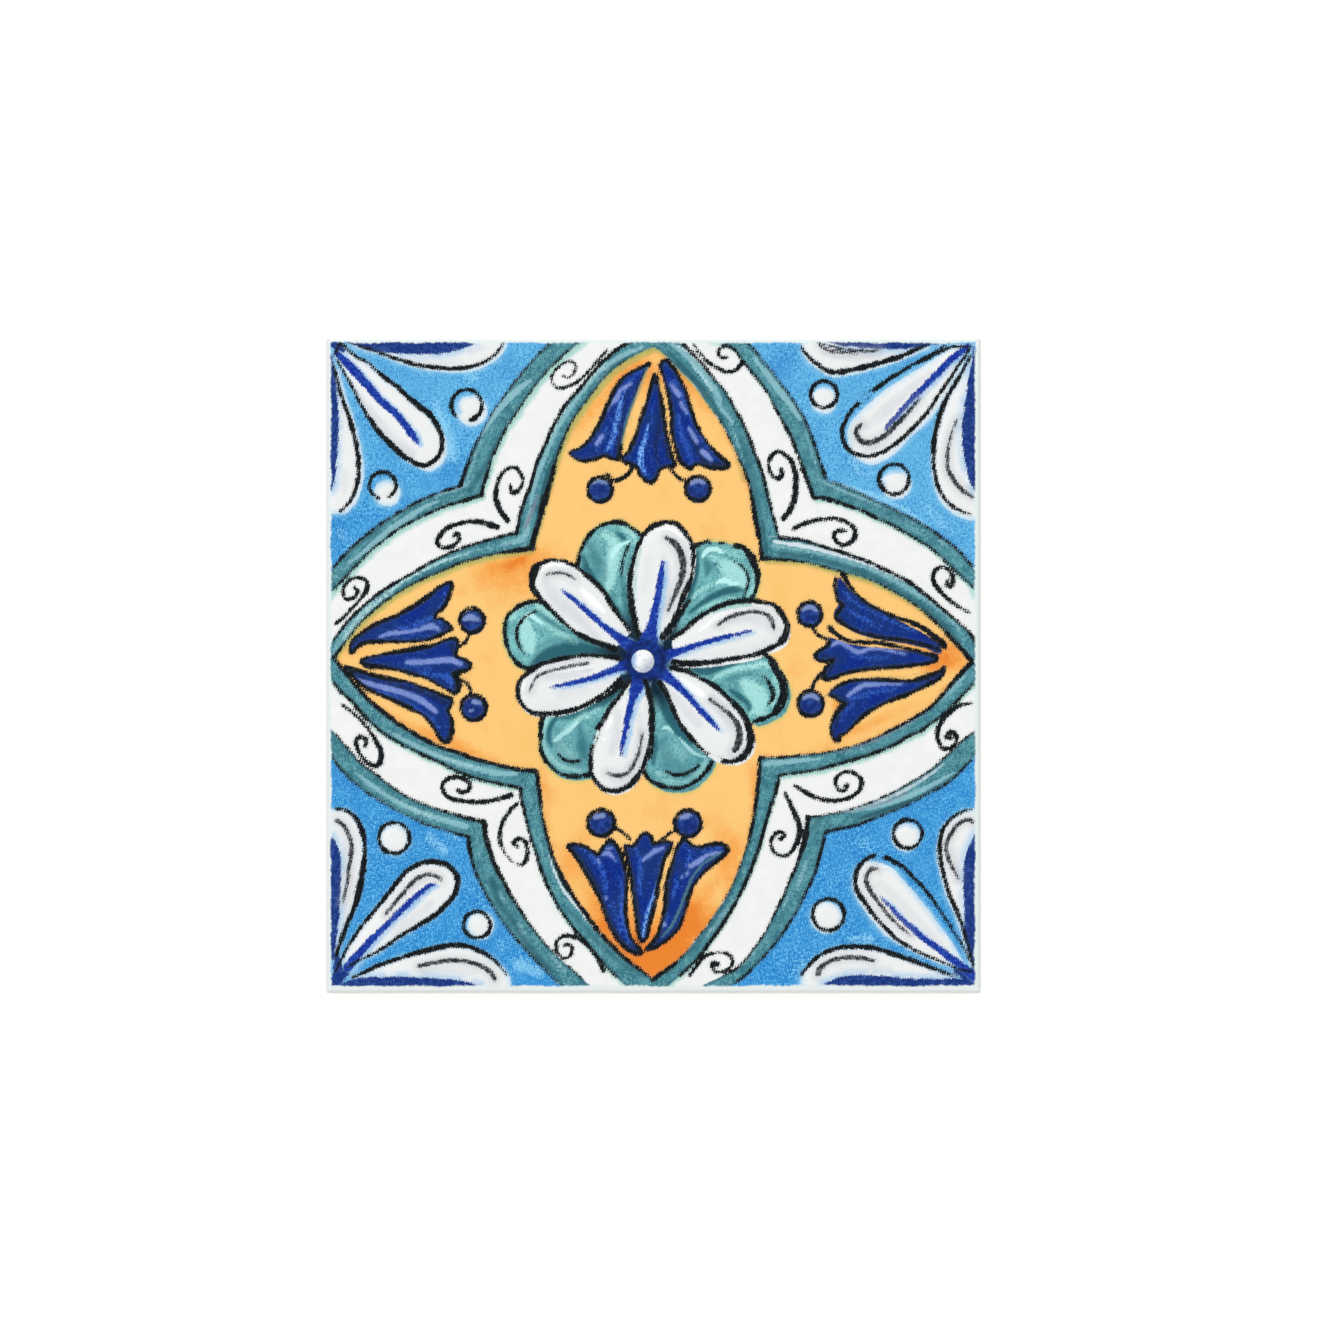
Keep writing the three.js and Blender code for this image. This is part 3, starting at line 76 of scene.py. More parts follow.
# the flower: white petals w, teal petals t
PETALS = {
    "w1": [(-4.78, 11.21), (-6.48, 16.21), (-7.31, 21.82), (-7.03, 27.42), (-6.18, 31.91), (-5.05, 35.85), (-3.38, 39.21), (-1.67, 41.45), (1.13, 43.12), (3.96, 43.7), (6.76, 43.39), (8.74, 41.73), (10.68, 39.21), (12.12, 35.85), (12.12, 31.91), (11.54, 27.42), (10.14, 23.52), (8.43, 19.58), (6.76, 15.09), (4.51, 10.61), (2.83, 8.36)],
    "w2": [(5.63, 8.36), (9.59, 11.21), (13.52, 14.55), (18.02, 17.33), (22.53, 19.03), (27.03, 19.85), (30.41, 19.85), (34.92, 19.03), (37.72, 17.91), (39.97, 15.09), (41.1, 11.73), (40.24, 8.36), (38.3, 6.7), (35.16, 5.3), (32.09, 3.88), (28.16, 2.88), (23.65, 2.21), (19.7, 1.55), (15.19, 1.09), (9.59, 0.97), (6.18, 1.36)],
    "w3": [(5.63, -0.61), (9.59, -1.42), (13.52, -3.39), (16.89, -5.09), (20.24, -7.33), (23.65, -10.67), (26.45, -14.03), (28.71, -17.97), (30.14, -21.88), (29.56, -25.24), (27.58, -27.79), (24.78, -28.91), (21.95, -29.06), (20, -28.61), (18.02, -27.79), (14.92, -25.55), (12.39, -23), (9.59, -19.64), (7.31, -16.27), (5.63, -12.36), (3.96, -8.45), (1.98, -5.09)],
    "w4": [(-7.31, -4.52), (-10.14, -9), (-12.94, -12.36), (-15.19, -16.27), (-16.89, -19.09), (-18.02, -22.42), (-18.87, -25.82), (-19.15, -28.61), (-18.87, -32.55), (-17.44, -35.33), (-15.19, -37.27), (-12.39, -38.15), (-9.59, -37.58), (-6.76, -35.91), (-4.51, -33.09), (-2.8, -29.73), (-1.67, -25.82), (-0.85, -21.33), (-0.85, -16.85), (-0.85, -11.79), (-1.67, -7.33), (-2.53, -4.52)],
    "w5": [(-10.68, 2.48), (-15.19, 2.88), (-19.7, 3.33), (-24.2, 2.88), (-28.16, 2.21), (-31.54, 1.36), (-34.92, 0.24), (-37.72, -1.73), (-40.24, -3.94), (-41.37, -6.76), (-41.1, -9.55), (-39.97, -11.79), (-37.72, -13.76), (-34.92, -14.61), (-30.96, -14.48), (-27.03, -14.03), (-23.07, -12.91), (-18.57, -10.67), (-15.19, -8.45), (-12.39, -6.18), (-10.14, -3.94)],
    "w6": [(-7.31, 10.61), (-9.59, 13.97), (-12.39, 17.91), (-14.64, 21.82), (-17.44, 25.18), (-20.85, 28), (-23.07, 29.94), (-25.91, 31.36), (-29.28, 32.18), (-32.66, 31.91), (-35.46, 30.52), (-37.17, 28), (-36.86, 24.64), (-35.46, 21.82), (-33.21, 19.03), (-30.41, 16.21), (-27.58, 13.42), (-24.2, 10.61), (-20.27, 8.36), (-15.77, 6.7), (-11.81, 5.58)],
    "t1": [(-23.07, 30.79), (-22.53, 34.15), (-21.4, 36.97), (-19.15, 40.33), (-16.32, 42.58), (-12.94, 43.7), (-10.14, 43.7), (-7.31, 42.58), (-5.05, 40.91), (-3.38, 39.21)],
    "t2": [(11.72, 35.76), (14.37, 37.27), (16.29, 37.79), (18.87, 37.73), (21.77, 37.42), (24.78, 36.67), (27.03, 36.12), (29.28, 34.73), (30.96, 31.91), (31.99, 28.55), (31.51, 24.64), (30.68, 21.82), (29.28, 20.15)],
    "t3": [(32.66, 4.18), (34.92, 2.76), (37.17, 0.52), (38.84, -2.27), (40.24, -5.09), (40.55, -8.45), (39.42, -11.79), (37.72, -14.03), (36.04, -14.85), (33.79, -16), (30.41, -16.85)],
    "t4": [(18.3, -27.79), (16.89, -30.85), (14.64, -33.64), (11.81, -35.91), (8.43, -37.03), (3.96, -37.03), (1.13, -35.91), (-1.67, -34.24), (-2.8, -31.97)],
    "t5": [(-33.49, -14.85), (-34.34, -17.97), (-34.34, -21.88), (-34.34, -25.24), (-33.21, -28.06), (-30.96, -30.85), (-28.16, -32.82), (-24.2, -33.64), (-20.85, -33.33), (-19.15, -33.03)],
    "t6": [(-33.49, 19.58), (-37.17, 19.58), (-39.97, 18.79), (-42.8, 16.79), (-44.75, 14.55), (-45.33, 11.21), (-45.05, 7.82), (-43.93, 4.45), (-41.67, 1.09), (-38.84, -0.61), (-36.86, -0.61)],
}
# three petals of each tulip
TULIPS = {
    "tt_l": [(-1.58, 91.94), (-4.47, 90.64), (-7.09, 89.33), (-9.19, 87.79), (-11.29, 85.18), (-12.85, 82.03), (-14.43, 78.39), (-16.01, 74.73), (-18.11, 71.09), (-19.67, 68.73), (-22.28, 66.36), (-25.45, 65.09), (-23.87, 63.24), (-21.25, 62.48), (-18.11, 62.85), (-14.7, 64.03), (-12.33, 63), (-10.5, 63.24), (-9.98, 66.36), (-9.19, 69.52), (-8.13, 73.18), (-6.58, 78.39), (-4.99, 83.09), (-3.41, 87.27), (-1.58, 90.91)],
    "tt_m": [(0.4, 88.58), (-0.55, 86.21), (-1.31, 83.09), (-2.1, 79.94), (-3.17, 77.33), (-4.2, 74.21), (-4.99, 71.09), (-6.03, 68.48), (-7.61, 65.33), (-9.71, 63), (-7.09, 61.42), (-4.99, 60.39), (-3.96, 58.03), (-1.31, 55.94), (0.76, 57), (1.83, 59.61), (3.93, 60.64), (5.75, 60.64), (6.27, 61.7), (5.48, 64.3), (4.96, 66.91), (3.93, 70.55), (3.41, 74.21), (2.86, 78.39), (2.1, 82.58), (1.31, 86.21)],
    "tt_r": [(2.1, 91.7), (2.86, 88.3), (3.93, 84.64), (4.96, 80.48), (5.48, 76.3), (5.48, 72.12), (6.03, 69), (7.06, 65.85), (8.13, 62.73), (9.68, 60.91), (11.26, 59.85), (12.3, 61.15), (13.88, 61.42), (17.02, 60.39), (19.63, 60.12), (21.74, 60.21), (23.04, 61.42), (21.22, 63), (18.6, 65.33), (15.98, 68.48), (13.88, 71.61), (12.3, 75.24), (10.99, 79.42), (9.95, 83.64), (8.65, 86.21), (7.06, 89.33), (5.48, 91.42), (3.93, 93.03)],
    "tl_t": [(-92.39, 4.24), (-92.12, 7.18), (-90.14, 9.15), (-86.67, 11.61), (-82.71, 13.58), (-78.75, 15.06), (-74.79, 17.27), (-71.32, 19.24), (-68.34, 21.45), (-65.39, 23.94), (-62.4, 25.39), (-61.43, 24.91), (-61.95, 21.97), (-62.89, 19.48), (-64.38, 17.52), (-66.36, 15.55), (-66.36, 14.55), (-63.9, 14.06), (-61.95, 12.33), (-61.34, 11.12), (-63.41, 10.12), (-65.91, 8.91), (-68.86, 7.91), (-72.82, 7.42), (-76.77, 7.42), (-80.73, 7.42), (-84.69, 7.42), (-88.16, 6.94), (-90.14, 5.94), (-91.39, 4.24)],
    "tl_m": [(-88.89, 1.76), (-86.67, 2.73), (-81.74, 3.73), (-76.77, 4.45), (-71.81, 5.45), (-66.88, 6.42), (-63.41, 7.91), (-60.91, 8.39), (-59.45, 7.18), (-59.94, 4.7), (-60.18, 3.24), (-57.99, 2.24), (-55.74, 0.76), (-56.23, -0.97), (-58.45, -1.7), (-60.43, -2.42), (-59.45, -4.15), (-59.21, -6.64), (-60.18, -8.36), (-62.4, -7.36), (-64.9, -6.12), (-67.85, -4.42), (-70.84, -3.18), (-73.82, -2.42), (-76.77, -1.45), (-80.73, -0.73), (-84.69, -0.12), (-87.67, 0.03)],
    "tl_b": [(-94.09, -0.21), (-90.62, -1.21), (-86.67, -2.42), (-82.71, -3.42), (-78.75, -4.15), (-74.79, -4.91), (-71.32, -6.12), (-67.85, -7.36), (-64.9, -8.61), (-62.4, -9.82), (-61.34, -10.82), (-61.95, -12.55), (-62.65, -13.52), (-61.67, -15.48), (-61.19, -18.45), (-61.67, -21.42), (-62.89, -23.15), (-64.63, -22.42), (-65.91, -20.42), (-67.85, -17.45), (-70.32, -15), (-73.82, -13.03), (-77.26, -11.52), (-80.73, -9.82), (-84.2, -8.36), (-87.67, -6.64), (-90.14, -4.67), (-92.12, -2.7)],
    "tr_t": [(56.35, 27.12), (57.69, 25.76), (59.36, 23.79), (61.34, 21.97), (64.08, 20.06), (67.73, 17.88), (71.54, 15.7), (75.49, 13.52), (79.45, 11.39), (82.5, 9.76), (85.24, 7.94), (87.52, 5.97), (87.37, 3.94), (85.33, 4.24), (82.83, 5.45), (79.39, 6.18), (75.4, 6.94), (71.45, 7.67), (67.49, 8.39), (64.02, 9.15), (61.04, 10.36), (58.6, 11.85), (56.1, 13.58), (55.01, 15.55), (55.37, 17.52), (56.41, 19), (55.86, 20.97), (55.68, 23.42)],
    "tr_m": [(53.12, 8.91), (55.62, 8.18), (59.09, 6.97), (63.04, 6.18), (67, 5.7), (70.96, 5.45), (74.92, 4.94), (78.87, 4.45), (82.83, 3.97), (86.3, 3.48), (86.54, 2.24), (85.81, 1.24), (83.84, 0.76), (79.88, 0.3), (75.92, -0.21), (71.96, -0.45), (68.01, -0.73), (64.02, -1.21), (60.06, -1.94), (57.08, -2.7), (55.13, -3.64), (53.12, -4.15), (51.9, -3.42), (52.15, -1.21), (53.12, 0.3), (55.13, 2), (53.12, 1.52), (50.68, 1.52), (49.16, 2.73), (50.17, 4.45), (52.15, 5.7), (53.64, 6.97)],
    "tr_b": [(53.64, -8.85), (54.12, -7.58), (56.59, -5.88), (59.57, -4.67), (63.04, -4.15), (67, -4.15), (70.96, -4.15), (74.92, -4.42), (78.87, -4.42), (81.86, -3.64), (84.78, -2.7), (87.31, -1.45), (88.52, -0.21), (88.28, -1.7), (87.31, -3.64), (84.32, -5.39), (80.82, -7.12), (76.86, -8.85), (72.91, -10.3), (68.95, -12.06), (65.51, -14.03), (63.04, -16), (60.58, -18.45), (58.6, -20.42), (56.59, -21.15), (56.59, -22.88), (55.13, -22.39), (54.12, -20.42), (54.12, -17.97), (55.13, -15.45), (56.59, -13.03), (58.3, -11.3), (57.08, -11.06), (55.13, -9.58)],
    "tb_l": [(-26.21, -54.79), (-23.87, -54.24), (-20.73, -55.06), (-18.11, -56.61), (-16.77, -57.39), (-15.46, -55.3), (-13.39, -52.97), (-11.81, -54), (-10.23, -56.61), (-9.19, -59.76), (-8.4, -63.39), (-8.13, -67.58), (-8.4, -71.76), (-8.4, -75.39), (-7.88, -79.06), (-7.09, -82.18), (-5.51, -84.79), (-3.96, -86.36), (-3.68, -87.39), (-4.99, -87.67), (-7.61, -86.61), (-10.23, -84.24), (-12.33, -81.15), (-13.91, -78), (-14.95, -74.85), (-16.29, -71.21), (-18.11, -67.58), (-20.18, -63.94), (-22.28, -60.27), (-24.38, -57.12)],
    "tb_m": [(-8.68, -54.55), (-6.03, -54.79), (-4.47, -52.42), (-2.62, -50.88), (-0.79, -51.91), (0.24, -54), (2.86, -53.48), (5.48, -53.76), (5.24, -55.58), (3.93, -57.67), (2.86, -60.27), (2.34, -63.39), (1.55, -66.52), (0.76, -70.7), (-0.27, -74.85), (-1.31, -79.06), (-2.1, -82.7), (-3.17, -83.76), (-4.2, -83.21), (-4.99, -79.58), (-5.51, -75.39), (-6.03, -71.21), (-6.58, -67.06), (-7.09, -63.39), (-7.88, -59.76), (-8.55, -56.61)],
    "tb_r": [(-2.1, -86.24), (-0.27, -84.24), (1.31, -81.67), (2.34, -78.48), (3.14, -74.85), (3.65, -70.7), (3.93, -66.52), (4.96, -62.36), (6.03, -58.7), (7.06, -55.58), (8.65, -53.21), (9.95, -52.97), (11.78, -54.52), (14.4, -55.06), (17.53, -54.24), (20.7, -54.24), (22.53, -55.58), (22.01, -57.12), (19.63, -59.21), (17.02, -61.3), (14.4, -63.94), (12.3, -66.52), (10.99, -69.67), (9.95, -73.3), (8.89, -76.97), (7.34, -80.09), (5.48, -82.18), (2.86, -84.24), (0.24, -85.85)],
}
# corner petals: d diagonal, the others along an edge
CORNER = {
    "tl_d": [(-97.05, 94.36), (-95.56, 98.03), (-93, 96.3), (-90.41, 94.15), (-86.61, 92.03), (-82.34, 88.18), (-78.02, 85.03), (-74.19, 81.42), (-70.35, 78.42), (-67.34, 75.45), (-65.21, 72.06), (-64.38, 68.67), (-64.78, 65.24), (-66.51, 62.73), (-69.07, 61.21), (-71.2, 61.21), (-73.76, 62.48), (-76.74, 64.39), (-80.15, 67.79), (-83.56, 71.21), (-86.61, 75.45), (-89.13, 79.7), (-91.69, 84.85), (-94.25, 89.48), (-96.41, 93.33)],
    "tl_t": [(-93, 98.79), (-88.74, 97.15), (-84.47, 95.88), (-80.21, 94.15), (-75.89, 92.67), (-71.63, 91.61), (-67.34, 90.97), (-63.07, 90.55), (-58.81, 90.67), (-54.55, 91.39), (-51.11, 92.88), (-48.13, 95), (-46.42, 97.15), (-45.81, 98.48)],
    "tl_l": [(-97.26, 91.21), (-96.19, 86.52), (-95.13, 82.73), (-93.82, 78.85), (-92.54, 75.45), (-91.69, 72.06), (-90.62, 67.79), (-89.98, 63.55), (-89.77, 59.3), (-90.2, 55.91), (-91.26, 52.48), (-92.54, 49.94), (-95.34, 47.18)],
    "tr_d": [(96.62, 97.03), (91.48, 97.27), (86.58, 95.3), (83.11, 93.55), (78.3, 91.39), (73.91, 88.79), (69.98, 86.15), (66.27, 83.33), (62.98, 80.52), (60.37, 77.88), (58.6, 74.85), (57.53, 72.24), (57.53, 69.64), (58.6, 67.03), (60.82, 64.85), (63.87, 64), (66.48, 64), (69.56, 65.06), (72.6, 66.82), (75.65, 69.21), (78.69, 72.24), (81.74, 75.3), (84.41, 78.79), (87.03, 82.73), (89.65, 86.67), (92.27, 90.52), (94.89, 94.42), (96.19, 96.61)],
    "tr_t": [(45.08, 97.03), (46.85, 94.42), (49.47, 92.24), (52.09, 90.3), (55.13, 89.42), (58.6, 89.85), (62.98, 90.73), (67.37, 91.82), (71.69, 93.12), (76.1, 94.64), (80.46, 96.61), (83.96, 97.88)],
    "tr_r": [(96.62, 94.64), (94.46, 90.52), (92.27, 86.61), (89.65, 82.24), (87.88, 78.33), (86.58, 74.42), (85.69, 70.52), (85.27, 66.61), (85.27, 62.7), (85.69, 58.79), (86.58, 54.85), (88.34, 51.36), (90.96, 48.79), (93.58, 47.27), (96.41, 46.24)],
    "bl_d": [(-96.86, -92.97), (-94.52, -88.33), (-92.21, -84.15), (-89.41, -80), (-85.69, -75.33), (-81.49, -70.24), (-78.23, -66.06), (-74.98, -62.33), (-71.69, -60.48), (-68.95, -59.67), (-65.18, -59.79), (-62.37, -60.94), (-60.27, -63.27), (-59.57, -65.61), (-60.27, -68.85), (-61.95, -71.39), (-64.69, -74.18), (-67.52, -76.48), (-71.69, -79.03), (-76.35, -81.82), (-80.55, -84.61), (-84.29, -87.15), (-88.95, -89.24), (-93.12, -91.58)],
    "bl_l": [(-96.86, -43.55), (-94.06, -43.79), (-91.26, -45.64), (-89.41, -48.42), (-88.25, -52.12), (-87.91, -56.3), (-88.25, -60.48), (-88.95, -65.12), (-89.86, -69.76), (-91.26, -73.94), (-93.12, -78.12), (-94.52, -81.82), (-95.92, -86), (-96.5, -88.33)],
    "bl_b": [(-91.78, -94.82), (-88.46, -93.42), (-84.78, -91.58), (-81.04, -90.18), (-76.86, -88.79), (-72.18, -87.39), (-67.52, -86.24), (-63.32, -85.3), (-59.57, -84.97), (-55.86, -85.55), (-52.12, -87.15), (-48.86, -89.24), (-46.54, -91.58), (-44.69, -94.12)],
    "br_d": [(97.08, -92.97), (93.79, -92.48), (90.08, -91.09), (85.88, -89.24), (81.22, -87.39), (77.02, -85.06), (73.76, -82.73), (70.96, -80), (68.19, -77.18), (65.39, -73.48), (63.04, -70.24), (61.64, -67.45), (61.43, -65.12), (61.89, -62.33), (63.47, -60), (65.39, -58.39), (67.7, -57.79), (70.26, -58.18), (72.85, -59.33), (75.65, -60.97), (78.39, -63.52), (81.22, -66.52), (84.47, -70.45), (86.82, -73.7), (89.13, -77.18), (91.48, -80.91), (93.79, -84.61), (96.13, -88.79), (97.53, -91.58)],
    "br_r": [(97.08, -43.55), (93.79, -44.48), (90.53, -46.58), (88.43, -49.36), (87.28, -53.03), (87.18, -57.24), (87.73, -60.97), (88.92, -65.61), (90.53, -70.7), (92.39, -74.85), (93.79, -78.58), (95.19, -83.21), (96.59, -87.88), (97.29, -91.09)],
    "br_b": [(45.11, -94.12), (46.73, -91.82), (49.53, -89.03), (52.82, -86.94), (56.53, -85.76), (60.24, -85.45), (64.44, -85.55), (68.65, -86.24), (72.85, -87.64), (77.47, -89.24), (82.16, -90.88), (86.82, -92.73), (90.53, -94.12), (92.39, -94.36)],
}
# round dots: x, y, radius
DOTS = {
    "tl1": (-56.89, 79.48, 4.68),
    "tl2": (-82.53, 55.06, 4.04),
    "tr1": (51.87, 82.7, 4.04),
    "tr2": (73.27, 56.91, 4.56),
    "bl1": (-78.93, -52.36, 4.71),
    "bl2": (-53.76, -78.79, 4.07),
    "br1": (77.41, -51.12, 4.35),
    "br2": (53.27, -75.7, 4.8),
    "tt1": (-16.29, 53.7, 3.74),
    "tt2": (13.52, 53.97, 3.74),
    "tl1s": (-55.25, 13.82, 3.71),
    "tl2s": (-54.82, -12.7, 3.8),
    "tr1s": (47.58, 15.79, 3.65),
    "tr2s": (47.85, -11.39, 3.86),
    "tb1": (-15.98, -47.76, 4.01),
    "tb2": (10.47, -47.88, 4.01),
    "hub": (-1.61, 1.7, 6.26),
    "hubdot": (-3.26, 1.45, 3.44),
}
# black scrolls: points and widths
SCROLLS = {
    "tl_v": ([(-44.51, 44.24), (-46.42, 46.97), (-47.79, 49.94), (-47.95, 52.91), (-47.28, 56.36), (-45.57, 59.3), (-43.01, 60.61), (-40.88, 59.3), (-39.79, 56.76), (-40.24, 54.64), (-41.74, 52.91), (-43.23, 52.91), (-43.77, 55.06)], [1.82, 1.82, 1.82, 1.52, 1.22, 1.22, 1.22, 1.22, 1.22, 1.22, 1.52, 1.37, 0.91]),
    "tl_h": ([(-47.49, 42.12), (-50.26, 43.15), (-54.12, 44), (-57.99, 43.58), (-61.8, 42.52), (-64.38, 40.61), (-65.84, 38.03), (-64.78, 36.36), (-62.25, 36.12), (-59.67, 37.61), (-59.24, 39.52), (-60.3, 40.36), (-60.94, 39.3)], [1.82, 1.82, 1.52, 1.52, 1.52, 1.52, 1.52, 1.52, 1.37, 1.37, 1.52, 1.22, 0.91]),
    "tl_t": ([(-14.16, 96.12), (-17.05, 93.03), (-19.67, 89.88), (-22.83, 86.73), (-25.97, 85.18), (-29.1, 84.64), (-30.93, 86.73), (-30.41, 89.33), (-28.07, 91.7), (-25.42, 92.73), (-23.74, 91.42), (-24.38, 89.09), (-25.97, 87.79), (-27.55, 88.3)], [0.76, 0.91, 0.91, 1.06, 1.06, 1.06, 0.91, 0.91, 0.76, 0.91, 1.06, 0.91, 0.76, 0.76]),
    "tl_l": ([(-96.83, 12.85), (-94.09, 15.06), (-91.63, 17.76), (-89.13, 20.48), (-87.43, 22.94), (-87.15, 25.39), (-89.13, 26.88), (-92.12, 26.39), (-94.09, 24.42), (-94.58, 21.97), (-93.36, 20.24), (-91.11, 20.97), (-90.05, 22.73), (-91.11, 23.94)], [1.06, 1.06, 1.06, 1.22, 1.52, 1.37, 1.22, 1.06, 1.06, 1.22, 1.37, 1.22, 1.22, 1.22]),
    "tr_v": ([(39.63, 45.06), (41.55, 47.45), (42.89, 50.94), (43.35, 54.85), (43.14, 58.79), (42.04, 62.24), (39.85, 64.42), (37.66, 65.3), (35.92, 64), (35.13, 61.39), (35.92, 58.33), (37.66, 57.03), (39.18, 57.91), (38.87, 59.85)], [1.82, 1.82, 1.98, 1.98, 1.82, 1.52, 1.22, 1.22, 1.37, 1.22, 1.22, 1.52, 1.52, 1.22]),
    "tr_h": ([(42.68, 41.82), (45.51, 43.12), (48.55, 44.24), (51.2, 44.64), (54.25, 44.85), (57.75, 44.24), (60.37, 42.73), (61.46, 40.52), (60.61, 38.12), (58.2, 36.82), (56.01, 37.67), (54.92, 39.64), (56.01, 41.15), (58.42, 40.94)], [1.37, 1.52, 1.37, 1.37, 1.22, 1.37, 1.52, 1.82, 1.67, 1.37, 1.37, 1.52, 1.37, 1.22]),
    "tr_t": ([(12.02, 98.48), (13.85, 95.61), (16.5, 92.73), (19.63, 90.64), (22.8, 89.61), (25.42, 90.39), (26.73, 92.48), (25.94, 94.55), (24.35, 96.36), (21.74, 97.42), (19.91, 96.36), (19.91, 94.55), (21.22, 93.79), (22.8, 94.15)], [0.61, 0.91, 1.22, 1.22, 1.37, 1.37, 1.22, 1.06, 0.91, 1.06, 1.06, 1.06, 1.06, 0.91]),
    "tr_r": ([(96.47, 16.06), (93.73, 17.52), (90.75, 19.48), (87.79, 22.21), (85.81, 24.67), (85.08, 27.36), (86.3, 29.61), (88.28, 30.09), (90.5, 28.61), (91.26, 26.39), (90.5, 24.24), (89.35, 24.73), (89.65, 25.91)], [0.76, 1.06, 1.37, 1.52, 1.52, 1.52, 1.37, 1.22, 1.37, 1.52, 1.52, 1.37, 1.22]),
    "bl_h": ([(-43.5, -39.39), (-46.54, -40.3), (-50.26, -41.21), (-54.95, -41.39), (-59.57, -41), (-62.86, -39.61), (-64.38, -36.85), (-62.86, -34.55), (-60.06, -33.82), (-57.26, -34.55), (-55.86, -36.15), (-56.56, -38), (-58.17, -38.45), (-59.57, -37.76)], [1.98, 1.52, 1.52, 1.52, 1.52, 1.52, 1.52, 1.52, 1.52, 1.52, 1.52, 1.52, 1.52, 1.52]),
    "bl_v": ([(-41.89, -42.12), (-44.2, -44.73), (-45.84, -47.52), (-46.76, -50.76), (-46.54, -54), (-45.14, -57.24), (-42.8, -59.58), (-40.49, -60.58), (-38.63, -59.09), (-38.39, -56.3), (-39.12, -53.55), (-40.94, -52.61), (-42.59, -53.55), (-41.4, -55.15)], [1.37, 1.37, 1.37, 1.37, 1.37, 0.76, 0.61, 1.06, 1.52, 1.37, 1.37, 1.37, 1.37, 1.06]),
    "bl_l": ([(-94.82, -11.79), (-91.63, -14.24), (-89.13, -16.48), (-86.67, -19.45), (-84.47, -22.88), (-82.95, -26.36), (-83.2, -29.3), (-84.69, -30.52), (-87.15, -29.3), (-89.41, -26.82), (-90.56, -23.39), (-89.41, -21.42), (-87.43, -22.64), (-87.91, -24.36)], [0.91, 1.22, 1.06, 1.06, 1.52, 1.82, 1.82, 1.67, 1.22, 1.37, 1.52, 1.37, 1.37, 1.52]),
    "bl_b": ([(-15.22, -92.88), (-16.53, -90), (-18.63, -86.88), (-21.25, -84), (-23.9, -82.7), (-27, -82.18), (-29.38, -83.76), (-29.62, -86.36), (-28.07, -88.7), (-25.97, -88.7), (-24.66, -86.88), (-25.42, -84.79), (-27.12, -85.06)], [1.52, 1.22, 1.37, 1.37, 1.37, 1.22, 1.06, 1.22, 0.91, 0.91, 1.22, 1.06, 1.37]),
    "br_h": ([(43.01, -36.36), (45.81, -38.18), (49.53, -40.09), (53.73, -41), (57.44, -40.79), (60.73, -39.61), (62.83, -37.76), (63.29, -34.97), (61.64, -32.88), (58.84, -32.18), (56.07, -33.58), (55.37, -35.67), (56.53, -37.76), (58.39, -37.76), (58.84, -36.36)], [1.22, 1.37, 1.37, 1.37, 1.37, 1.37, 1.52, 1.52, 1.22, 1.22, 1.22, 1.22, 1.06, 1.37, 1.52]),
    "br_v": ([(39.97, -38.7), (41.61, -41.94), (43.26, -45.64), (44.41, -48.42), (44.17, -52.12), (42.77, -55.39), (40.64, -57.7), (38.36, -57.7), (36.26, -55.85), (35.77, -53.55), (36.96, -51.21), (39.06, -50.52), (39.97, -51.67), (38.6, -52.85)], [1.06, 1.22, 1.82, 1.82, 1.82, 1.52, 1.22, 1.22, 1.22, 1.22, 1.37, 1.22, 1.22, 1.22]),
    "br_r": ([(96.96, -11.3), (93.24, -12.06), (90.75, -13.52), (88.28, -16), (86.79, -18.94), (86.54, -21.91), (87.79, -24.85), (90.26, -25.12), (92.24, -23.39), (91.99, -20.91), (90.5, -19.94), (89.04, -21.42), (90.5, -21.91)], [0.91, 1.37, 1.82, 1.52, 1.52, 1.52, 1.52, 1.37, 1.37, 1.37, 1.37, 1.52, 1.37]),
    "br_b": ([(10.99, -94.18), (13.36, -91.06), (15.46, -88.45), (18.6, -87.39), (21.74, -87.39), (23.84, -88.97), (23.59, -91.58), (21.22, -93.15), (18.6, -92.88), (17.81, -90.55), (19.63, -90.79)], [1.22, 1.22, 1.22, 0.76, 1.06, 1.22, 1.22, 1.22, 1.22, 1.52, 1.52]),
}
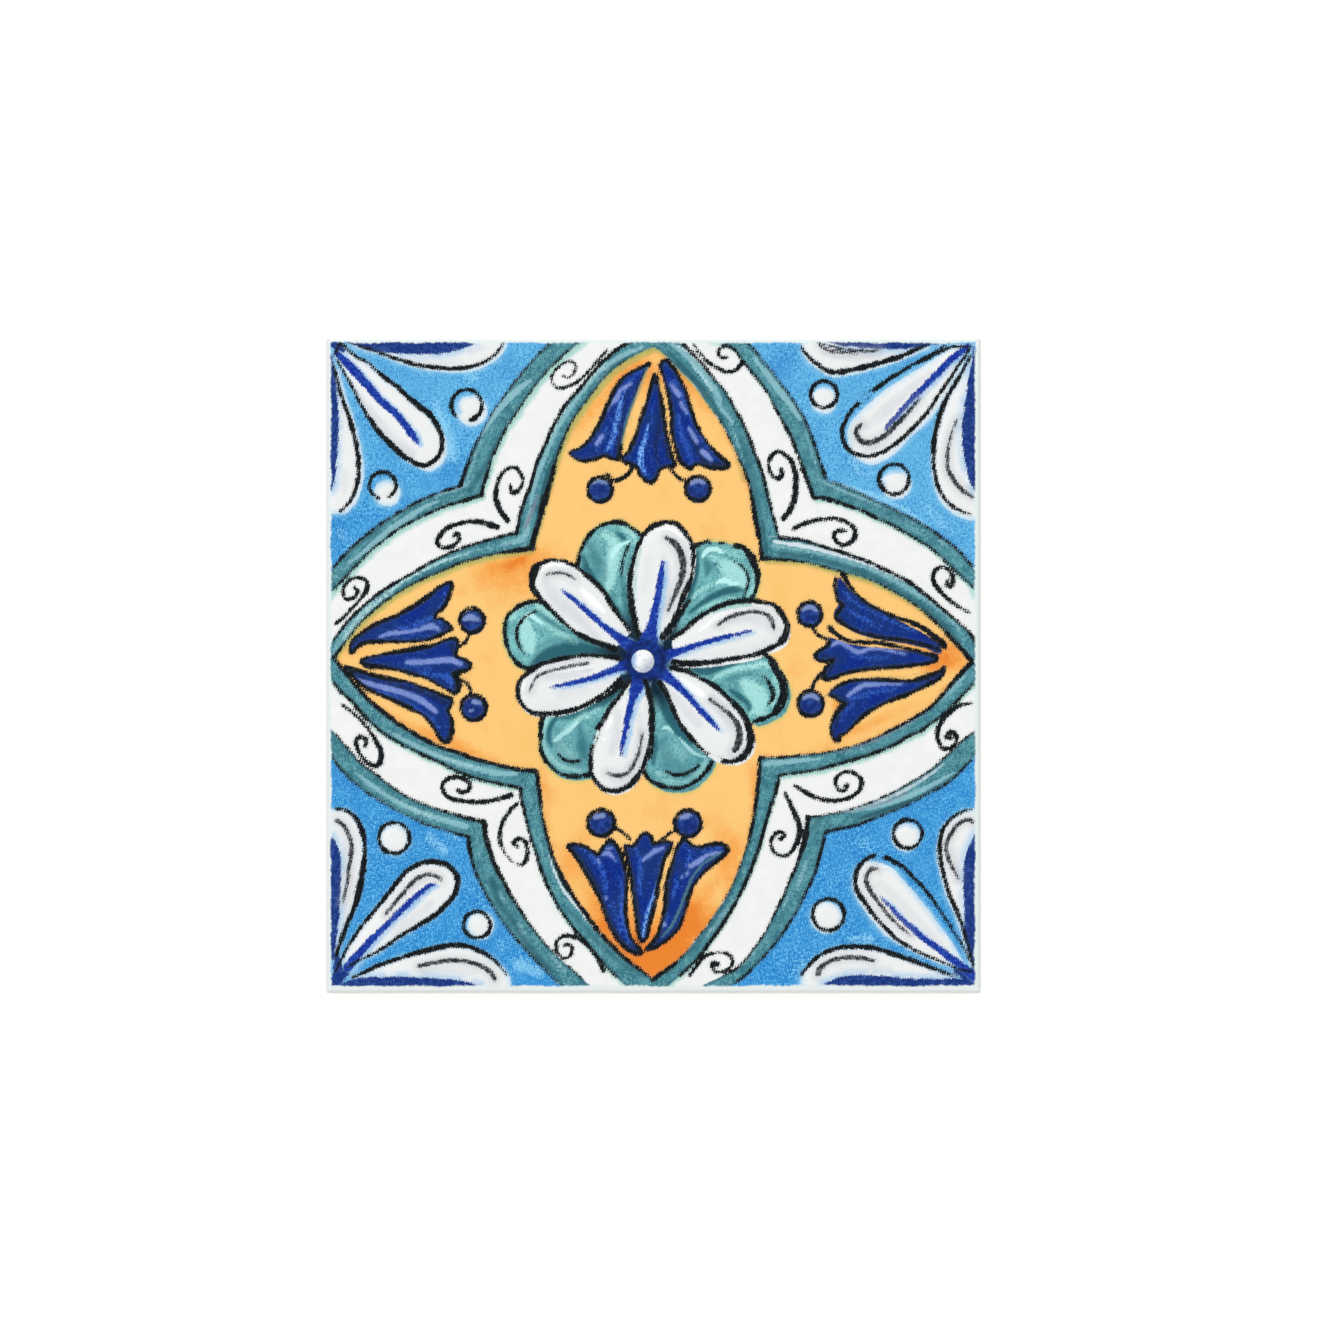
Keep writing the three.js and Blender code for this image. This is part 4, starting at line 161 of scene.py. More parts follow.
# blue brush strokes: points and widths
BLUE = [
    ([(-1.52, 7.27), (-0.91, 10.3), (-0.15, 14.24), (0.7, 17.97), (1.61, 22.42), (2.28, 27.27), (2.74, 31.82)], [5.78, 3.8, 2.43, 2.13, 1.98, 1.82, 0.91]),
    ([(2.59, 2.42), (6.54, 4.09), (12.33, 6.06), (18.11, 7.88), (23.59, 9.24), (29.68, 10.76)], [3.95, 2.43, 1.67, 1.52, 1.28, 0.55]),
    ([(1.98, -1.82), (4.35, -3.58), (9.22, -7.88), (14.09, -13.27), (17.2, -16.52), (19.79, -19.39)], [4.26, 3.04, 1.98, 1.76, 1.52, 0.76]),
    ([(-4.11, -3.03), (-4.84, -5.73), (-6.48, -10.03), (-7.61, -14.55), (-8.52, -19.39), (-9.44, -23.33), (-9.8, -26.97)], [5.17, 4.1, 2.43, 1.98, 1.67, 1.4, 0.61]),
    ([(-5.94, 1.21), (-8.65, 0.21), (-12.97, -1.42), (-17.2, -3.03), (-21.64, -4.42), (-26.64, -5.61), (-31.51, -6.36)], [4.26, 2.89, 1.98, 1.64, 1.52, 1.22, 0.49]),
    ([(-28.01, 23.18), (-24.2, 20.15), (-20.4, 16.79), (-16.44, 13.18), (-12.94, 10.42), (-8.65, 7.21), (-5.33, 4.85)], [0.61, 1.28, 1.52, 1.64, 1.98, 3.19, 4.56]),
    ([(-96.83, 95.45), (-93.82, 92.67), (-90.84, 89.48), (-87.43, 85.88), (-83.17, 80.97), (-78.87, 77.15), (-75.89, 73.76), (-73.33, 70.36), (-71.84, 67.82)], [1.52, 2.43, 2.74, 2.43, 2.28, 2.13, 2.28, 2.13, 1.22]),
    ([(95.31, 97.03), (90.96, 93.55), (86.58, 89.21), (82.65, 85.3), (78.72, 81.39), (75.22, 77.45), (71.72, 73.55), (70.41, 71.82)], [1.82, 2.13, 1.98, 1.82, 1.82, 1.52, 1.22, 0.61]),
    ([(-93.12, -91.58), (-89.86, -87.85), (-86.15, -83.67), (-81.95, -79.52), (-78.23, -75.79), (-74.49, -72.09), (-71.23, -69.3), (-68.43, -66.97), (-66.82, -66.52)], [2.74, 2.43, 2.13, 1.82, 1.82, 1.82, 1.52, 1.22, 0.91]),
    ([(69.1, -70.45), (71.9, -73), (75.16, -76.73), (78.9, -79.97), (82.16, -82.76), (85.88, -85.55), (89.62, -88.33), (93.33, -91.09), (97.53, -94.36)], [0.61, 1.22, 1.52, 1.82, 1.82, 1.82, 2.13, 2.43, 3.04]),
]
# grey brush strokes in the white petals
SHADE = [
    ([(51.29, 98.18), (55.25, 96.97), (59.82, 96.06), (65.3, 95.76), (68.95, 96.36)], [0.46, 0.91, 0.91, 0.91, 0.46]),
    ([(52.51, 96.67), (56.77, 95.45), (61.64, 94.85)], [0.3, 0.61, 0.3]),
    ([(3.96, 38.91), (6.21, 37.52), (8.16, 34.73), (9.01, 31.36), (8.74, 27.42), (7.31, 23.52), (5.91, 20.15), (4.51, 16.79)], [1.22, 1.82, 2.13, 2.13, 1.82, 1.52, 1.22, 0.76]),
    ([(19.7, 12.58), (22.53, 14.55), (26.45, 15.94), (30.41, 16.52), (33.79, 15.94), (36.04, 13.97), (36.59, 11.45)], [0.91, 1.22, 1.22, 1.06, 1.22, 1.22, 0.91]),
    ([(17.17, -10.12), (20.82, -12.91), (23.65, -15.15), (25.63, -17.97), (26.18, -21.33), (25.63, -24.12), (24.51, -25.82)], [0.91, 1.06, 1.37, 1.82, 2.13, 2.13, 1.52]),
    ([(-14.06, -32.55), (-11.26, -33.36), (-7.88, -32.55), (-5.63, -29.18), (-4.23, -25.24), (-3.38, -20.48)], [0.91, 1.22, 1.22, 0.91, 0.91, 0.61]),
    ([(-20, 0.82), (-24.2, 0.24), (-28.71, -0.88), (-33.21, -2), (-36.04, -3.94), (-37.72, -7.61)], [0.91, 0.91, 0.91, 0.91, 0.76, 0.61]),
    ([(-32.66, 27.7), (-30.41, 28.27), (-27.58, 28.27), (-25.33, 27.42), (-23.93, 26.3)], [0.61, 0.91, 0.91, 0.91, 0.61]),
    ([(63.23, 73.55), (61.67, 71.39), (62.56, 69.21), (64.75, 67.91), (67.79, 68.55), (70.87, 70.52), (73.91, 73.55), (76.53, 76.15), (78.72, 78.76), (80.91, 81.39)], [1.22, 1.52, 1.67, 1.67, 1.67, 1.52, 1.37, 1.22, 1.06, 0.61]),
    ([(50.32, 98.33), (51.63, 96.82), (54.25, 95.73), (57.32, 95.52), (60.37, 95.73), (63.87, 96.39)], [0.91, 0.91, 0.91, 0.91, 0.91, 0.61]),
    ([(92.27, 74.85), (90.96, 71.39), (89.86, 67.45), (89.44, 63.55), (89.65, 60.06), (91.39, 56.61), (94, 53.55), (97.08, 51.36)], [0.61, 0.76, 0.91, 1.06, 1.22, 1.37, 1.22, 0.91]),
    ([(-81.49, -75.58), (-79.15, -72.55), (-76.35, -69.3), (-73.58, -66.06), (-71.23, -64.21), (-68.43, -63.52), (-65.63, -64.21), (-64.72, -65.36)], [0.91, 1.06, 1.22, 1.22, 1.22, 1.22, 1.22, 0.91]),
    ([(-71.23, -91.33), (-67.03, -90.42), (-62.86, -89.73), (-58.66, -89.73), (-54.92, -90.42), (-51.66, -91.79), (-49.35, -93.42), (-48.4, -95.27)], [1.22, 1.22, 1.22, 1.22, 1.22, 1.37, 1.52, 1.22]),
    ([(-96.41, -47.03), (-94.06, -48.91), (-92.66, -51.67), (-91.96, -54.91), (-92.21, -58.64), (-92.91, -62.82), (-93.36, -66.97), (-94.52, -71.85)], [1.22, 1.22, 1.22, 1.22, 1.22, 1.06, 0.91, 0.61]),
    ([(68.19, -61.88), (66.3, -61.88), (64.9, -63.73), (64.9, -66.06), (66.3, -68.85), (68.65, -72.09), (71.45, -75.79), (74.7, -79.03), (78.2, -81.82)], [0.91, 1.37, 1.52, 1.52, 1.37, 1.22, 1.06, 0.91, 0.61]),
    ([(50.02, -93.88), (50.93, -91.58), (54.19, -89.73), (57.93, -88.79), (62.59, -88.79), (67, -89.73)], [1.52, 1.52, 1.22, 1.22, 1.22, 0.91]),
    ([(97.08, -47.52), (95.43, -46.82), (92.39, -48.42), (90.53, -51.21), (89.13, -54.45), (89.62, -58.18), (91.02, -61.42), (92.88, -64.91)], [1.22, 1.22, 1.22, 1.37, 1.37, 1.22, 1.06, 0.76]),
]
# dark strokes in the teal petals
VEIN = [
    ([(-7.31, 36.97), (-8.43, 34.73), (-9.56, 31.36), (-9.86, 27.42)], [0.76, 0.91, 0.91, 0.61]),
    ([(24.51, 31.91), (27.03, 30.24), (28.71, 27.42), (28.71, 24.64), (27.58, 21.55)], [0.61, 0.91, 1.06, 1.06, 0.61]),
    ([(33.21, -2.85), (35.19, -5.09), (36.32, -7.88), (36.04, -10.12), (34.92, -11.82)], [0.76, 1.22, 1.52, 1.37, 0.91]),
    ([(3.65, -31.97), (6.21, -33.09), (9.56, -32.82), (12.39, -31.42), (13.79, -30.3)], [0.91, 1.22, 1.22, 1.06, 0.76]),
    ([(-28.98, -26.94), (-27.03, -28.61), (-24.2, -29.18), (-21.95, -28.61)], [0.76, 1.06, 1.06, 0.76]),
    ([(-35.74, 16.79), (-38.84, 15.09), (-41.1, 12.3), (-41.67, 8.94), (-40.55, 5.58), (-39.42, 3.88)], [0.76, 0.91, 1.06, 1.06, 0.91, 0.61]),
]
# stems between tulips and dots
STEM = [
    ([(-6.3, 60.91), (-7.61, 58.55), (-10.23, 56.73), (-12.33, 56.73), (-14.43, 58.55)], [1.37, 1.37, 1.37, 1.37, 1.22]),
    ([(4.96, 60.12), (6.54, 58.3), (8.65, 56.73), (10.2, 56.21)], [1.22, 1.22, 1.22, 1.06]),
    ([(-59.7, 5.45), (-57.47, 7.18), (-56.23, 9.15), (-55.98, 10.36)], [1.22, 1.22, 1.22, 1.06]),
    ([(-59.45, -3.91), (-57.47, -4.67), (-55.98, -6.64), (-55.25, -8.85)], [1.22, 1.22, 1.22, 1.06]),
    ([(48.43, 11.61), (49.92, 9.64), (52.15, 8.39), (53.64, 7.18)], [1.06, 1.22, 1.22, 1.22]),
    ([(48.19, -7.12), (49.16, -4.67), (51.17, -2.18)], [1.22, 1.22, 1.22]),
    ([(-11.81, -49.3), (-9.19, -50.88), (-7.09, -52.7)], [1.22, 1.22, 1.06]),
    ([(5.48, -50.61), (2.34, -52.97)], [1.22, 1.06]),
]
# painted highlights on the tulips and the navy dots
LIGHT = [
    ([(-6.85, 86.06), (-9.59, 84.24), (-10.5, 83.33), (-11.42, 81.21), (-12.94, 80), (-14.16, 77.88)], [0.76, 1.06, 0.91, 1.52, 1.06, 0.61]),
    ([(5.33, 85.76), (6.54, 84.24), (7.76, 82.42)], [0.91, 1.22, 1.37]),
    ([(8.37, 80), (9.28, 78.48), (10.2, 76.97)], [1.06, 1.06, 0.91]),
    ([(10.81, 72.42), (12.02, 70.3), (13.24, 68.18)], [0.76, 0.91, 1.22]),
    ([(14.76, 65.45), (15.98, 64.24), (17.5, 62.73)], [1.37, 1.67, 0.91]),
    ([(-15.68, 70), (-17.2, 67.58)], [1.22, 1.22]),
    ([(-83.56, 8.79), (-80.21, 9.85), (-75.65, 10.3), (-71.69, 10.91), (-68.04, 12.12), (-66.82, 11.97), (-65.3, 10.91)], [0.61, 1.22, 1.06, 1.06, 1.67, 1.52, 0.61]),
    ([(-75.04, 1.21), (-71.08, 1.21), (-66.51, 1.52), (-61.95, 1.82), (-58.6, 0.61)], [1.22, 1.52, 1.52, 1.82, 1.22]),
    ([(-89.95, -4.24), (-86.3, -5.45), (-81.74, -6.67), (-77.17, -7.88), (-72.91, -9.39), (-69.56, -11.21), (-66.21, -13.94)], [0.91, 1.22, 1.52, 1.52, 1.67, 1.67, 1.22]),
    ([(54.34, 6.36), (56.77, 7.27), (59.82, 5.45), (62.86, 4.24), (67.43, 5.45), (76.56, 3.64)], [0.91, 1.22, 1.22, 1.22, 0.91, 0.61]),
    ([(59.21, -9.09), (61.95, -6.97), (64.69, -5.76), (69.56, -5.45), (75.65, -5.45)], [0.76, 1.22, 1.37, 1.06, 0.61]),
    ([(-15.37, -57.27), (-13.85, -56.97), (-12.63, -57.88), (-11.42, -59.39)], [0.91, 1.16, 0.97, 0.46]),
    ([(-14.46, -55.76), (-12.94, -55.45)], [0.61, 0.61]),
    ([(-16.89, -59.09), (-16.59, -59.7)], [0.91, 0.91]),
    ([(-14.46, -70.45), (-14.46, -70.76)], [0.91, 0.91]),
    ([(-3.2, -59.09), (-1.67, -57.88), (0.46, -56.36), (2.89, -55.45)], [0.61, 0.91, 1.28, 1.09]),
    ([(11.11, -60.91), (12.94, -60), (14.76, -58.79), (16.59, -57.58), (20.24, -56.67)], [1.28, 1.46, 1.28, 0.97, 0.61]),
    ([(10.2, -63.18), (10.2, -63.48)], [0.91, 0.91]),
    ([(8.68, -64.12), (8.68, -64.36)], [0.79, 0.79]),
    ([(3.2, -78.64), (3.2, -78.94)], [1.37, 1.37]),
    ([(-19.03, 55.76), (-16.89, 56.97), (-14.46, 55.76)], [1.37, 1.98, 1.22]),
    ([(11.42, 55.76), (13.24, 56.97), (15.37, 55.76)], [1.37, 1.98, 1.22]),
    ([(-57.69, 14.24), (-55.56, 14.85), (-53.42, 13.94)], [1.22, 1.82, 1.22]),
    ([(-54.64, -10.91), (-52.82, -11.21)], [1.52, 1.22]),
    ([(-55.86, -13.64), (-54.95, -13.33)], [0.61, 0.61]),
    ([(45.51, 17.27), (47.64, 18.18), (49.47, 16.97)], [1.06, 1.67, 1.06]),
    ([(45.51, -9.7), (47.95, -8.79), (50.08, -10)], [1.06, 1.67, 1.06]),
    ([(-17.81, -46.06), (-15.37, -45.45)], [1.22, 1.52]),
    ([(8.37, -46.06), (10.81, -45.45)], [1.22, 1.52]),
]
# outlines that stand off their petals
EXTRA_INK = [
    ([(36.99, 17.88), (39.73, 14.85), (40.64, 10.91), (38.2, 7.27)], [1.22, 1.98, 1.98, 1.22]),
    ([(35.46, 0.91), (38.81, -4.24), (39.42, -8.79), (36.99, -13.64)], [1.22, 1.98, 2.28, 1.37]),
    ([(24.2, -10.61), (27.55, -14.85), (29.38, -20.91), (28.46, -25.76), (24.81, -28.79)], [1.22, 1.82, 2.28, 1.82, 1.22]),
    ([(-36.99, 23.33), (-36.83, 26.36), (-35.16, 30)], [1.52, 1.98, 1.52]),
    ([(28.16, 34.55), (31.2, 29.09), (31.51, 24.85)], [1.22, 1.67, 1.37]),
    ([(-6.85, 23.03), (-6.24, 17.58), (-5.48, 12.73), (-4.72, 9.39)], [1.22, 1.52, 1.98, 1.82]),
    ([(11.11, 20), (7.76, 15.45), (4.72, 11.21), (2.89, 8.79)], [1.22, 1.67, 2.43, 2.28]),
    ([(20.85, 1.36), (14.16, 0.76), (8.07, 0.61)], [1.22, 1.67, 1.98]),
    ([(-1.37, -7.88), (-0.46, -13.33), (-0.3, -20.91), (-0.91, -27.88)], [1.52, 1.67, 1.52, 1.22]),
    ([(-17.2, -10.91), (-12.94, -8.18), (-9.59, -5.45)], [1.22, 1.52, 2.13]),
    ([(-19.94, 8.18), (-15.07, 6.21), (-11.42, 5.15)], [1.22, 1.52, 1.98]),
    ([(55.56, 26.67), (55.25, 23.64), (56.16, 20), (57.69, 18.48), (56.16, 16.36), (55.56, 14.55), (58.3, 12.42), (62.86, 10.3), (68.95, 8.79), (78.08, 7.58), (85.69, 5.45), (87.52, 4.24)], [1.22, 1.22, 1.22, 1.22, 1.37, 1.37, 1.22, 1.06, 1.06, 1.22, 1.22, 0.91]),
    ([(85.69, 3.03), (86.3, 1.82), (83.87, 0.76), (79.91, 0.3), (75.95, -0.21), (71.99, -0.45), (68.04, -0.73), (64.08, -1.21), (60.12, -1.94), (57.08, -2.7), (55.13, -3.64), (53.12, -4.15), (51.9, -3.42), (52.15, -1.21), (53.12, 0.3), (55.13, 2)], [1.22, 1.22, 1.22, 1.22, 1.22, 1.22, 1.22, 1.22, 1.22, 1.28, 1.28, 1.37, 1.37, 1.37, 1.22, 0.91]),
    ([(54.95, 2), (53.12, 1.52), (50.68, 1.52), (49.16, 2.73), (50.17, 4.45), (52.15, 5.7), (53.64, 6.97)], [0.91, 1.22, 1.37, 1.37, 1.37, 1.28, 1.22]),
    ([(88.77, 97.91), (86.15, 95.73), (82.22, 93.55), (78.3, 91.39), (74.37, 88.79), (70.87, 86.61), (66.48, 83.33)], [0.91, 1.06, 1.06, 1.06, 1.06, 0.97, 0.76]),
    ([(57.6, 28.12), (59.09, 25.39), (61.07, 22.7), (64.02, 19.97), (67, 18), (70.96, 16.03), (74.92, 14.58), (78.87, 13.09), (82.83, 11.12), (85.81, 8.64), (88.28, 6.67), (88.8, 5.7)], [1.82, 1.67, 1.22, 1.22, 1.22, 1.22, 1.37, 1.52, 1.82, 2.13, 2.13, 1.52]),
    ([(53.64, 11.61), (55.13, 10.12), (57.6, 8.39), (61.07, 7.42), (65.02, 7.18), (68.98, 6.94), (72.94, 6.18), (76.89, 5.21), (80.85, 4.45), (83.84, 3.48), (85.81, 2.97)], [1.82, 1.52, 1.37, 1.37, 1.37, 1.37, 1.37, 1.22, 1.22, 1.22, 1.52]),
]
# places where an outline breaks off
INK_GAP = [
    ([(-1.52, 90.3), (-2.89, 86.67), (-4.57, 82.42), (-6.85, 77.27), (-8.37, 71.52), (-9.13, 67.88)], [1.52, 1.98, 2.13, 2.13, 1.98, 1.22]),
    ([(18.11, 37.88), (19.03, 37.88)], [1.82, 1.82]),
    ([(22.98, 37.27), (23.59, 37.27)], [1.82, 1.82]),
    ([(11.11, 40.91), (11.72, 40)], [1.22, 1.22]),
    ([(-17.2, -20.3), (-17.2, -20.91)], [1.82, 1.82]),
    ([(-18.11, -22.73), (-18.11, -23.03)], [1.52, 1.52]),
    ([(17.81, -27.58), (19.63, -28.48)], [2.13, 2.13]),
    ([(67.43, -59.39), (69.56, -57.27)], [1.82, 1.82]),
    ([(66.21, 83.03), (63.17, 80.91)], [1.52, 1.52]),
]
# dark paint at the four corners
TIPS = [
    ([(-96.65, -96.67), (-93.61, -93.33), (-90.56, -90)], [2.74, 2.13, 1.22]),
    ([(-97.26, 97.88), (-94.52, 96.06)], [2.43, 1.52]),
    ([(-96.65, -88.18), (-96.04, -92.73), (-96.65, -96.67)], [1.82, 3.04, 3.65]),
    ([(96.04, 97.58), (97.26, 96.36)], [1.52, 1.82]),
    ([(91.78, -92.73), (95.13, -93.94), (97.56, -95.15)], [1.52, 2.74, 3.65]),
]
# navy leaves along the edges: edge, inner curve
LEAF = [
    ("t", [(-92.97, 98.64), (-84.44, 95.88), (-75.89, 95.03), (-67.37, 94.79), (-63.07, 95.24), (-58.81, 96.3), (-55.4, 97.58), (-53.46, 98.79)]),
    ("l", [(-97.87, 95.15), (-97.05, 89.09), (-96.41, 83.97), (-95.98, 78.85), (-95.77, 73.76), (-95.98, 67.82), (-96.41, 62.73), (-96.83, 57.58), (-97.87, 53.33)]),
    ("t", [(52.94, 98.94), (56.89, 97.48), (60.82, 97.24), (64.75, 96.82), (71.72, 96.39), (76.1, 96.39), (79.6, 96.82), (84.84, 97.91), (93.58, 98.64)]),
    ("r", [(97.41, 95.76), (95.98, 88.79), (95.31, 83.55), (94.46, 78.33), (93.91, 74), (93.79, 70.52), (94.22, 65.73), (94.89, 61.82), (95.53, 58.33), (96.41, 55.73), (97.87, 53.15)]),
    ("b", [(-95.43, -97.27), (-93.12, -95.76), (-88.95, -94.82), (-82.89, -94.58), (-75.89, -94.58), (-68.92, -94.82), (-62.86, -95.27), (-58.17, -95.76), (-52.51, -97.21)]),
    ("l", [(-97.87, -51.82), (-95.92, -54.91), (-95.22, -58.64), (-95.01, -62.82), (-95.22, -67.91), (-95.46, -73), (-95.92, -78.58), (-96.41, -83.21), (-97.41, -89.7)]),
    ("b", [(51.6, -96.97), (56.07, -94.82), (60.73, -94.12), (65.84, -94.12), (70.5, -94.36), (77.5, -95.06), (86.82, -95.27), (93.79, -95.27), (97.56, -96.36)]),
    ("r", [(97.87, -50.91), (96.13, -54.45), (94.98, -57.7), (94.37, -61.88), (94.28, -66.52), (94.49, -71.15), (94.73, -75.79), (94.49, -80.42), (95.68, -85.55), (97.56, -91.52)]),
]
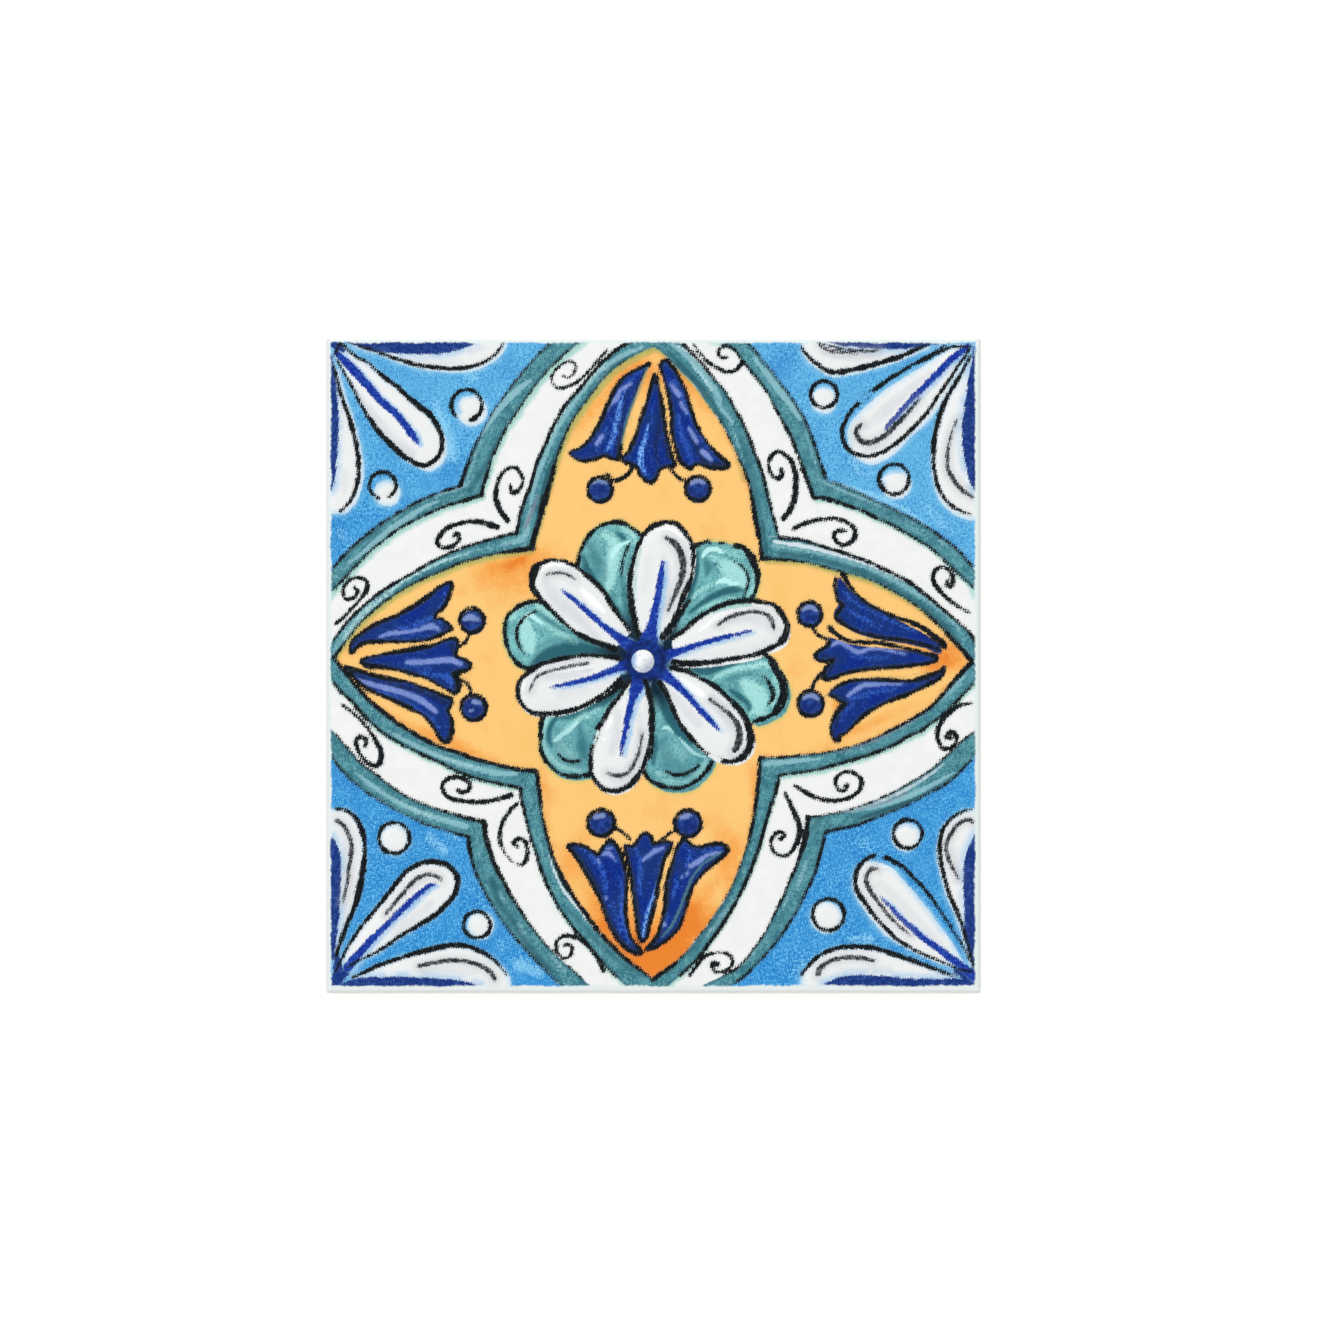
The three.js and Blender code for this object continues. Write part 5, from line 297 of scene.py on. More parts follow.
# soft strokes: strength, softness, points, widths
TONE = {
    "light": [  # painted highlights: lighter streaks on the teal's lit side
        (0.75, 0.61, [(50.08, 56.97), (55.25, 54.24), (62.86, 51.21), (70.47, 47.88)], [0.61, 0.91, 0.91, 0.61]),
        (0.6, 2.92, [(17.81, 33.33), (22.68, 30.3), (25.72, 26.67)], [1.82, 3.65, 3.04]),
        (0.6, 2.92, [(28.77, -6.67), (31.81, -10.3), (32.42, -12.73)], [2.43, 3.65, 3.04]),
        (0.85, 2.92, [(-15.07, 40.3), (-12.02, 37.27), (-12.33, 32.12), (-12.94, 26.67), (-14.46, 21.82)], [1.82, 3.65, 3.95, 3.04, 1.82]),
        (0.8, 1.95, [(-9.59, 42.42), (-6.85, 40.3), (-5.02, 37.27)], [1.52, 1.82, 1.52]),
        (0.35, 2.43, [(-7.76, 32.12), (-8.07, 26.06)], [1.22, 1.22]),
        (0.9, 1.46, [(-39.42, 13.33), (-38.2, 9.09), (-37.6, 5.45)], [3.04, 4.86, 3.65]),
        (0.7, 1.46, [(-43.07, 14.55), (-41.55, 17.58), (-38.2, 19.39), (-35.46, 19.39)], [1.82, 2.13, 2.13, 1.82]),
        (0.75, 1.46, [(-35.46, 18.18), (-30.9, 15.45), (-26.03, 12.73), (-22.37, 10.3)], [1.82, 2.43, 2.13, 1.22]),
        (0.6, 1.46, [(-34.25, 13.33), (-29.68, 10.61), (-26.03, 8.48), (-23.59, 7.27)], [1.22, 2.13, 2.43, 1.82]),
        (0.75, 0.97, [(-31.81, -15.15), (-33.33, -18.79), (-33.64, -23.03), (-31.81, -27.27), (-27.85, -30.61), (-22.37, -31.82)], [1.22, 1.52, 1.52, 1.82, 1.82, 1.52]),
        (0.5, 2.92, [(-29.38, -21.82), (-27.55, -25.45), (-24.81, -27.27)], [3.04, 4.26, 3.65]),
        (0.7, 1.46, [(-20.55, -14.24), (-23.59, -16.97), (-26.64, -19.39)], [1.52, 1.82, 1.82]),
        (0.55, 1.46, [(-15.37, -12.42), (-18.42, -13.94), (-20.55, -15.76)], [0.91, 1.52, 1.22]),
        (0.35, 2.92, [(3.2, -23.64), (4.11, -27.88), (6.54, -30.3)], [1.82, 2.74, 2.43]),
        (0.65, 1.46, [(1.07, -32.12), (4.41, -35.15), (9.59, -35.15), (14.16, -32.12), (16.29, -28.48)], [1.82, 1.82, 1.52, 1.82, 1.52]),
        (0.45, 2.92, [(5.63, -23.94), (9.28, -28.48)], [2.43, 3.04]),
        (0.9, 2.92, [(27.85, -5.15), (31.2, -8.48), (32.42, -12.12)], [3.04, 6.08, 4.26]),
        (0.6, 1.46, [(36.99, -3.64), (37.9, -7.88), (36.68, -11.52)], [1.52, 1.52, 1.82]),
        (0.7, 1.46, [(29.38, -13.94), (33.33, -14.24)], [1.82, 2.13]),
        (0.75, 1.22, [(17.81, -4.55), (20.85, -2.42), (24.81, -0.91), (29.38, -0.3), (33.64, 0.61), (35.46, -0.61)], [0.61, 1.52, 1.82, 1.82, 1.82, 1.22]),
        (0.85, 2.92, [(20.85, 31.52), (24.81, 28.18), (26.94, 25.45)], [2.43, 6.08, 4.26]),
        (0.35, 2.43, [(20.24, 35.15), (26.33, 33.33)], [1.82, 2.43]),
        (0.6, 1.22, [(26.94, 35.45), (29.98, 31.52), (30.9, 26.06), (29.38, 21.82)], [1.22, 1.52, 1.52, 1.52]),
        (0.6, 1.46, [(14.16, 17.27), (18.72, 19.09), (24.81, 20.3)], [0.91, 1.52, 1.52]),
        (0.6, 1.46, [(10.5, 18.79), (12.33, 21.21), (14.76, 23.33), (17.81, 24.55)], [0.91, 1.52, 1.52, 1.52]),
        (0.9, 0.76, [(-93.3, 30.61), (-86.3, 36.36), (-80.21, 41.52), (-74.73, 45.15), (-69.56, 48.48), (-64.99, 50.3)], [0.61, 1.52, 1.82, 1.82, 1.22, 0.61]),
        (0.6, 0.76, [(-67.43, 51.21), (-62.56, 53.33), (-57.99, 54.85), (-55.86, 56.36)], [0.61, 1.82, 1.82, 0.91]),
        (0.35, 1.22, [(-96.04, 27.58), (-92.39, 31.52)], [1.52, 1.82]),
        (1, 0.76, [(-52.51, 70.3), (-48.25, 76.67), (-44.29, 81.21), (-40.33, 84.85), (-37.29, 86.97)], [0.91, 1.82, 2.13, 1.82, 0.91]),
        (0.45, 0.91, [(-56.47, 56.97), (-54.64, 63.03), (-52.21, 68.48)], [1.22, 1.52, 1.22]),
        (0.8, 1.06, [(-37.6, 48.79), (-36.07, 55.76), (-33.64, 62.42), (-29.68, 71.52), (-24.81, 79.39), (-19.94, 85.76), (-14.46, 91.21), (-8.68, 94.85), (-3.5, 96.97)], [0.91, 1.52, 1.52, 1.52, 1.52, 1.52, 1.52, 1.52, 1.22]),
        (0.5, 1.52, [(-45.21, 36.67), (-52.82, 35.45), (-60.43, 33.33), (-68.04, 30.61), (-75.65, 27.27), (-81.74, 23.03), (-87.52, 18.18), (-92.39, 12.73), (-95.74, 6.97), (-97.26, 3.33)], [0.61, 1.22, 1.52, 1.82, 2.13, 2.43, 2.74, 2.74, 2.43, 1.82]),
        (0.7, 0.91, [(-45.21, 37.27), (-41.25, 38.18), (-38.81, 40.3), (-38.2, 44.24), (-37.29, 47.88)], [1.52, 2.13, 2.13, 1.82, 1.52]),
        (0.95, 0.91, [(5.63, 97.88), (9.59, 95.15), (13.24, 91.21), (16.59, 86.67), (19.63, 82.42), (20.85, 80)], [1.22, 1.82, 2.13, 2.13, 1.52, 0.61]),
        (0.85, 0.76, [(18.42, 81.82), (20.85, 78.18), (23.29, 75.15), (24.2, 73.33)], [0.46, 1.22, 1.22, 0.61]),
        (0.6, 0.61, [(24.2, 71.52), (25.42, 68.48), (26.64, 64.85), (27.55, 61.82)], [0.61, 0.91, 0.76, 0.46]),
        (0.65, 0.91, [(36.07, 36.67), (46.12, 35.15), (55.25, 33.03), (65.91, 29.7), (75.04, 25.15), (82.65, 20.61), (88.74, 16.06), (92.69, 11.52)], [1.52, 1.22, 1.22, 1.52, 1.82, 2.13, 1.52, 1.22]),
        (1, 0.61, [(30.59, 93.94), (34.25, 89.09), (37.9, 84.24), (41.55, 79.7), (44.6, 75.15)], [0.91, 1.52, 1.82, 1.82, 1.22]),
        (0.6, 0.61, [(45.51, 73.33), (47.34, 68.48), (48.86, 63.03), (49.77, 60)], [0.61, 0.91, 0.76, 0.61]),
        (0.5, 0.46, [(33.33, 92.12), (36.99, 87.27), (40.64, 82.42)], [0.46, 0.61, 0.46]),
        (0.6, 0.91, [(86.91, 38.18), (88.74, 37.27)], [1.22, 1.52]),
        (0.3, 1.52, [(76.56, 44.24), (84.17, 39.7)], [1.82, 1.82]),
        (0.9, 0.91, [(-80.82, -19.7), (-76.56, -22.12), (-71.08, -24.85), (-64.99, -27.58), (-58.9, -29.7), (-52.82, -31.52), (-46.73, -32.73), (-41.55, -32.73)], [0.61, 1.22, 1.52, 1.52, 1.82, 1.82, 1.82, 1.22]),
        (0.3, 1.82, [(-93.91, -4.24), (-89.35, -9.39)], [2.43, 2.43]),
        (0.9, 0.91, [(-90.87, -32.42), (-86.91, -35.45), (-81.74, -39.09), (-76.56, -42.12), (-71.08, -44.55), (-63.47, -46.97), (-57.08, -48.79)], [0.61, 1.52, 1.37, 1.52, 1.67, 1.82, 1.82]),
        (0.5, 0.91, [(-46.73, -69.7), (-45.21, -71.82)], [1.22, 1.82]),
        (0.5, 1.22, [(-41.25, -78.48), (-39.42, -81.21)], [1.52, 1.82]),
        (0.6, 0.91, [(-32.12, -87.58), (-29.68, -90), (-26.94, -92.73)], [0.91, 1.52, 1.22]),
        (0.5, 0.91, [(-32.12, -66.36), (-29.68, -69.39)], [1.22, 1.22]),
        (0.4, 1.52, [(-34.55, -52.73), (-33.64, -58.79)], [1.52, 1.52]),
        (0.6, 0.91, [(87.21, -10.3), (90.87, -7.27), (94.82, -2.73)], [0.91, 1.82, 1.52]),
        (0.85, 0.76, [(33.94, -29.7), (38.51, -29.39), (44.6, -28.79), (50.68, -28.18)], [1.52, 1.82, 1.52, 0.61]),
        (0.9, 0.61, [(59.82, -44.24), (68.95, -42.42), (76.56, -40), (82.65, -37.27), (87.82, -34.55), (91.48, -32.42)], [0.91, 1.52, 1.82, 1.52, 1.22, 0.61]),
        (0.5, 1.22, [(24.81, -70.91), (21.46, -75.45), (19.03, -78.79), (15.98, -82.42)], [1.22, 2.13, 1.82, 0.91]),
        (0.55, 0.91, [(46.42, -59.39), (45.21, -63.64), (43.68, -67.27)], [1.22, 1.82, 1.52]),
        (0.5, 0.61, [(41.55, -69.39), (40.03, -71.82), (39.42, -73.94)], [0.91, 1.22, 0.91]),
        (0.6, 0.76, [(31.51, -86.06), (29.38, -88.48), (26.94, -90.91)], [0.91, 1.22, 0.91]),
    ],
    "hi": [  # painted highlights: bright strokes on teal and white
        (0.6, 0.91, [(-79.6, 22.42), (-83.26, 20.3), (-87.52, 16.67), (-91.17, 12.42), (-93.91, 8.48)], [0.91, 1.52, 1.82, 1.82, 1.52]),
        (1, 0.61, [(-7.15, 37.88), (-9.89, 36.97), (-11.72, 35.15), (-12.63, 33.33)], [0.61, 1.52, 1.82, 1.22]),
        (0.7, 0.76, [(-12.63, 32.12), (-13.55, 29.7)], [0.91, 0.61]),
        (0.6, 0.46, [(-10.5, 15.15), (-9.59, 13.94)], [0.61, 0.91]),
        (1, 0.61, [(-40.03, 14.24), (-37.9, 15.76), (-36.07, 14.55), (-33.94, 13.03)], [0.91, 1.52, 1.52, 0.91]),
        (1, 0.61, [(-22.98, -16.97), (-25.42, -19.39), (-27.85, -20.91), (-29.98, -22.73)], [0.61, 1.52, 1.52, 1.22]),
        (0.8, 0.61, [(2.28, -19.09), (4.11, -18.79), (5.94, -20.3)], [0.61, 1.52, 0.91]),
        (0.9, 0.61, [(7.76, -21.82), (10.2, -24.55), (12.63, -26.67), (15.68, -27.58)], [0.61, 1.22, 1.22, 0.61]),
        (0.5, 0.61, [(29.98, -0.3), (33.64, 0.91), (36.07, -1.52)], [0.61, 1.22, 0.91]),
        (1, 0.46, [(14.76, 33.03), (16.29, 35.15), (19.03, 35.45), (20.85, 34.55)], [0.61, 1.52, 1.52, 0.91]),
        (1, 0.46, [(19.03, 25.15), (21.46, 26.06), (24.2, 25.15), (26.03, 25.15)], [0.91, 1.82, 1.52, 0.61]),
        (1, 0.91, [(-21.77, 23.03), (-18.72, 20), (-15.07, 16.67)], [1.52, 2.43, 1.52]),
        (0.8, 0.61, [(-26.33, 26.97), (-23.29, 25.15)], [0.91, 0.91]),
        (1, 0.61, [(-34.25, 29.09), (-30.9, 30.91), (-25.42, 30.3)], [1.22, 1.22, 1.22]),
        (1, 0.91, [(0.46, 41.82), (4.41, 42.12), (8.68, 39.39)], [1.22, 1.52, 1.22]),
        (1, 0.91, [(8.68, -4.24), (12.33, -6.97), (15.98, -9.39)], [1.52, 2.43, 1.52]),
        (1, 0.61, [(24.2, -13.94), (26.94, -17.88), (27.55, -23.03), (24.81, -26.97)], [0.91, 1.22, 1.22, 0.91]),
        (1, 0.46, [(-12.63, -14.55), (-13.24, -16.97), (-14.46, -19.09)], [0.61, 1.22, 0.61]),
        (1, 0.46, [(-15.37, -21.82), (-15.07, -22.73)], [0.91, 0.91]),
        (1, 0.46, [(-3.5, -13.03), (-3.2, -13.33)], [0.76, 0.76]),
        (1, 0.76, [(-29.68, -1.82), (-23.9, -0.91), (-18.72, 0)], [0.91, 1.22, 1.22]),
        (0.8, 0.61, [(-40.03, -7.27), (-39.42, -4.85)], [0.91, 0.91]),
        (1, 0.76, [(14.16, 10.91), (20.85, 15.45), (29.38, 16.97)], [0.91, 1.52, 1.22]),
        (0.8, 0.61, [(-31.81, 68.48), (-29.38, 73.94), (-26.03, 79.39)], [0.46, 0.91, 0.61]),
        (0.7, 0.61, [(-21.46, 84.85), (-17.81, 89.09), (-14.16, 92.42)], [0.61, 0.91, 0.61]),
        (0.7, 0.61, [(-55.86, 34.24), (-63.47, 32.12), (-69.56, 29.39), (-75.65, 26.06), (-80.82, 22.42)], [0.46, 0.91, 0.91, 1.22, 0.91]),
        (0.7, 0.61, [(11.11, 92.73), (15.37, 87.27), (18.11, 83.64)], [0.61, 0.76, 0.61]),
        (0.5, 0.61, [(-68.04, -26.06), (-60.43, -29.09), (-52.82, -31.21)], [0.46, 0.76, 0.61]),
        (0.5, 0.61, [(-81.74, -38.48), (-74.12, -43.03), (-64.99, -46.97)], [0.46, 0.76, 0.61]),
        (1, 0.46, [(95.13, 60), (95.43, 56.36)], [0.61, 0.91]),
        (0.8, 0.61, [(73.82, -62.12), (71.69, -61.21), (68.95, -60.61)], [0.91, 0.91, 0.91]),
    ],
    "dark": [  # painted shade: darker strokes on the teal's shaded side
        (0.7, 0.76, [(-30.9, 58.18), (-28.16, 66.36), (-24.2, 74.55), (-18.72, 82.12), (-12.63, 89.09), (-5.33, 94.24)], [0.91, 1.22, 1.22, 1.22, 1.22, 0.91]),
        (0.55, 0.76, [(-94.82, 5.45), (-88.74, 13.33), (-79.6, 20.91), (-68.65, 26.97), (-56.47, 32.12), (-44.29, 34.55)], [0.91, 1.22, 1.22, 1.22, 1.22, 1.22]),
        (0.5, 0.76, [(28.77, -54.55), (26.03, -63.33), (21.77, -72.12), (15.98, -81.52), (10.5, -88.18)], [0.91, 1.22, 1.22, 1.22, 0.91]),
        (0.4, 3.89, [(2.59, -23.03), (5.02, -29.09), (11.11, -33.33)], [3.65, 4.26, 3.65]),
        (0.35, 3.89, [(-29.68, -23.94), (-25.42, -29.09), (-20.85, -30)], [3.04, 3.65, 3.04]),
        (0.85, 2.43, [(-21.46, 33.33), (-19.33, 27.58), (-15.37, 20.91), (-11.11, 14.85), (-7.15, 7.88)], [1.52, 3.04, 4.26, 4.26, 3.04]),
        (0.45, 3.4, [(-19.33, 36.67), (-17.5, 32.12), (-15.68, 27.58)], [3.65, 4.86, 3.65]),
        (0.75, 0.73, [(-11.42, 40.61), (-9.89, 39.7), (-8.98, 38.79)], [0.91, 1.82, 1.22]),
        (0.6, 1.46, [(-9.89, 28.48), (-8.98, 23.03), (-7.76, 17.58), (-6.54, 12.42)], [0.91, 2.43, 3.04, 2.43]),
        (0.5, 0.97, [(-7.15, 35.76), (-7.46, 32.12), (-8.37, 28.48)], [0.61, 0.91, 0.91]),
        (0.6, 1.22, [(-36.07, 16.97), (-32.12, 13.94), (-27.85, 11.21), (-24.81, 10)], [0.91, 1.52, 1.52, 0.91]),
        (0.5, 1.46, [(-44.29, 13.33), (-44.9, 9.09), (-44.29, 4.85)], [0.91, 1.52, 1.82]),
        (0.9, 3.4, [(-37.6, -0.61), (-33.03, 3.03), (-25.42, 4.85), (-17.81, 4.55), (-11.72, 3.64)], [1.82, 4.26, 5.47, 4.26, 1.82]),
        (0.5, 2.43, [(-35.46, 5.45), (-29.68, 7.88), (-20.85, 7.58), (-16.29, 6.06)], [1.52, 1.82, 2.13, 1.52]),
        (0.85, 1.46, [(-29.68, -15.76), (-31.51, -18.79), (-31.81, -22.42), (-30.9, -24.55)], [1.22, 1.82, 1.52, 0.91]),
        (0.75, 1.95, [(-29.68, -16.06), (-25.42, -15.45), (-21.16, -13.64), (-17.2, -11.52), (-12.94, -8.18)], [1.22, 1.82, 1.82, 2.43, 2.43]),
        (0.6, 2.92, [(-22.37, -18.48), (-21.77, -23.03), (-21.16, -27.58)], [2.43, 3.65, 3.65]),
        (0.9, 1.95, [(-15.68, -11.21), (-12.63, -8.79)], [3.04, 2.43]),
        (0.95, 2.43, [(1.98, -5.76), (3.5, -11.82), (6.85, -17.88), (11.11, -23.03)], [1.82, 3.65, 4.26, 2.43]),
        (0.75, 1.22, [(0.76, -21.21), (0.46, -25.45), (-0.15, -29.7)], [1.22, 1.82, 1.52]),
        (0.45, 1.95, [(8.07, -20.91), (11.72, -24.85), (14.16, -28.48)], [1.82, 2.43, 1.82]),
        (0.85, 1.46, [(11.11, -0.3), (15.68, -1.52), (20.24, -0.3), (26.33, 1.52), (31.51, 2.73)], [1.22, 3.04, 2.43, 1.82, 1.22]),
        (0.5, 1.46, [(20.85, -4.55), (24.81, -3.33), (29.38, -2.42)], [0.91, 1.52, 1.52]),
        (0.85, 0.97, [(23.29, -7.27), (26.33, -9.39), (28.77, -11.52), (29.07, -13.64)], [1.22, 2.13, 1.82, 1.22]),
        (0.6, 1.46, [(17.81, -5.45), (20.85, -6.06)], [1.52, 1.52]),
        (0.9, 1.95, [(13.24, 34.55), (12.63, 29.09), (11.11, 23.03), (8.68, 17.58), (5.63, 11.52)], [1.52, 2.74, 2.43, 2.43, 2.43]),
        (0.55, 1.22, [(15.68, 32.73), (16.59, 30), (15.98, 27.27)], [1.22, 2.43, 1.22]),
        (0.85, 1.46, [(11.11, 16.36), (15.68, 19.7), (20.24, 22.12), (24.81, 23.33), (27.55, 23.03)], [1.22, 1.82, 2.43, 2.43, 0.91]),
        (1, 0.73, [(18.72, 31.06), (19.03, 30.91)], [0.76, 0.76]),
        (0.95, 0.91, [(-35.16, 44.24), (-33.33, 51.82), (-31.2, 59.39), (-27.85, 66.67), (-23.59, 75.15), (-19.03, 82.12), (-13.85, 87.58)], [1.52, 2.43, 2.43, 2.13, 2.13, 1.82, 1.22]),
        (0.65, 0.91, [(-40.64, 34.85), (-48.25, 33.94), (-55.86, 32.12), (-63.47, 29.7), (-69.56, 26.97), (-75.65, 23.64)], [1.22, 1.52, 1.82, 1.82, 1.52, 0.91]),
        (0.55, 1.22, [(-55.86, 53.33), (-51.29, 60.91), (-46.73, 68.48), (-42.16, 74.55), (-37.6, 81.21), (-33.03, 88.18), (-27.85, 94.24)], [1.82, 1.82, 2.43, 2.13, 1.82, 1.82, 1.82]),
        (0.5, 0.91, [(-93.91, 33.33), (-87.82, 38.79), (-79.6, 45.45), (-71.08, 50)], [0.91, 1.52, 1.52, 1.22]),
        (0.75, 0.91, [(4.41, 95.76), (8.68, 91.21), (13.24, 86.36), (16.89, 81.82), (19.94, 76.67), (22.37, 71.52)], [0.91, 1.82, 1.82, 1.52, 1.22, 0.91]),
        (0.45, 1.82, [(26.33, 68.48), (29.38, 59.39), (31.2, 50.3), (32.72, 41.21)], [2.43, 3.04, 3.04, 2.43]),
        (0.7, 0.76, [(34.25, 34.55), (33.64, 39.7), (33.03, 44.24)], [1.82, 1.52, 1.52]),
        (0.6, 0.91, [(38.51, 34.24), (47.64, 33.03), (56.77, 30.61), (65.91, 27.58), (75.04, 22.73), (82.65, 17.58), (88.74, 12.42), (93.3, 7.27)], [1.52, 1.82, 1.82, 1.82, 1.82, 1.82, 1.52, 1.52]),
        (0.3, 1.82, [(59.82, 51.21), (68.95, 48.18), (78.08, 43.64)], [2.43, 2.74, 2.74]),
        (0.6, 1.52, [(-49.16, -64.85), (-46.73, -72.42), (-42.16, -78.48), (-37.6, -86.06), (-32.12, -92.12)], [2.43, 2.43, 1.82, 2.43, 2.43]),
        (0.5, 0.91, [(-26.03, -73.94), (-22.37, -77.88), (-16.29, -84.55), (-8.68, -91.21), (-2.59, -94.55)], [1.22, 1.52, 1.52, 1.82, 1.52]),
        (0.4, 1.22, [(27.85, -55.76), (25.72, -63.33)], [2.43, 1.82]),
        (0.4, 1.22, [(11.11, -86.06), (5.02, -92.12)], [1.82, 2.13]),
        (0.35, 1.22, [(56.77, -29.09), (68.95, -25.45), (79.6, -20.3)], [1.82, 1.82, 1.82]),
        (0.8, 0.91, [(62.86, -46.36), (71.99, -43.33), (79.6, -40.61), (87.21, -36.97)], [1.22, 1.52, 1.22, 0.91]),
        (0.5, 1.52, [(48.25, -49.7), (51.29, -45.15)], [1.82, 2.43]),
    ],
    "gap": [  # bare strip inside a ribbon
        (0.95, 0.76, [(36.68, 37.88), (44.6, 36.67), (50.68, 35.45), (59.82, 33.03), (68.95, 29.7), (76.56, 25.76)], [0.91, 1.52, 1.52, 1.52, 1.37, 0.91]),
        (0.9, 0.55, [(-31.81, -57.27), (-29.68, -63.64), (-26.94, -68.79), (-22.37, -74.24), (-17.81, -79.7), (-12.63, -84.85), (-7.76, -89.09), (-2.59, -93.03)], [0.61, 0.91, 1.06, 1.22, 1.22, 1.52, 1.52, 1.22]),
        (0.5, 0.67, [(51.29, -27.58), (59.82, -25), (68.95, -22.12), (76.56, -18.18), (84.17, -13.94)], [0.3, 0.76, 0.76, 0.76, 0.61]),
        (0.62, 0.91, [(55.25, -44.55), (62.86, -43.18), (70.47, -40.61), (77.47, -37.27), (84.17, -33.03), (88.43, -29.7)], [0.61, 1.22, 1.52, 1.52, 1.22, 0.91]),
        (0.8, 0.61, [(6.85, 97.88), (11.11, 95.15), (14.76, 91.52), (17.81, 87.58)], [0.61, 0.91, 0.91, 0.61]),
        (0.5, 0.61, [(41.55, 39.7), (35.46, 39.39)], [0.61, 0.91]),
    ],
    "mint": [  # teal that strays onto white
        (0.6, 0.91, [(-3.81, 35.76), (-5.02, 30.61), (-5.63, 24.55), (-5.94, 18.48)], [0.91, 1.22, 1.22, 0.61]),
        (1, 0.61, [(10.5, 13.33), (15.37, 15.76), (20.85, 17.88), (25.72, 18.79), (29.38, 18.48)], [0.61, 1.22, 2.13, 2.13, 0.91]),
        (0.5, 0.91, [(19.03, -7.27), (22.68, -10.3), (25.72, -13.64), (27.25, -16.36)], [0.61, 0.91, 1.22, 0.61]),
        (0.35, 0.91, [(-25.42, 1.82), (-16.29, 2.42), (-11.72, 1.21)], [0.91, 1.22, 0.91]),
        (0.5, 0.61, [(-17.81, -23.94), (-16.59, -20.3)], [0.91, 0.91]),
        (0.5, 0.91, [(-6.54, -6.67), (-8.68, -9.7)], [0.91, 0.91]),
        (0.8, 0.91, [(93.91, 28.48), (96.35, 24.55), (97.56, 20.91)], [0.91, 1.52, 1.22]),
        (0.6, 0.91, [(96.96, 7.88), (97.87, 3.33), (98.17, -4.24)], [1.22, 1.22, 0.91]),
    ],
    "pale": [  # watery blue
        (0.6, 2.43, [(82.65, 48.79), (87.21, 44.24), (90.26, 40.61)], [3.04, 3.65, 2.43]),
        (0.5, 1.82, [(68.95, 56.36), (76.56, 53.94)], [1.52, 1.82]),
        (0.6, 1.82, [(59.21, 71.52), (62.25, 59.39), (68.95, 58.18)], [1.52, 1.82, 1.82]),
        (0.5, 1.82, [(66.51, 82.12), (59.82, 76.97)], [1.22, 1.52]),
        (0.5, 2.43, [(-75.65, 71.52), (-69.56, 61.82)], [1.82, 2.43]),
        (0.4, 3.04, [(-40.64, 95.76), (-43.07, 93.33)], [3.04, 3.04]),
        (0.8, 4.26, [(-66.21, 80), (-63.47, 71.52), (-61.34, 63.94)], [3.04, 4.86, 4.86]),
        (0.6, 3.65, [(-55.86, 88.18), (-52.21, 92.73)], [4.86, 4.26]),
        (0.4, 3.04, [(-52.82, 74.55), (-55.86, 68.48)], [1.82, 2.43]),
        (0.4, 3.04, [(-78.69, 53.33), (-74.12, 56.36)], [2.43, 2.43]),
        (0.5, 2.43, [(-95.43, 41.21), (-92.39, 36.67)], [3.04, 2.43]),
        (0.35, 2.43, [(-46.73, 83.64), (-43.68, 88.18)], [1.82, 1.82]),
        (1, 1.22, [(53.73, 55.76), (59.82, 53.94), (68.95, 51.21), (76.56, 47.27), (83.56, 42.42)], [1.52, 2.43, 2.13, 2.13, 1.22]),
        (0.5, 3.04, [(58.3, 68.48), (61.34, 60.91)], [3.04, 3.65]),
        (0.5, 2.43, [(44.6, 80.61), (46.42, 76.97)], [1.82, 1.82]),
        (0.6, 2.43, [(91.78, 85.15), (89.04, 80.61)], [1.52, 1.52]),
        (0.4, 2.43, [(93.3, 36.67), (95.74, 32.12)], [3.04, 2.43]),
        (0.5, 1.52, [(85.69, 97.27), (90.26, 96.67)], [1.52, 1.52]),
        (0.7, 2.43, [(-68.04, -52.12), (-63.47, -55.76)], [4.26, 3.65]),
        (0.5, 2.43, [(-54.34, -67.88), (-51.29, -72.42)], [2.43, 3.04]),
        (0.5, 1.82, [(-64.99, -50.61), (-60.43, -52.12)], [1.52, 2.43]),
        (0.8, 3.65, [(-40.64, -90.61), (-34.55, -93.64)], [4.86, 3.65]),
        (0.4, 2.43, [(-85.69, -46.67), (-83.26, -51.21)], [2.43, 1.82]),
        (0.4, 2.43, [(-45.21, -83.03), (-46.73, -86.06)], [2.43, 2.43]),
        (0.5, 3.04, [(62.86, -54.24), (65.91, -55.76)], [3.04, 2.43]),
        (0.8, 2.13, [(59.82, -83.03), (65.91, -83.03)], [2.43, 3.04]),
        (0.6, 2.43, [(94.82, -43.64), (95.13, -48.18)], [2.43, 1.82]),
        (0.5, 3.04, [(47.64, -89.09), (41.55, -93.64)], [6.08, 3.04]),
        (0.4, 2.43, [(53.73, -67.88), (56.16, -66.36)], [2.43, 1.82]),
    ],
    "wash": [  # blue wash on the white dots
        (0.9, 0.91, [(-59.51, 81.82), (-60.12, 79.39), (-58.9, 77.27)], [1.52, 2.13, 1.52]),
        (0.6, 0.91, [(-57.08, 82.73), (-55.25, 82.12)], [1.22, 0.91]),
        (0.95, 0.91, [(-85.08, 56.36), (-82.65, 57.27), (-80.21, 56.67)], [1.22, 2.13, 1.22]),
        (0.7, 0.91, [(49.77, 84.55), (51.9, 85.45), (53.73, 84.55)], [0.91, 1.52, 0.91]),
        (0.85, 0.91, [(70.17, 58.18), (72.3, 59.7), (75.04, 59.39)], [1.22, 2.13, 1.52]),
        (0.6, 0.91, [(70.17, 56.06), (70.78, 54.85)], [0.91, 0.91]),
        (0.5, 0.91, [(74.73, -49.09), (76.86, -47.88), (79, -49.09)], [0.91, 1.52, 0.91]),
        (0.3, 0.91, [(-81.74, -49.7), (-79.6, -48.79)], [0.91, 1.22]),
    ],
    "ndark": [  # dark paint on the tulips
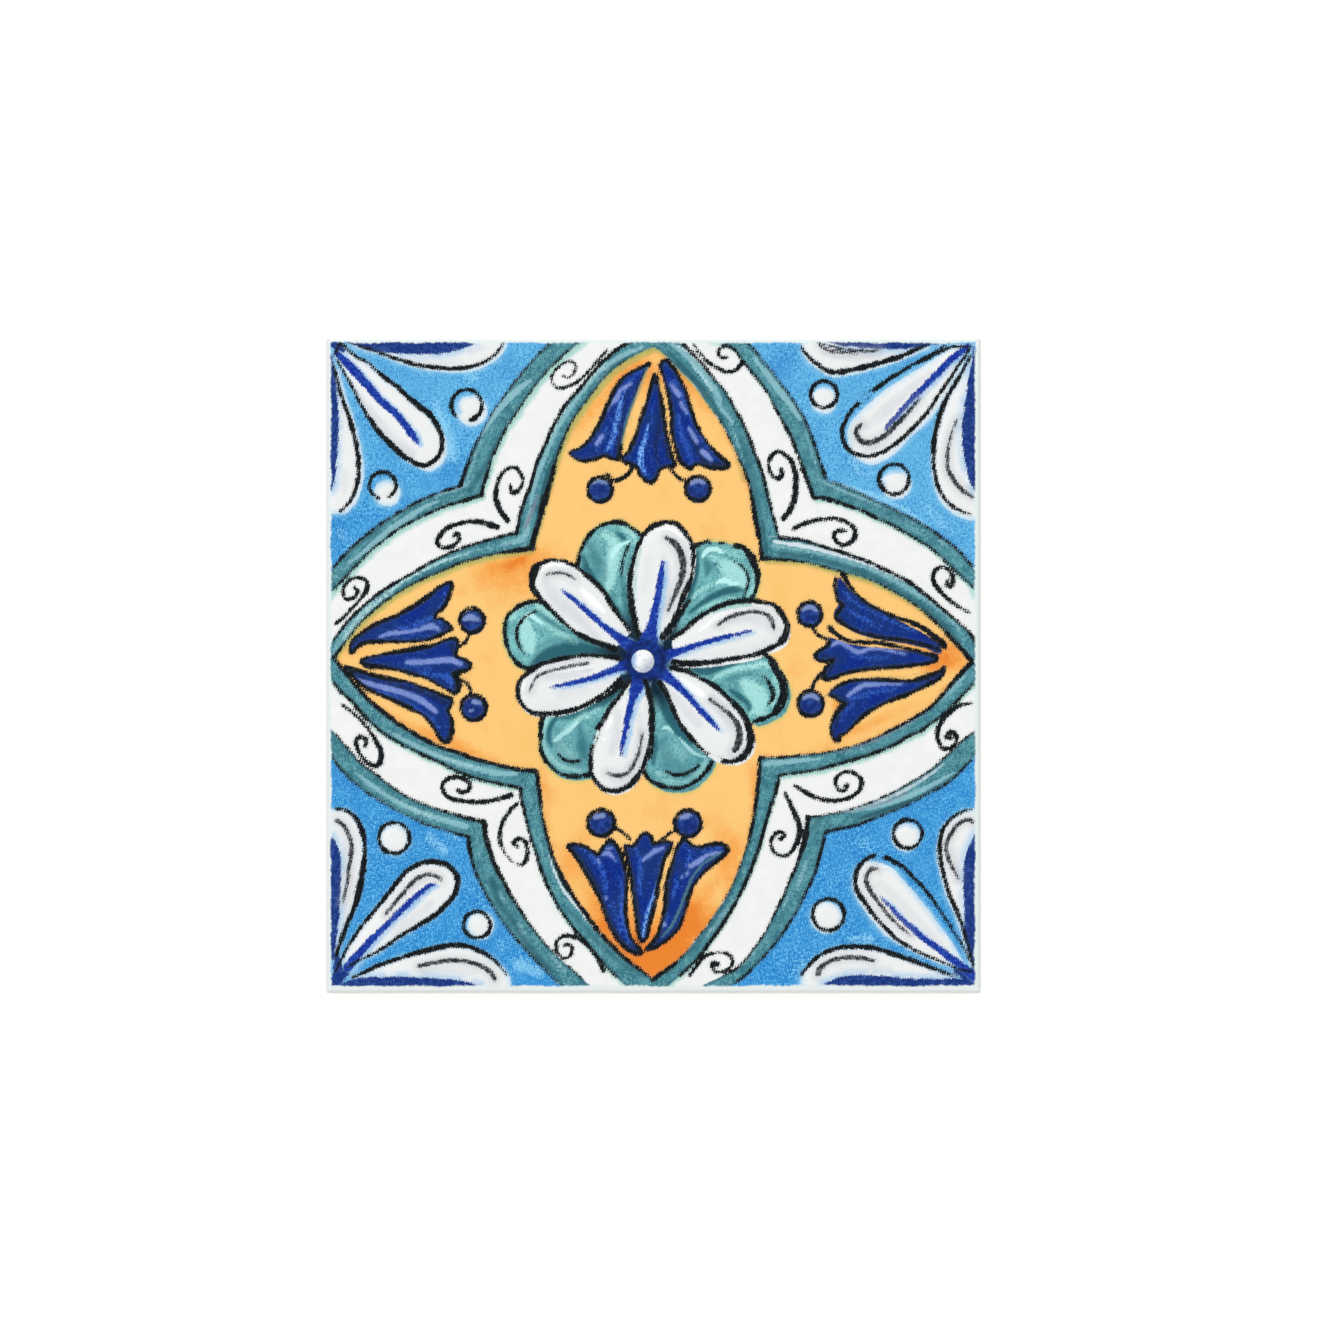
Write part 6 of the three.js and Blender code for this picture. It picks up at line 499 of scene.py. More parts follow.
        (0.8, 0.91, [(-8.37, 83.64), (-9.59, 77.58), (-10.81, 69.7), (-10.81, 64.85)], [1.22, 1.52, 1.82, 1.82]),
        (0.6, 0.91, [(1.07, 86.67), (1.98, 80.61), (1.98, 74.55), (0.76, 66.97), (1.37, 61.82)], [0.91, 1.52, 1.82, 1.82, 1.82]),
        (0.5, 0.76, [(-1.07, 85.15), (-2.59, 79.09), (-4.11, 73.03), (-6.54, 66.97)], [0.91, 1.22, 1.22, 1.22]),
        (0.8, 0.91, [(3.5, 68.48), (4.72, 63.64)], [1.22, 2.13]),
        (0.95, 0.91, [(11.11, 70), (13.55, 66.06), (15.98, 62.12), (21.16, 60.91)], [0.91, 1.52, 1.82, 2.13]),
        (0.4, 0.61, [(4.41, 89.7), (4.41, 83.64), (5.63, 74.55), (6.85, 66.97)], [0.61, 0.91, 1.22, 1.22]),
        (0.8, 0.91, [(-91.78, 7.27), (-89.35, 9.7), (-84.47, 12.42)], [2.13, 2.13, 1.52]),
        (0.6, 0.61, [(-84.78, 7.27), (-77.17, 7.58), (-69.56, 8.48)], [0.91, 0.91, 0.91]),
        (0.7, 0.91, [(-64.38, 12.73), (-62.56, 11.21)], [1.52, 1.52]),
        (0.85, 0.76, [(-61.34, 6.36), (-61.04, 3.33)], [1.22, 1.22]),
        (1, 0.76, [(-61.04, -4.85), (-59.82, -7.27)], [1.22, 1.82]),
        (0.6, 0.61, [(-88.13, 0.91), (-81.74, 3.33), (-74.12, 4.55), (-64.99, 6.36)], [1.52, 0.91, 0.76, 0.76]),
        (0.6, 0.76, [(-57.69, 1.52), (-56.77, -0.3)], [1.22, 1.52]),
        (0.85, 0.91, [(-92.39, -1.82), (-86.3, -4.55), (-77.17, -6.36), (-69.56, -8.18), (-63.47, -11.21)], [1.52, 1.22, 1.52, 1.52, 1.82]),
        (0.7, 0.91, [(-62.25, -13.33), (-61.64, -17.88), (-62.56, -21.82)], [1.22, 1.52, 1.22]),
        (0.5, 0.61, [(-90.26, -4.85), (-83.26, -8.48), (-74.12, -12.73)], [0.61, 0.76, 0.91]),
        (0.9, 0.91, [(-24.2, -55.76), (-21.77, -59.39), (-18.72, -64.24), (-16.29, -69.39), (-14.46, -75.45), (-12.02, -80.61), (-8.68, -85.45), (-5.33, -86.97)], [1.22, 1.52, 1.82, 1.82, 1.82, 2.13, 2.43, 1.52]),
        (0.5, 0.61, [(-14.16, -61.21), (-12.94, -64.85), (-11.42, -68.48)], [0.91, 0.91, 0.91]),
        (0.8, 0.91, [(-14.46, -54.24), (-12.33, -54.85)], [1.22, 1.52]),
        (0.85, 0.91, [(-8.07, -55.15), (-7.15, -60.3), (-5.94, -66.36), (-5.02, -72.42), (-4.41, -79.39)], [1.22, 1.52, 1.52, 1.52, 1.22]),
        (0.8, 0.91, [(7.46, -54.55), (5.94, -60.3), (5.02, -66.36), (4.41, -72.42), (2.59, -80), (0.46, -83.94)], [1.52, 1.52, 1.52, 1.22, 1.52, 1.82]),
        (0.7, 0.76, [(4.41, -55.15), (3.2, -58.79)], [1.52, 0.91]),
        (0.7, 0.91, [(56.16, 22.42), (57.38, 18.79), (56.16, 15.76), (59.21, 12.42)], [0.91, 1.22, 1.22, 1.22]),
        (0.6, 0.61, [(62.86, 10.61), (71.99, 8.48), (82.65, 5.76)], [0.91, 0.91, 1.22]),
        (0.7, 0.91, [(51.29, 3.33), (54.34, 1.21), (53.12, -2.42)], [1.52, 1.52, 1.52]),
        (0.5, 0.76, [(59.82, -1.21), (68.95, -0.3), (79.6, 0.61)], [0.91, 0.91, 0.91]),
        (0.7, 0.91, [(55.56, -8.79), (59.21, -10.91), (56.77, -14.85), (54.95, -20.3)], [1.22, 1.22, 1.52, 1.22]),
        (0.5, 0.76, [(62.86, -15.15), (68.95, -11.52), (76.56, -8.48), (84.17, -4.85)], [0.91, 0.91, 0.91, 1.22]),
    ],
    "nblue": [  # brighter blue on the tulips: speckled blue of the print, and at full strength painted highlights
        (0.8, 0.91, [(-8.37, 84.85), (-9.89, 80.61), (-11.11, 74.55), (-12.63, 68.48), (-14.46, 65.45)], [0.91, 1.82, 2.43, 2.13, 1.22]),
        (0.5, 0.91, [(-14.16, 73.03), (-15.68, 68.48), (-17.5, 65.45)], [1.22, 1.22, 0.91]),
        (0.4, 0.91, [(-2.59, 90.61), (-6.54, 87.58), (-9.59, 84.24)], [0.91, 1.52, 1.22]),
        (1, 0.91, [(-1.67, 73.33), (-2.59, 69.09), (-3.81, 65.45), (-3.81, 61.52), (-2.28, 58.18)], [0.91, 1.52, 2.13, 2.13, 0.91]),
        (0.45, 0.61, [(0.46, 80.61), (-0.46, 76.97), (-0.76, 73.03)], [0.61, 0.91, 0.91]),
        (0.65, 0.55, [(4.41, 87.58), (6.54, 86.36), (8.98, 81.82), (10.5, 78.18), (12.02, 74.55), (14.16, 70), (16.59, 66.97), (19.33, 63.64)], [0.61, 0.91, 0.76, 0.76, 0.76, 0.91, 0.91, 0.61]),
        (0.55, 1.22, [(7.46, 76.06), (8.68, 70), (10.5, 65.45), (11.72, 61.82)], [1.52, 2.13, 2.13, 1.52]),
        (0.6, 0.91, [(-79.3, 13.33), (-76.56, 11.52), (-73.52, 12.12), (-69.56, 13.94), (-65.91, 15.15), (-64.69, 12.73)], [0.61, 1.52, 1.52, 1.82, 1.82, 1.52]),
        (0.35, 0.91, [(-81.74, 7.88), (-74.12, 8.79), (-66.51, 9.7)], [0.61, 1.22, 1.22]),
        (0.5, 0.46, [(-62.86, 23.03), (-63.77, 20), (-65.6, 17.58)], [0.61, 0.76, 0.61]),
        (0.6, 0.91, [(-71.69, -1.82), (-66.51, -2.73), (-62.25, -3.64), (-61.64, -5.45)], [0.91, 1.52, 2.13, 1.22]),
        (0.9, 0.36, [(-61.34, -3.64), (-61.64, -5.15)], [0.46, 0.46]),
        (0.3, 1.22, [(-77.17, 0.61), (-68.04, -0.91)], [1.52, 1.82]),
        (0.45, 0.91, [(-83.87, -7.88), (-78.69, -9.39), (-73.52, -12.12), (-68.04, -15.76), (-64.99, -18.79)], [0.91, 1.52, 1.52, 1.52, 1.22]),
        (0.6, 0.61, [(-90.87, -2.73), (-89.95, -3.64)], [0.61, 0.91]),
        (0.65, 0.91, [(-20.55, -56.36), (-18.11, -58.79), (-16.29, -61.21), (-15.07, -64.24), (-14.46, -68.48)], [0.91, 1.82, 1.82, 1.52, 1.22]),
        (0.7, 0.91, [(-9.89, -64.85), (-9.59, -69.39), (-9.89, -73.94), (-8.98, -78.48), (-7.76, -82.42), (-6.54, -83.94)], [0.91, 1.22, 1.52, 1.52, 1.22, 0.61]),
        (0.45, 0.91, [(-12.63, -71.82), (-11.11, -76.97), (-9.59, -81.52)], [1.52, 1.82, 1.52]),
        (0.5, 0.46, [(-15.07, -55.76), (-13.55, -54.85), (-12.02, -56.06), (-10.5, -59.39)], [0.61, 0.61, 0.61, 0.61]),
        (0.55, 0.91, [(-5.33, -55.76), (-4.11, -59.39), (-4.11, -64.85), (-4.11, -69.39)], [1.52, 1.82, 1.82, 1.22]),
        (0.95, 0.76, [(1.07, -66.06), (-0.15, -70.91), (-1.67, -75.45), (-2.89, -80.61), (-3.81, -83.64)], [0.91, 1.52, 1.82, 1.52, 0.76]),
        (0.6, 0.91, [(10.5, -55.15), (11.11, -57.88), (9.28, -61.21)], [1.22, 1.22, 0.91]),
        (0.6, 0.76, [(7.15, -65.45), (6.54, -67.88), (5.63, -70.91)], [1.22, 1.52, 0.91]),
        (0.55, 0.76, [(4.41, -75.45), (3.81, -77.58)], [1.22, 0.91]),
        (0.6, 0.61, [(15.07, -56.67), (17.81, -55.76), (20.55, -55.15)], [0.91, 1.22, 0.91]),
        (0.4, 0.91, [(8.98, -53.64), (9.89, -55.76)], [1.22, 1.22]),
        (0.75, 0.55, [(57.38, 23.03), (60.43, 20), (65.3, 16.97), (70.47, 14.55), (75.65, 12.12), (80.21, 10.3)], [0.61, 0.76, 0.76, 0.76, 0.76, 0.61]),
        (0.5, 0.91, [(59.82, 16.97), (64.38, 13.94), (68.95, 11.52)], [1.52, 1.82, 1.22]),
        (0.4, 0.91, [(59.82, 3.33), (65.91, 2.42), (71.99, 2.73)], [1.52, 1.82, 1.22]),
        (0.55, 0.91, [(59.21, -10.3), (62.25, -9.39), (67.43, -7.88), (73.52, -7.27)], [1.22, 1.82, 1.82, 1.22]),
        (0.5, 0.76, [(56.77, -16.97), (58.3, -13.94), (60.73, -11.82)], [0.91, 1.22, 1.22]),
    ],
    "nedge": [  # greenish edge beside the tulips
        (0.95, 0.55, [(-1.67, 91.21), (-3.35, 86.67), (-5.02, 82.42), (-7.31, 77.27), (-8.83, 71.52), (-9.59, 66.97)], [0.91, 1.06, 1.06, 1.06, 1.06, 0.91]),
        (0.6, 0.55, [(1.07, 87.58), (1.98, 84.85), (2.59, 81.82)], [0.61, 0.76, 0.61]),
        (0.5, 0.55, [(2.59, -60.3), (1.67, -64.24), (0.46, -68.79)], [0.61, 0.91, 0.91]),
        (0.85, 0.61, [(20.85, -56.67), (17.2, -58.79), (14.16, -61.21), (11.42, -65.15), (9.59, -70), (7.76, -74.55), (5.33, -79.39), (2.59, -82.42)], [0.61, 0.91, 0.91, 0.91, 1.06, 1.06, 1.06, 0.76]),
        (0.4, 0.61, [(-62.86, 18.48), (-64.69, 16.36), (-65.91, 14.85)], [0.61, 0.91, 0.91]),
        (0.4, 0.55, [(-90.56, 10.3), (-85.69, 13.33), (-80.82, 16.06)], [0.61, 0.76, 0.76]),
        (0.5, 0.61, [(65.91, -3.03), (75.04, -3.33), (84.17, -1.52)], [0.61, 0.76, 0.61]),
    ],
    "lilac": [  # lilac grey on the ribbons
        (0.85, 0.61, [(-35.16, 52.12), (-36.38, 48.48), (-37.9, 44.85), (-39.12, 41.82)], [0.61, 1.06, 1.22, 0.91]),
        (0.7, 0.61, [(-77.17, 48.79), (-69.56, 51.52), (-63.47, 53.33), (-58.3, 54.55)], [0.61, 0.91, 1.06, 0.61]),
        (0.6, 0.61, [(56.16, -26.36), (65.91, -23.33), (75.04, -18.79), (84.17, -12.73), (89.65, -8.18)], [0.61, 0.91, 0.91, 0.91, 0.61]),
        (0.6, 0.76, [(55.25, -44.85), (62.86, -43.64), (70.47, -41.52), (77.47, -38.48)], [0.61, 0.91, 1.06, 0.91]),
        (0.4, 0.61, [(-18.11, 85.15), (-13.24, 90.91), (-8.37, 95.15)], [0.61, 0.91, 0.61]),
        (0.5, 0.61, [(-79.6, -20.3), (-71.08, -24.55), (-61.95, -28.18)], [0.61, 0.76, 0.76]),
    ],
    "hubdark": [  # dark arcs round the hub
        (0.85, 0.76, [(-6.85, 4.85), (-7.76, 2.42), (-7.46, -0.61)], [0.91, 1.22, 1.22]),
        (0.7, 0.76, [(-5.02, -3.03), (-2.28, -4.24), (0.46, -3.33)], [0.91, 1.22, 0.91]),
        (0.8, 0.76, [(1.98, 4.85), (3.2, 2.42), (2.28, -0.61)], [0.91, 1.22, 0.91]),
        (0.6, 0.76, [(-4.11, 6.67), (-1.07, 6.97)], [0.91, 0.91]),
    ],
    "smoke": [  # teal that strays onto orange
        (0.28, 0.91, [(-29.38, 61.82), (-26.64, 68.48), (-22.37, 76.06), (-16.89, 83.03), (-10.81, 89.39), (-4.11, 93.64)], [0.91, 1.22, 1.22, 1.22, 1.22, 0.91]),
        (0.3, 0.91, [(27.55, -58.18), (25.11, -65.45), (20.85, -73.33), (15.07, -81.82), (9.89, -87.58)], [0.91, 1.22, 1.22, 1.22, 0.91]),
        (0.22, 0.76, [(-89.35, 11.82), (-80.21, 19.39), (-69.56, 25.45), (-57.38, 30.91), (-45.21, 33.64)], [0.61, 1.22, 1.22, 1.22, 0.91]),
        (0.8, 1.22, [(14.16, 87.27), (19.03, 79.7), (22.68, 72.12), (25.72, 63.94), (27.55, 56.36)], [0.91, 1.52, 1.82, 1.52, 0.91]),
        (0.4, 0.91, [(27.85, -57.27), (25.72, -63.33), (21.77, -70.91)], [0.61, 0.91, 0.91]),
    ],
    "grey": [  # painted shade: faint grey on the white petals
        (0.8, 2.43, [(-32.72, 25.45), (-28.46, 19.39), (-22.98, 14.55), (-17.5, 9.09)], [3.04, 4.26, 3.65, 2.43]),
        (0.6, 1.82, [(3.2, 33.64), (4.41, 26.06), (3.2, 18.48), (1.37, 12.42)], [1.82, 2.74, 2.43, 1.52]),
        (0.3, 2.43, [(-1.67, 32.12), (-2.89, 23.03)], [3.04, 2.43]),
        (0.6, 1.82, [(23.29, 13.33), (29.38, 13.94), (33.94, 12.12)], [1.22, 2.43, 2.43]),
        (0.4, 1.82, [(20.24, 7.88), (27.85, 9.09)], [2.43, 2.43]),
        (0.7, 1.82, [(17.81, -9.7), (21.46, -13.94), (23.29, -18.79)], [1.82, 3.65, 2.43]),
        (0.7, 1.52, [(4.41, -7.27), (8.68, -12.12), (13.55, -17.58)], [1.82, 2.74, 2.74]),
        (0.7, 1.82, [(-10.81, -13.94), (-11.42, -20.91), (-12.63, -26.06)], [2.43, 2.43, 2.43]),
        (0.6, 1.52, [(-4.11, -14.85), (-4.11, -22.42)], [1.52, 1.52]),
        (0.5, 1.52, [(-7.76, -30.91), (-4.72, -27.88)], [1.82, 1.52]),
        (0.7, 1.82, [(-32.12, -3.64), (-25.42, -3.03), (-19.33, -1.21)], [1.82, 2.13, 1.52]),
        (0.5, 2.43, [(-28.46, -8.79), (-20.85, -6.67)], [3.04, 2.43]),
        (0.8, 1.82, [(-91.78, 85.15), (-86.3, 77.58), (-80.21, 70), (-73.52, 64.85)], [1.22, 2.43, 3.04, 2.74]),
        (0.5, 1.82, [(-77.17, 93.33), (-68.04, 92.12), (-58.9, 92.73)], [1.22, 1.82, 1.52]),
        (0.5, 1.82, [(-55.86, 95.76), (-51.29, 97.27)], [2.43, 1.82]),
        (0.5, 1.82, [(-93.91, 59.39), (-94.22, 53.33)], [1.82, 1.82]),
        (0.7, 1.82, [(84.17, 89.09), (76.56, 83.03), (70.47, 77.58), (65.3, 73.03)], [1.52, 2.74, 3.65, 2.43]),
        (0.7, 1.82, [(52.51, 95.15), (59.82, 93.94), (68.95, 94.55)], [1.82, 2.43, 2.13]),
        (0.6, 1.52, [(90.26, 71.52), (88.74, 63.94), (89.04, 57.88)], [1.22, 1.52, 1.52]),
        (0.5, 1.52, [(64.38, 65.45), (70.47, 66.97)], [1.22, 1.52]),
        (0.6, 1.82, [(-68.04, -72.42), (-72.6, -76.36), (-78.69, -81.52)], [2.43, 3.04, 2.43]),
        (0.5, 1.52, [(-91.78, -61.82), (-92.39, -69.39), (-94.22, -76.36)], [1.82, 1.82, 1.52]),
        (0.6, 1.52, [(-71.08, -93.33), (-61.95, -92.73), (-54.34, -93.64)], [1.52, 1.82, 1.22]),
        (0.5, 1.82, [(-74.12, -67.88), (-69.56, -65.45)], [1.82, 1.82]),
        (0.6, 1.82, [(68.95, -66.36), (75.04, -72.42), (82.65, -80), (88.74, -86.06)], [2.43, 3.04, 2.43, 1.52]),
        (0.6, 1.82, [(56.77, -92.73), (64.38, -92.73), (71.99, -92.12)], [1.82, 2.13, 1.52]),
        (0.6, 1.82, [(91.78, -55.76), (92.39, -64.85)], [1.82, 1.82]),
        (0.4, 1.52, [(65.91, -72.42), (70.47, -78.48)], [1.22, 1.52]),
    ],
}
# where the white of two corner petals lies
FILL = {
    "tr_d": [(91.78, 97.58), (84.78, 93.03), (78.39, 89.09), (71.69, 84.85), (66.51, 80.61), (62.56, 76.97), (59.82, 73.64), (59.06, 70), (60.43, 64.85), (62.56, 62.73), (66.06, 61.36), (69.56, 62.24), (73.82, 64.85), (78.39, 69.7), (84.78, 75.76), (90.56, 84.55), (95.74, 95.76)],
    "br_d": [(94.22, -91.09), (93.3, -88.33), (90.56, -83.64), (86.82, -78.58), (83.11, -73.48), (79.3, -68.79), (75.65, -64.67), (72.91, -61.82), (68.95, -60), (64.69, -59.39), (62.25, -61.21), (60.73, -64.85), (60.88, -68.48), (63.47, -73.33), (66.82, -77.88), (71.08, -82.42), (76.56, -85.76), (82.65, -88.79), (88.74, -91.21)],
}
# deeper patches of the orange: x, y, two radii, angle, strength
DEEP = [
    (-43.07, 31.52, 7.9, 2.74, 15, 0.5),
    (-39.42, 33.03, 3.65, 1.22, 25, 0.25),
    (-28.46, 59.39, 3.04, 18.24, 75, 0),
    (-0.46, -87.58, 12.16, 9.73, 0, 1.3),
    (-16.29, -80, 7.9, 10.94, -30, 0.6),
    (14.16, -81.52, 7.3, 12.16, 30, 0.7),
    (24.81, -60.3, 4.26, 15.2, 22, 0.4),
    (-23.9, -58.79, 4.26, 13.38, -22, 0.3),
    (90.26, 3.33, 7.9, 4.26, 0, 0.75),
    (75.04, 7.88, 18.24, 1.52, -25, 0.3),
    (-4.11, 89.09, 7.3, 4.26, 0, 0.5),
    (-87.82, 7.88, 7.9, 4.26, 30, 0.25),
    (30.9, -40.61, 1.52, 12.16, 5, 0.35),
    (11.11, 91.21, 3.04, 7.9, -35, 0.4),
    (-68.04, -20.91, 18.24, 1.52, -25, 0.3),
    (-55.86, -25.45, 9.12, 1.82, -20, 0.3),
    (65.91, -17.88, 18.24, 2.13, 25, 0.3),
    (-33.03, -37.58, 1.52, 12.16, 5, 0.25),
    (-40.03, 28.18, 12.77, 6.69, 12, 0.4),
    (-12.63, 83.64, 15.2, 3.04, 47, 0.32),
    (11.42, 84.85, 12.77, 2.43, -55, 0.32),
    (-17.5, -70.91, 22.5, 2.74, -54, 0.22),
    (14.76, -70.91, 21.28, 2.74, 58, 0.25),
    (85.08, -0.61, 3.65, 1.82, 0, 0.6),
    (56.16, -11.82, 1.82, 2.74, 0, 0.5),
]
# paler patches of the blue
PALE = [
    (-61.95, 59.39, 6.69, 4.26, 45, 0.6),
    (-96.04, 41.21, 2.43, 6.69, 0, 0.8),
    (-45.21, 91.21, 4.26, 5.47, 60, 0.4),
    (-78.69, 89.09, 7.9, 2.13, -20, 0.35),
    (38.51, 91.21, 4.26, 9.12, -35, 0.75),
    (62.86, 63.94, 5.47, 3.65, 30, 0.5),
    (88.74, 36.67, 6.69, 4.26, -30, 0.5),
    (76.56, 92.73, 9.12, 2.43, 25, 0.4),
    (49.16, 68.48, 3.04, 4.26, 0, 0.4),
    (-93.91, -34.55, 3.65, 6.08, 20, 0.5),
    (-64.99, -64.85, 6.08, 4.26, -45, 0.4),
    (-86.3, -83.03, 3.65, 6.08, 0, 0.3),
    (-52.82, -86.06, 4.26, 6.08, 0, 0.4),
    (59.82, -52.73, 4.26, 9.12, 30, 0.5),
    (75.04, -89.09, 7.3, 3.04, -30, 0.4),
    (94.82, -70.91, 2.43, 9.12, 0, 0.3),
    (44.6, -92.12, 7.9, 3.04, 0, 0.3),
    (81.13, -40.61, 9.12, 3.04, 30, 0.3),
]
# how far each white dot's colour sits off its ring: right, down
WHITE_SLIP = {
    "tl1": (1.52, 1.82),
    "tl2": (1.52, 2.43),
    "tr1": (0.15, 1.82),
    "tr2": (0.61, 1.67),
    "bl1": (0, 0.3),
    "bl2": (1.22, 0.3),
    "br1": (-0.61, 0.91),
    "br2": (-0.61, 0.91),
}
# rings drawn only part of the way round: degrees from, to
RING_GAP = {
    "tl1": (-75, 225),
    "tl2": (-60, 250),
}
SLIP = [(1.52, 1.52), (0.61, 1.67), (-0.3, 1.37), (0.46, 1.22)]  # colour against outline, right and down, at the four corners
INK_W = {"li": {"top_l": 1.98, "top_r": 1.37, "right_t": 1.22, "right_b": 1.22, "bot_r": 1.37, "bot_l": 1.37, "left_b": 1.37, "left_t": 1.67}, "lo": {"top_l": 1.22, "top_r": 1.06, "right_t": 1.22, "right_b": 1.06, "bot_r": 1.22, "bot_l": 1.06, "left_b": 1.06, "left_t": 1.06}, "oo": {"tl_h": 1.22, "tl_v": 1.37, "tr_v": 1.22, "tr_h": 1.06, "br_h": 1.22, "br_v": 1.22, "bl_h": 1.22, "bl_v": 1.22}, "oi": {"tl_h": 1.37, "tl_v": 1.22, "tr_v": 1.37, "tr_h": 1.52, "br_h": 1.22, "br_v": 1.52, "bl_h": 1.37, "bl_v": 1.52}, "petal": 1.52, "teal": 1.37, "tulip": 1.28, "corner": {"tl_t": 1.16, "tl_l": 1.34, "tl_d": 1.52, "tr_t": 1.52, "tr_d": 1.28, "tr_r": 1.4, "bl_l": 1.64, "bl_d": 1.4, "bl_b": 1.46, "br_d": 1.28, "br_r": 1.28, "br_b": 1.46}, "ring": 1.31}  # line widths
# how far each petal's colour spreads past its outline: right, down
FLOWER_SLIP = {
    "w1": (0.61, 0.61),
    "w2": (0.61, 1.52),
    "w3": (0.91, 1.22),
    "w4": (0.3, 1.22),
    "w5": (0, 0.91),
    "w6": (0.3, 0.3),
    "t1": (0.61, 0.3),
    "t2": (0.3, 0.61),
    "t3": (1.22, 1.52),
    "t4": (0.91, 1.52),
    "t5": (0.3, 1.22),
    "t6": (-0.3, 0.61),
}
# the same for the corner petals, and whether the outline's own area is filled too
CORNER_SLIP = {
    "tl_d": (1.52, 1.82, 1),
    "tl_t": (0.91, 1.22, 1),
    "tl_l": (1.52, 0.91, 1),
    "tr_d": (0.91, 2.13, 0),
    "tr_t": (0, 1.52, 1),
    "tr_r": (-0.61, 1.82, 1),
    "bl_d": (0.3, 0.3, 1),
    "bl_l": (0, 0.61, 1),
    "bl_b": (1.22, 0.91, 1),
    "br_d": (-1.22, 0.61, 0),
    "br_r": (-0.91, 0.61, 1),
    "br_b": (-0.3, 1.22, 1),
}
HUB_X, HUB_Y, HUB_R = -2.44, 1.67, 6.08
HUBDOT_X, HUBDOT_Y, HUBDOT_R = -3.26, 1.45, 3.44
# how the ribbons' inner outline thins along each arc: (part of its length, share of its width)
THIN = {
    "top_l": [(0, 1), (0.22, 0.95), (0.42, 0.45), (0.6, 0.24), (0.86, 0.2), (1, 0)],
    "top_r": [(0, 0), (0.3, 0.05), (0.45, 0.4), (0.66, 0.75), (0.8, 1.2), (1, 1.3)],
    "left_t": [(0, 0.6), (0.1, 0.4), (0.85, 0.38), (0.93, 1), (1, 1.1)],
    "right_t": [(0, 1.1), (0.12, 0.8), (0.3, 0.45), (0.6, 0.55), (0.8, 1.1), (1, 1.3)],
    "right_b": [(0, 1.2), (0.3, 1), (0.55, 0.5), (0.8, 0.55), (1, 1)],
    "bot_r": [(0, 1), (0.3, 0.8), (0.42, 0.3), (0.84, 0.2), (0.92, 1), (1, 1)],
}
# the same for the outer ribbons, blue side and white side
THIN_OO = {
    "tl_h": [(0, 0.85), (0.3, 0.6), (0.75, 0.6), (0.92, 0.9), (1, 1.05)],
    "tl_v": [(0, 1.1), (0.15, 0.85), (0.3, 0.5), (0.6, 0.42), (1, 0.42)],
    "tr_v": [(0, 0.55), (0.4, 0.6), (0.7, 0.75), (1, 0.85)],
    "tr_h": [(0, 0.55), (0.3, 0.5), (0.45, 0.75), (1, 0.8)],
    "br_h": [(0, 0.55), (0.5, 0.55), (0.8, 0.75), (0.95, 1), (1, 1)],
    "br_v": [(0, 1), (0.15, 0.9), (0.3, 0.65), (0.6, 0.58), (1, 0.6)],
    "bl_h": [(0, 0.75), (0.3, 0.6), (0.5, 0.5), (0.85, 0.5), (0.95, 0.9), (1, 1)],
    "bl_v": [(0, 1), (0.3, 0.85), (0.6, 0.6), (1, 0.5)],
}
THIN_OI = {
    "tl_h": [(0, 0.6), (0.3, 0.55), (0.8, 0.65), (0.93, 0.9), (1, 1)],
    "tl_v": [(0, 1.05), (0.2, 0.8), (0.4, 0.55), (1, 0.5)],
    "tr_v": [(0, 0.55), (0.2, 0.65), (0.6, 0.8), (0.85, 0.95), (1, 1)],
    "tr_h": [(0, 0.9), (0.2, 0.8), (0.5, 0.62), (1, 0.5)],
    "br_h": [(0, 0.6), (0.5, 0.5), (0.8, 0.45), (0.93, 0.55), (1, 0.9)],
    "br_v": [(0, 1.15), (0.15, 1.1), (0.3, 0.65), (0.6, 0.5), (1, 0.45)],
    "bl_h": [(0, 0.6), (0.3, 0.55), (0.8, 0.62), (0.93, 0.95), (1, 1)],
    "bl_v": [(0, 1.1), (0.25, 1), (0.5, 0.7), (0.76, 0.45), (0.81, 0), (0.86, 0), (0.9, 0.4), (1, 0.4)],
}
ALBEDO = 0.86  # painted colours to surface albedo under this light
FLOOR_GLOW = (0.26, 0.75)  # near the tile, far away
WORLD = ((0.0, 1.0), (0.2, 1.0), (0.29, 0.35), (0.42, 0.35), (0.65, 0.86), (0.85, 0.12))  # sine of height, brightness
VIEW_W = 401.8  # width of the view at the face
CAM_X, CAM_Y = 1.98, 1.82
# name, place and size in metres, watts
BOXES = [
    ("key", -1.1, 1.2, 1.4, 0.55, 21.0),
    ("right", 1.3, 0.6, 1.3, 0.55, 10.5),
    ("left", -1.2, -1.0, 1.3, 0.55, 9.6),
    ("front", 0.9, -1.2, 1.3, 0.55, 8.7),
]


MM = 0.001
SIDE = 200.0  # both sides of the tile, mm
BODY = 8.0  # flat of the face over the back, mm
EDGE_ROUND = 2.0
CHAMFER = 0.8
CORNER_R = 0.8
PRINT = (-98.2, 97.9, -97.4, 98.5)  # the painted square: left, right, bottom, top

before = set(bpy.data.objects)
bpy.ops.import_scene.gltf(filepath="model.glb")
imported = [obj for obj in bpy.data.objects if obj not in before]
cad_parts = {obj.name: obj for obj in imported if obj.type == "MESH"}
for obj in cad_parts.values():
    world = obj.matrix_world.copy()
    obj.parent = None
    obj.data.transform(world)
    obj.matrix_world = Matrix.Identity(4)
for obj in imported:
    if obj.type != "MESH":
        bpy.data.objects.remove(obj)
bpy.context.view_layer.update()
rng = np.random.default_rng(7)


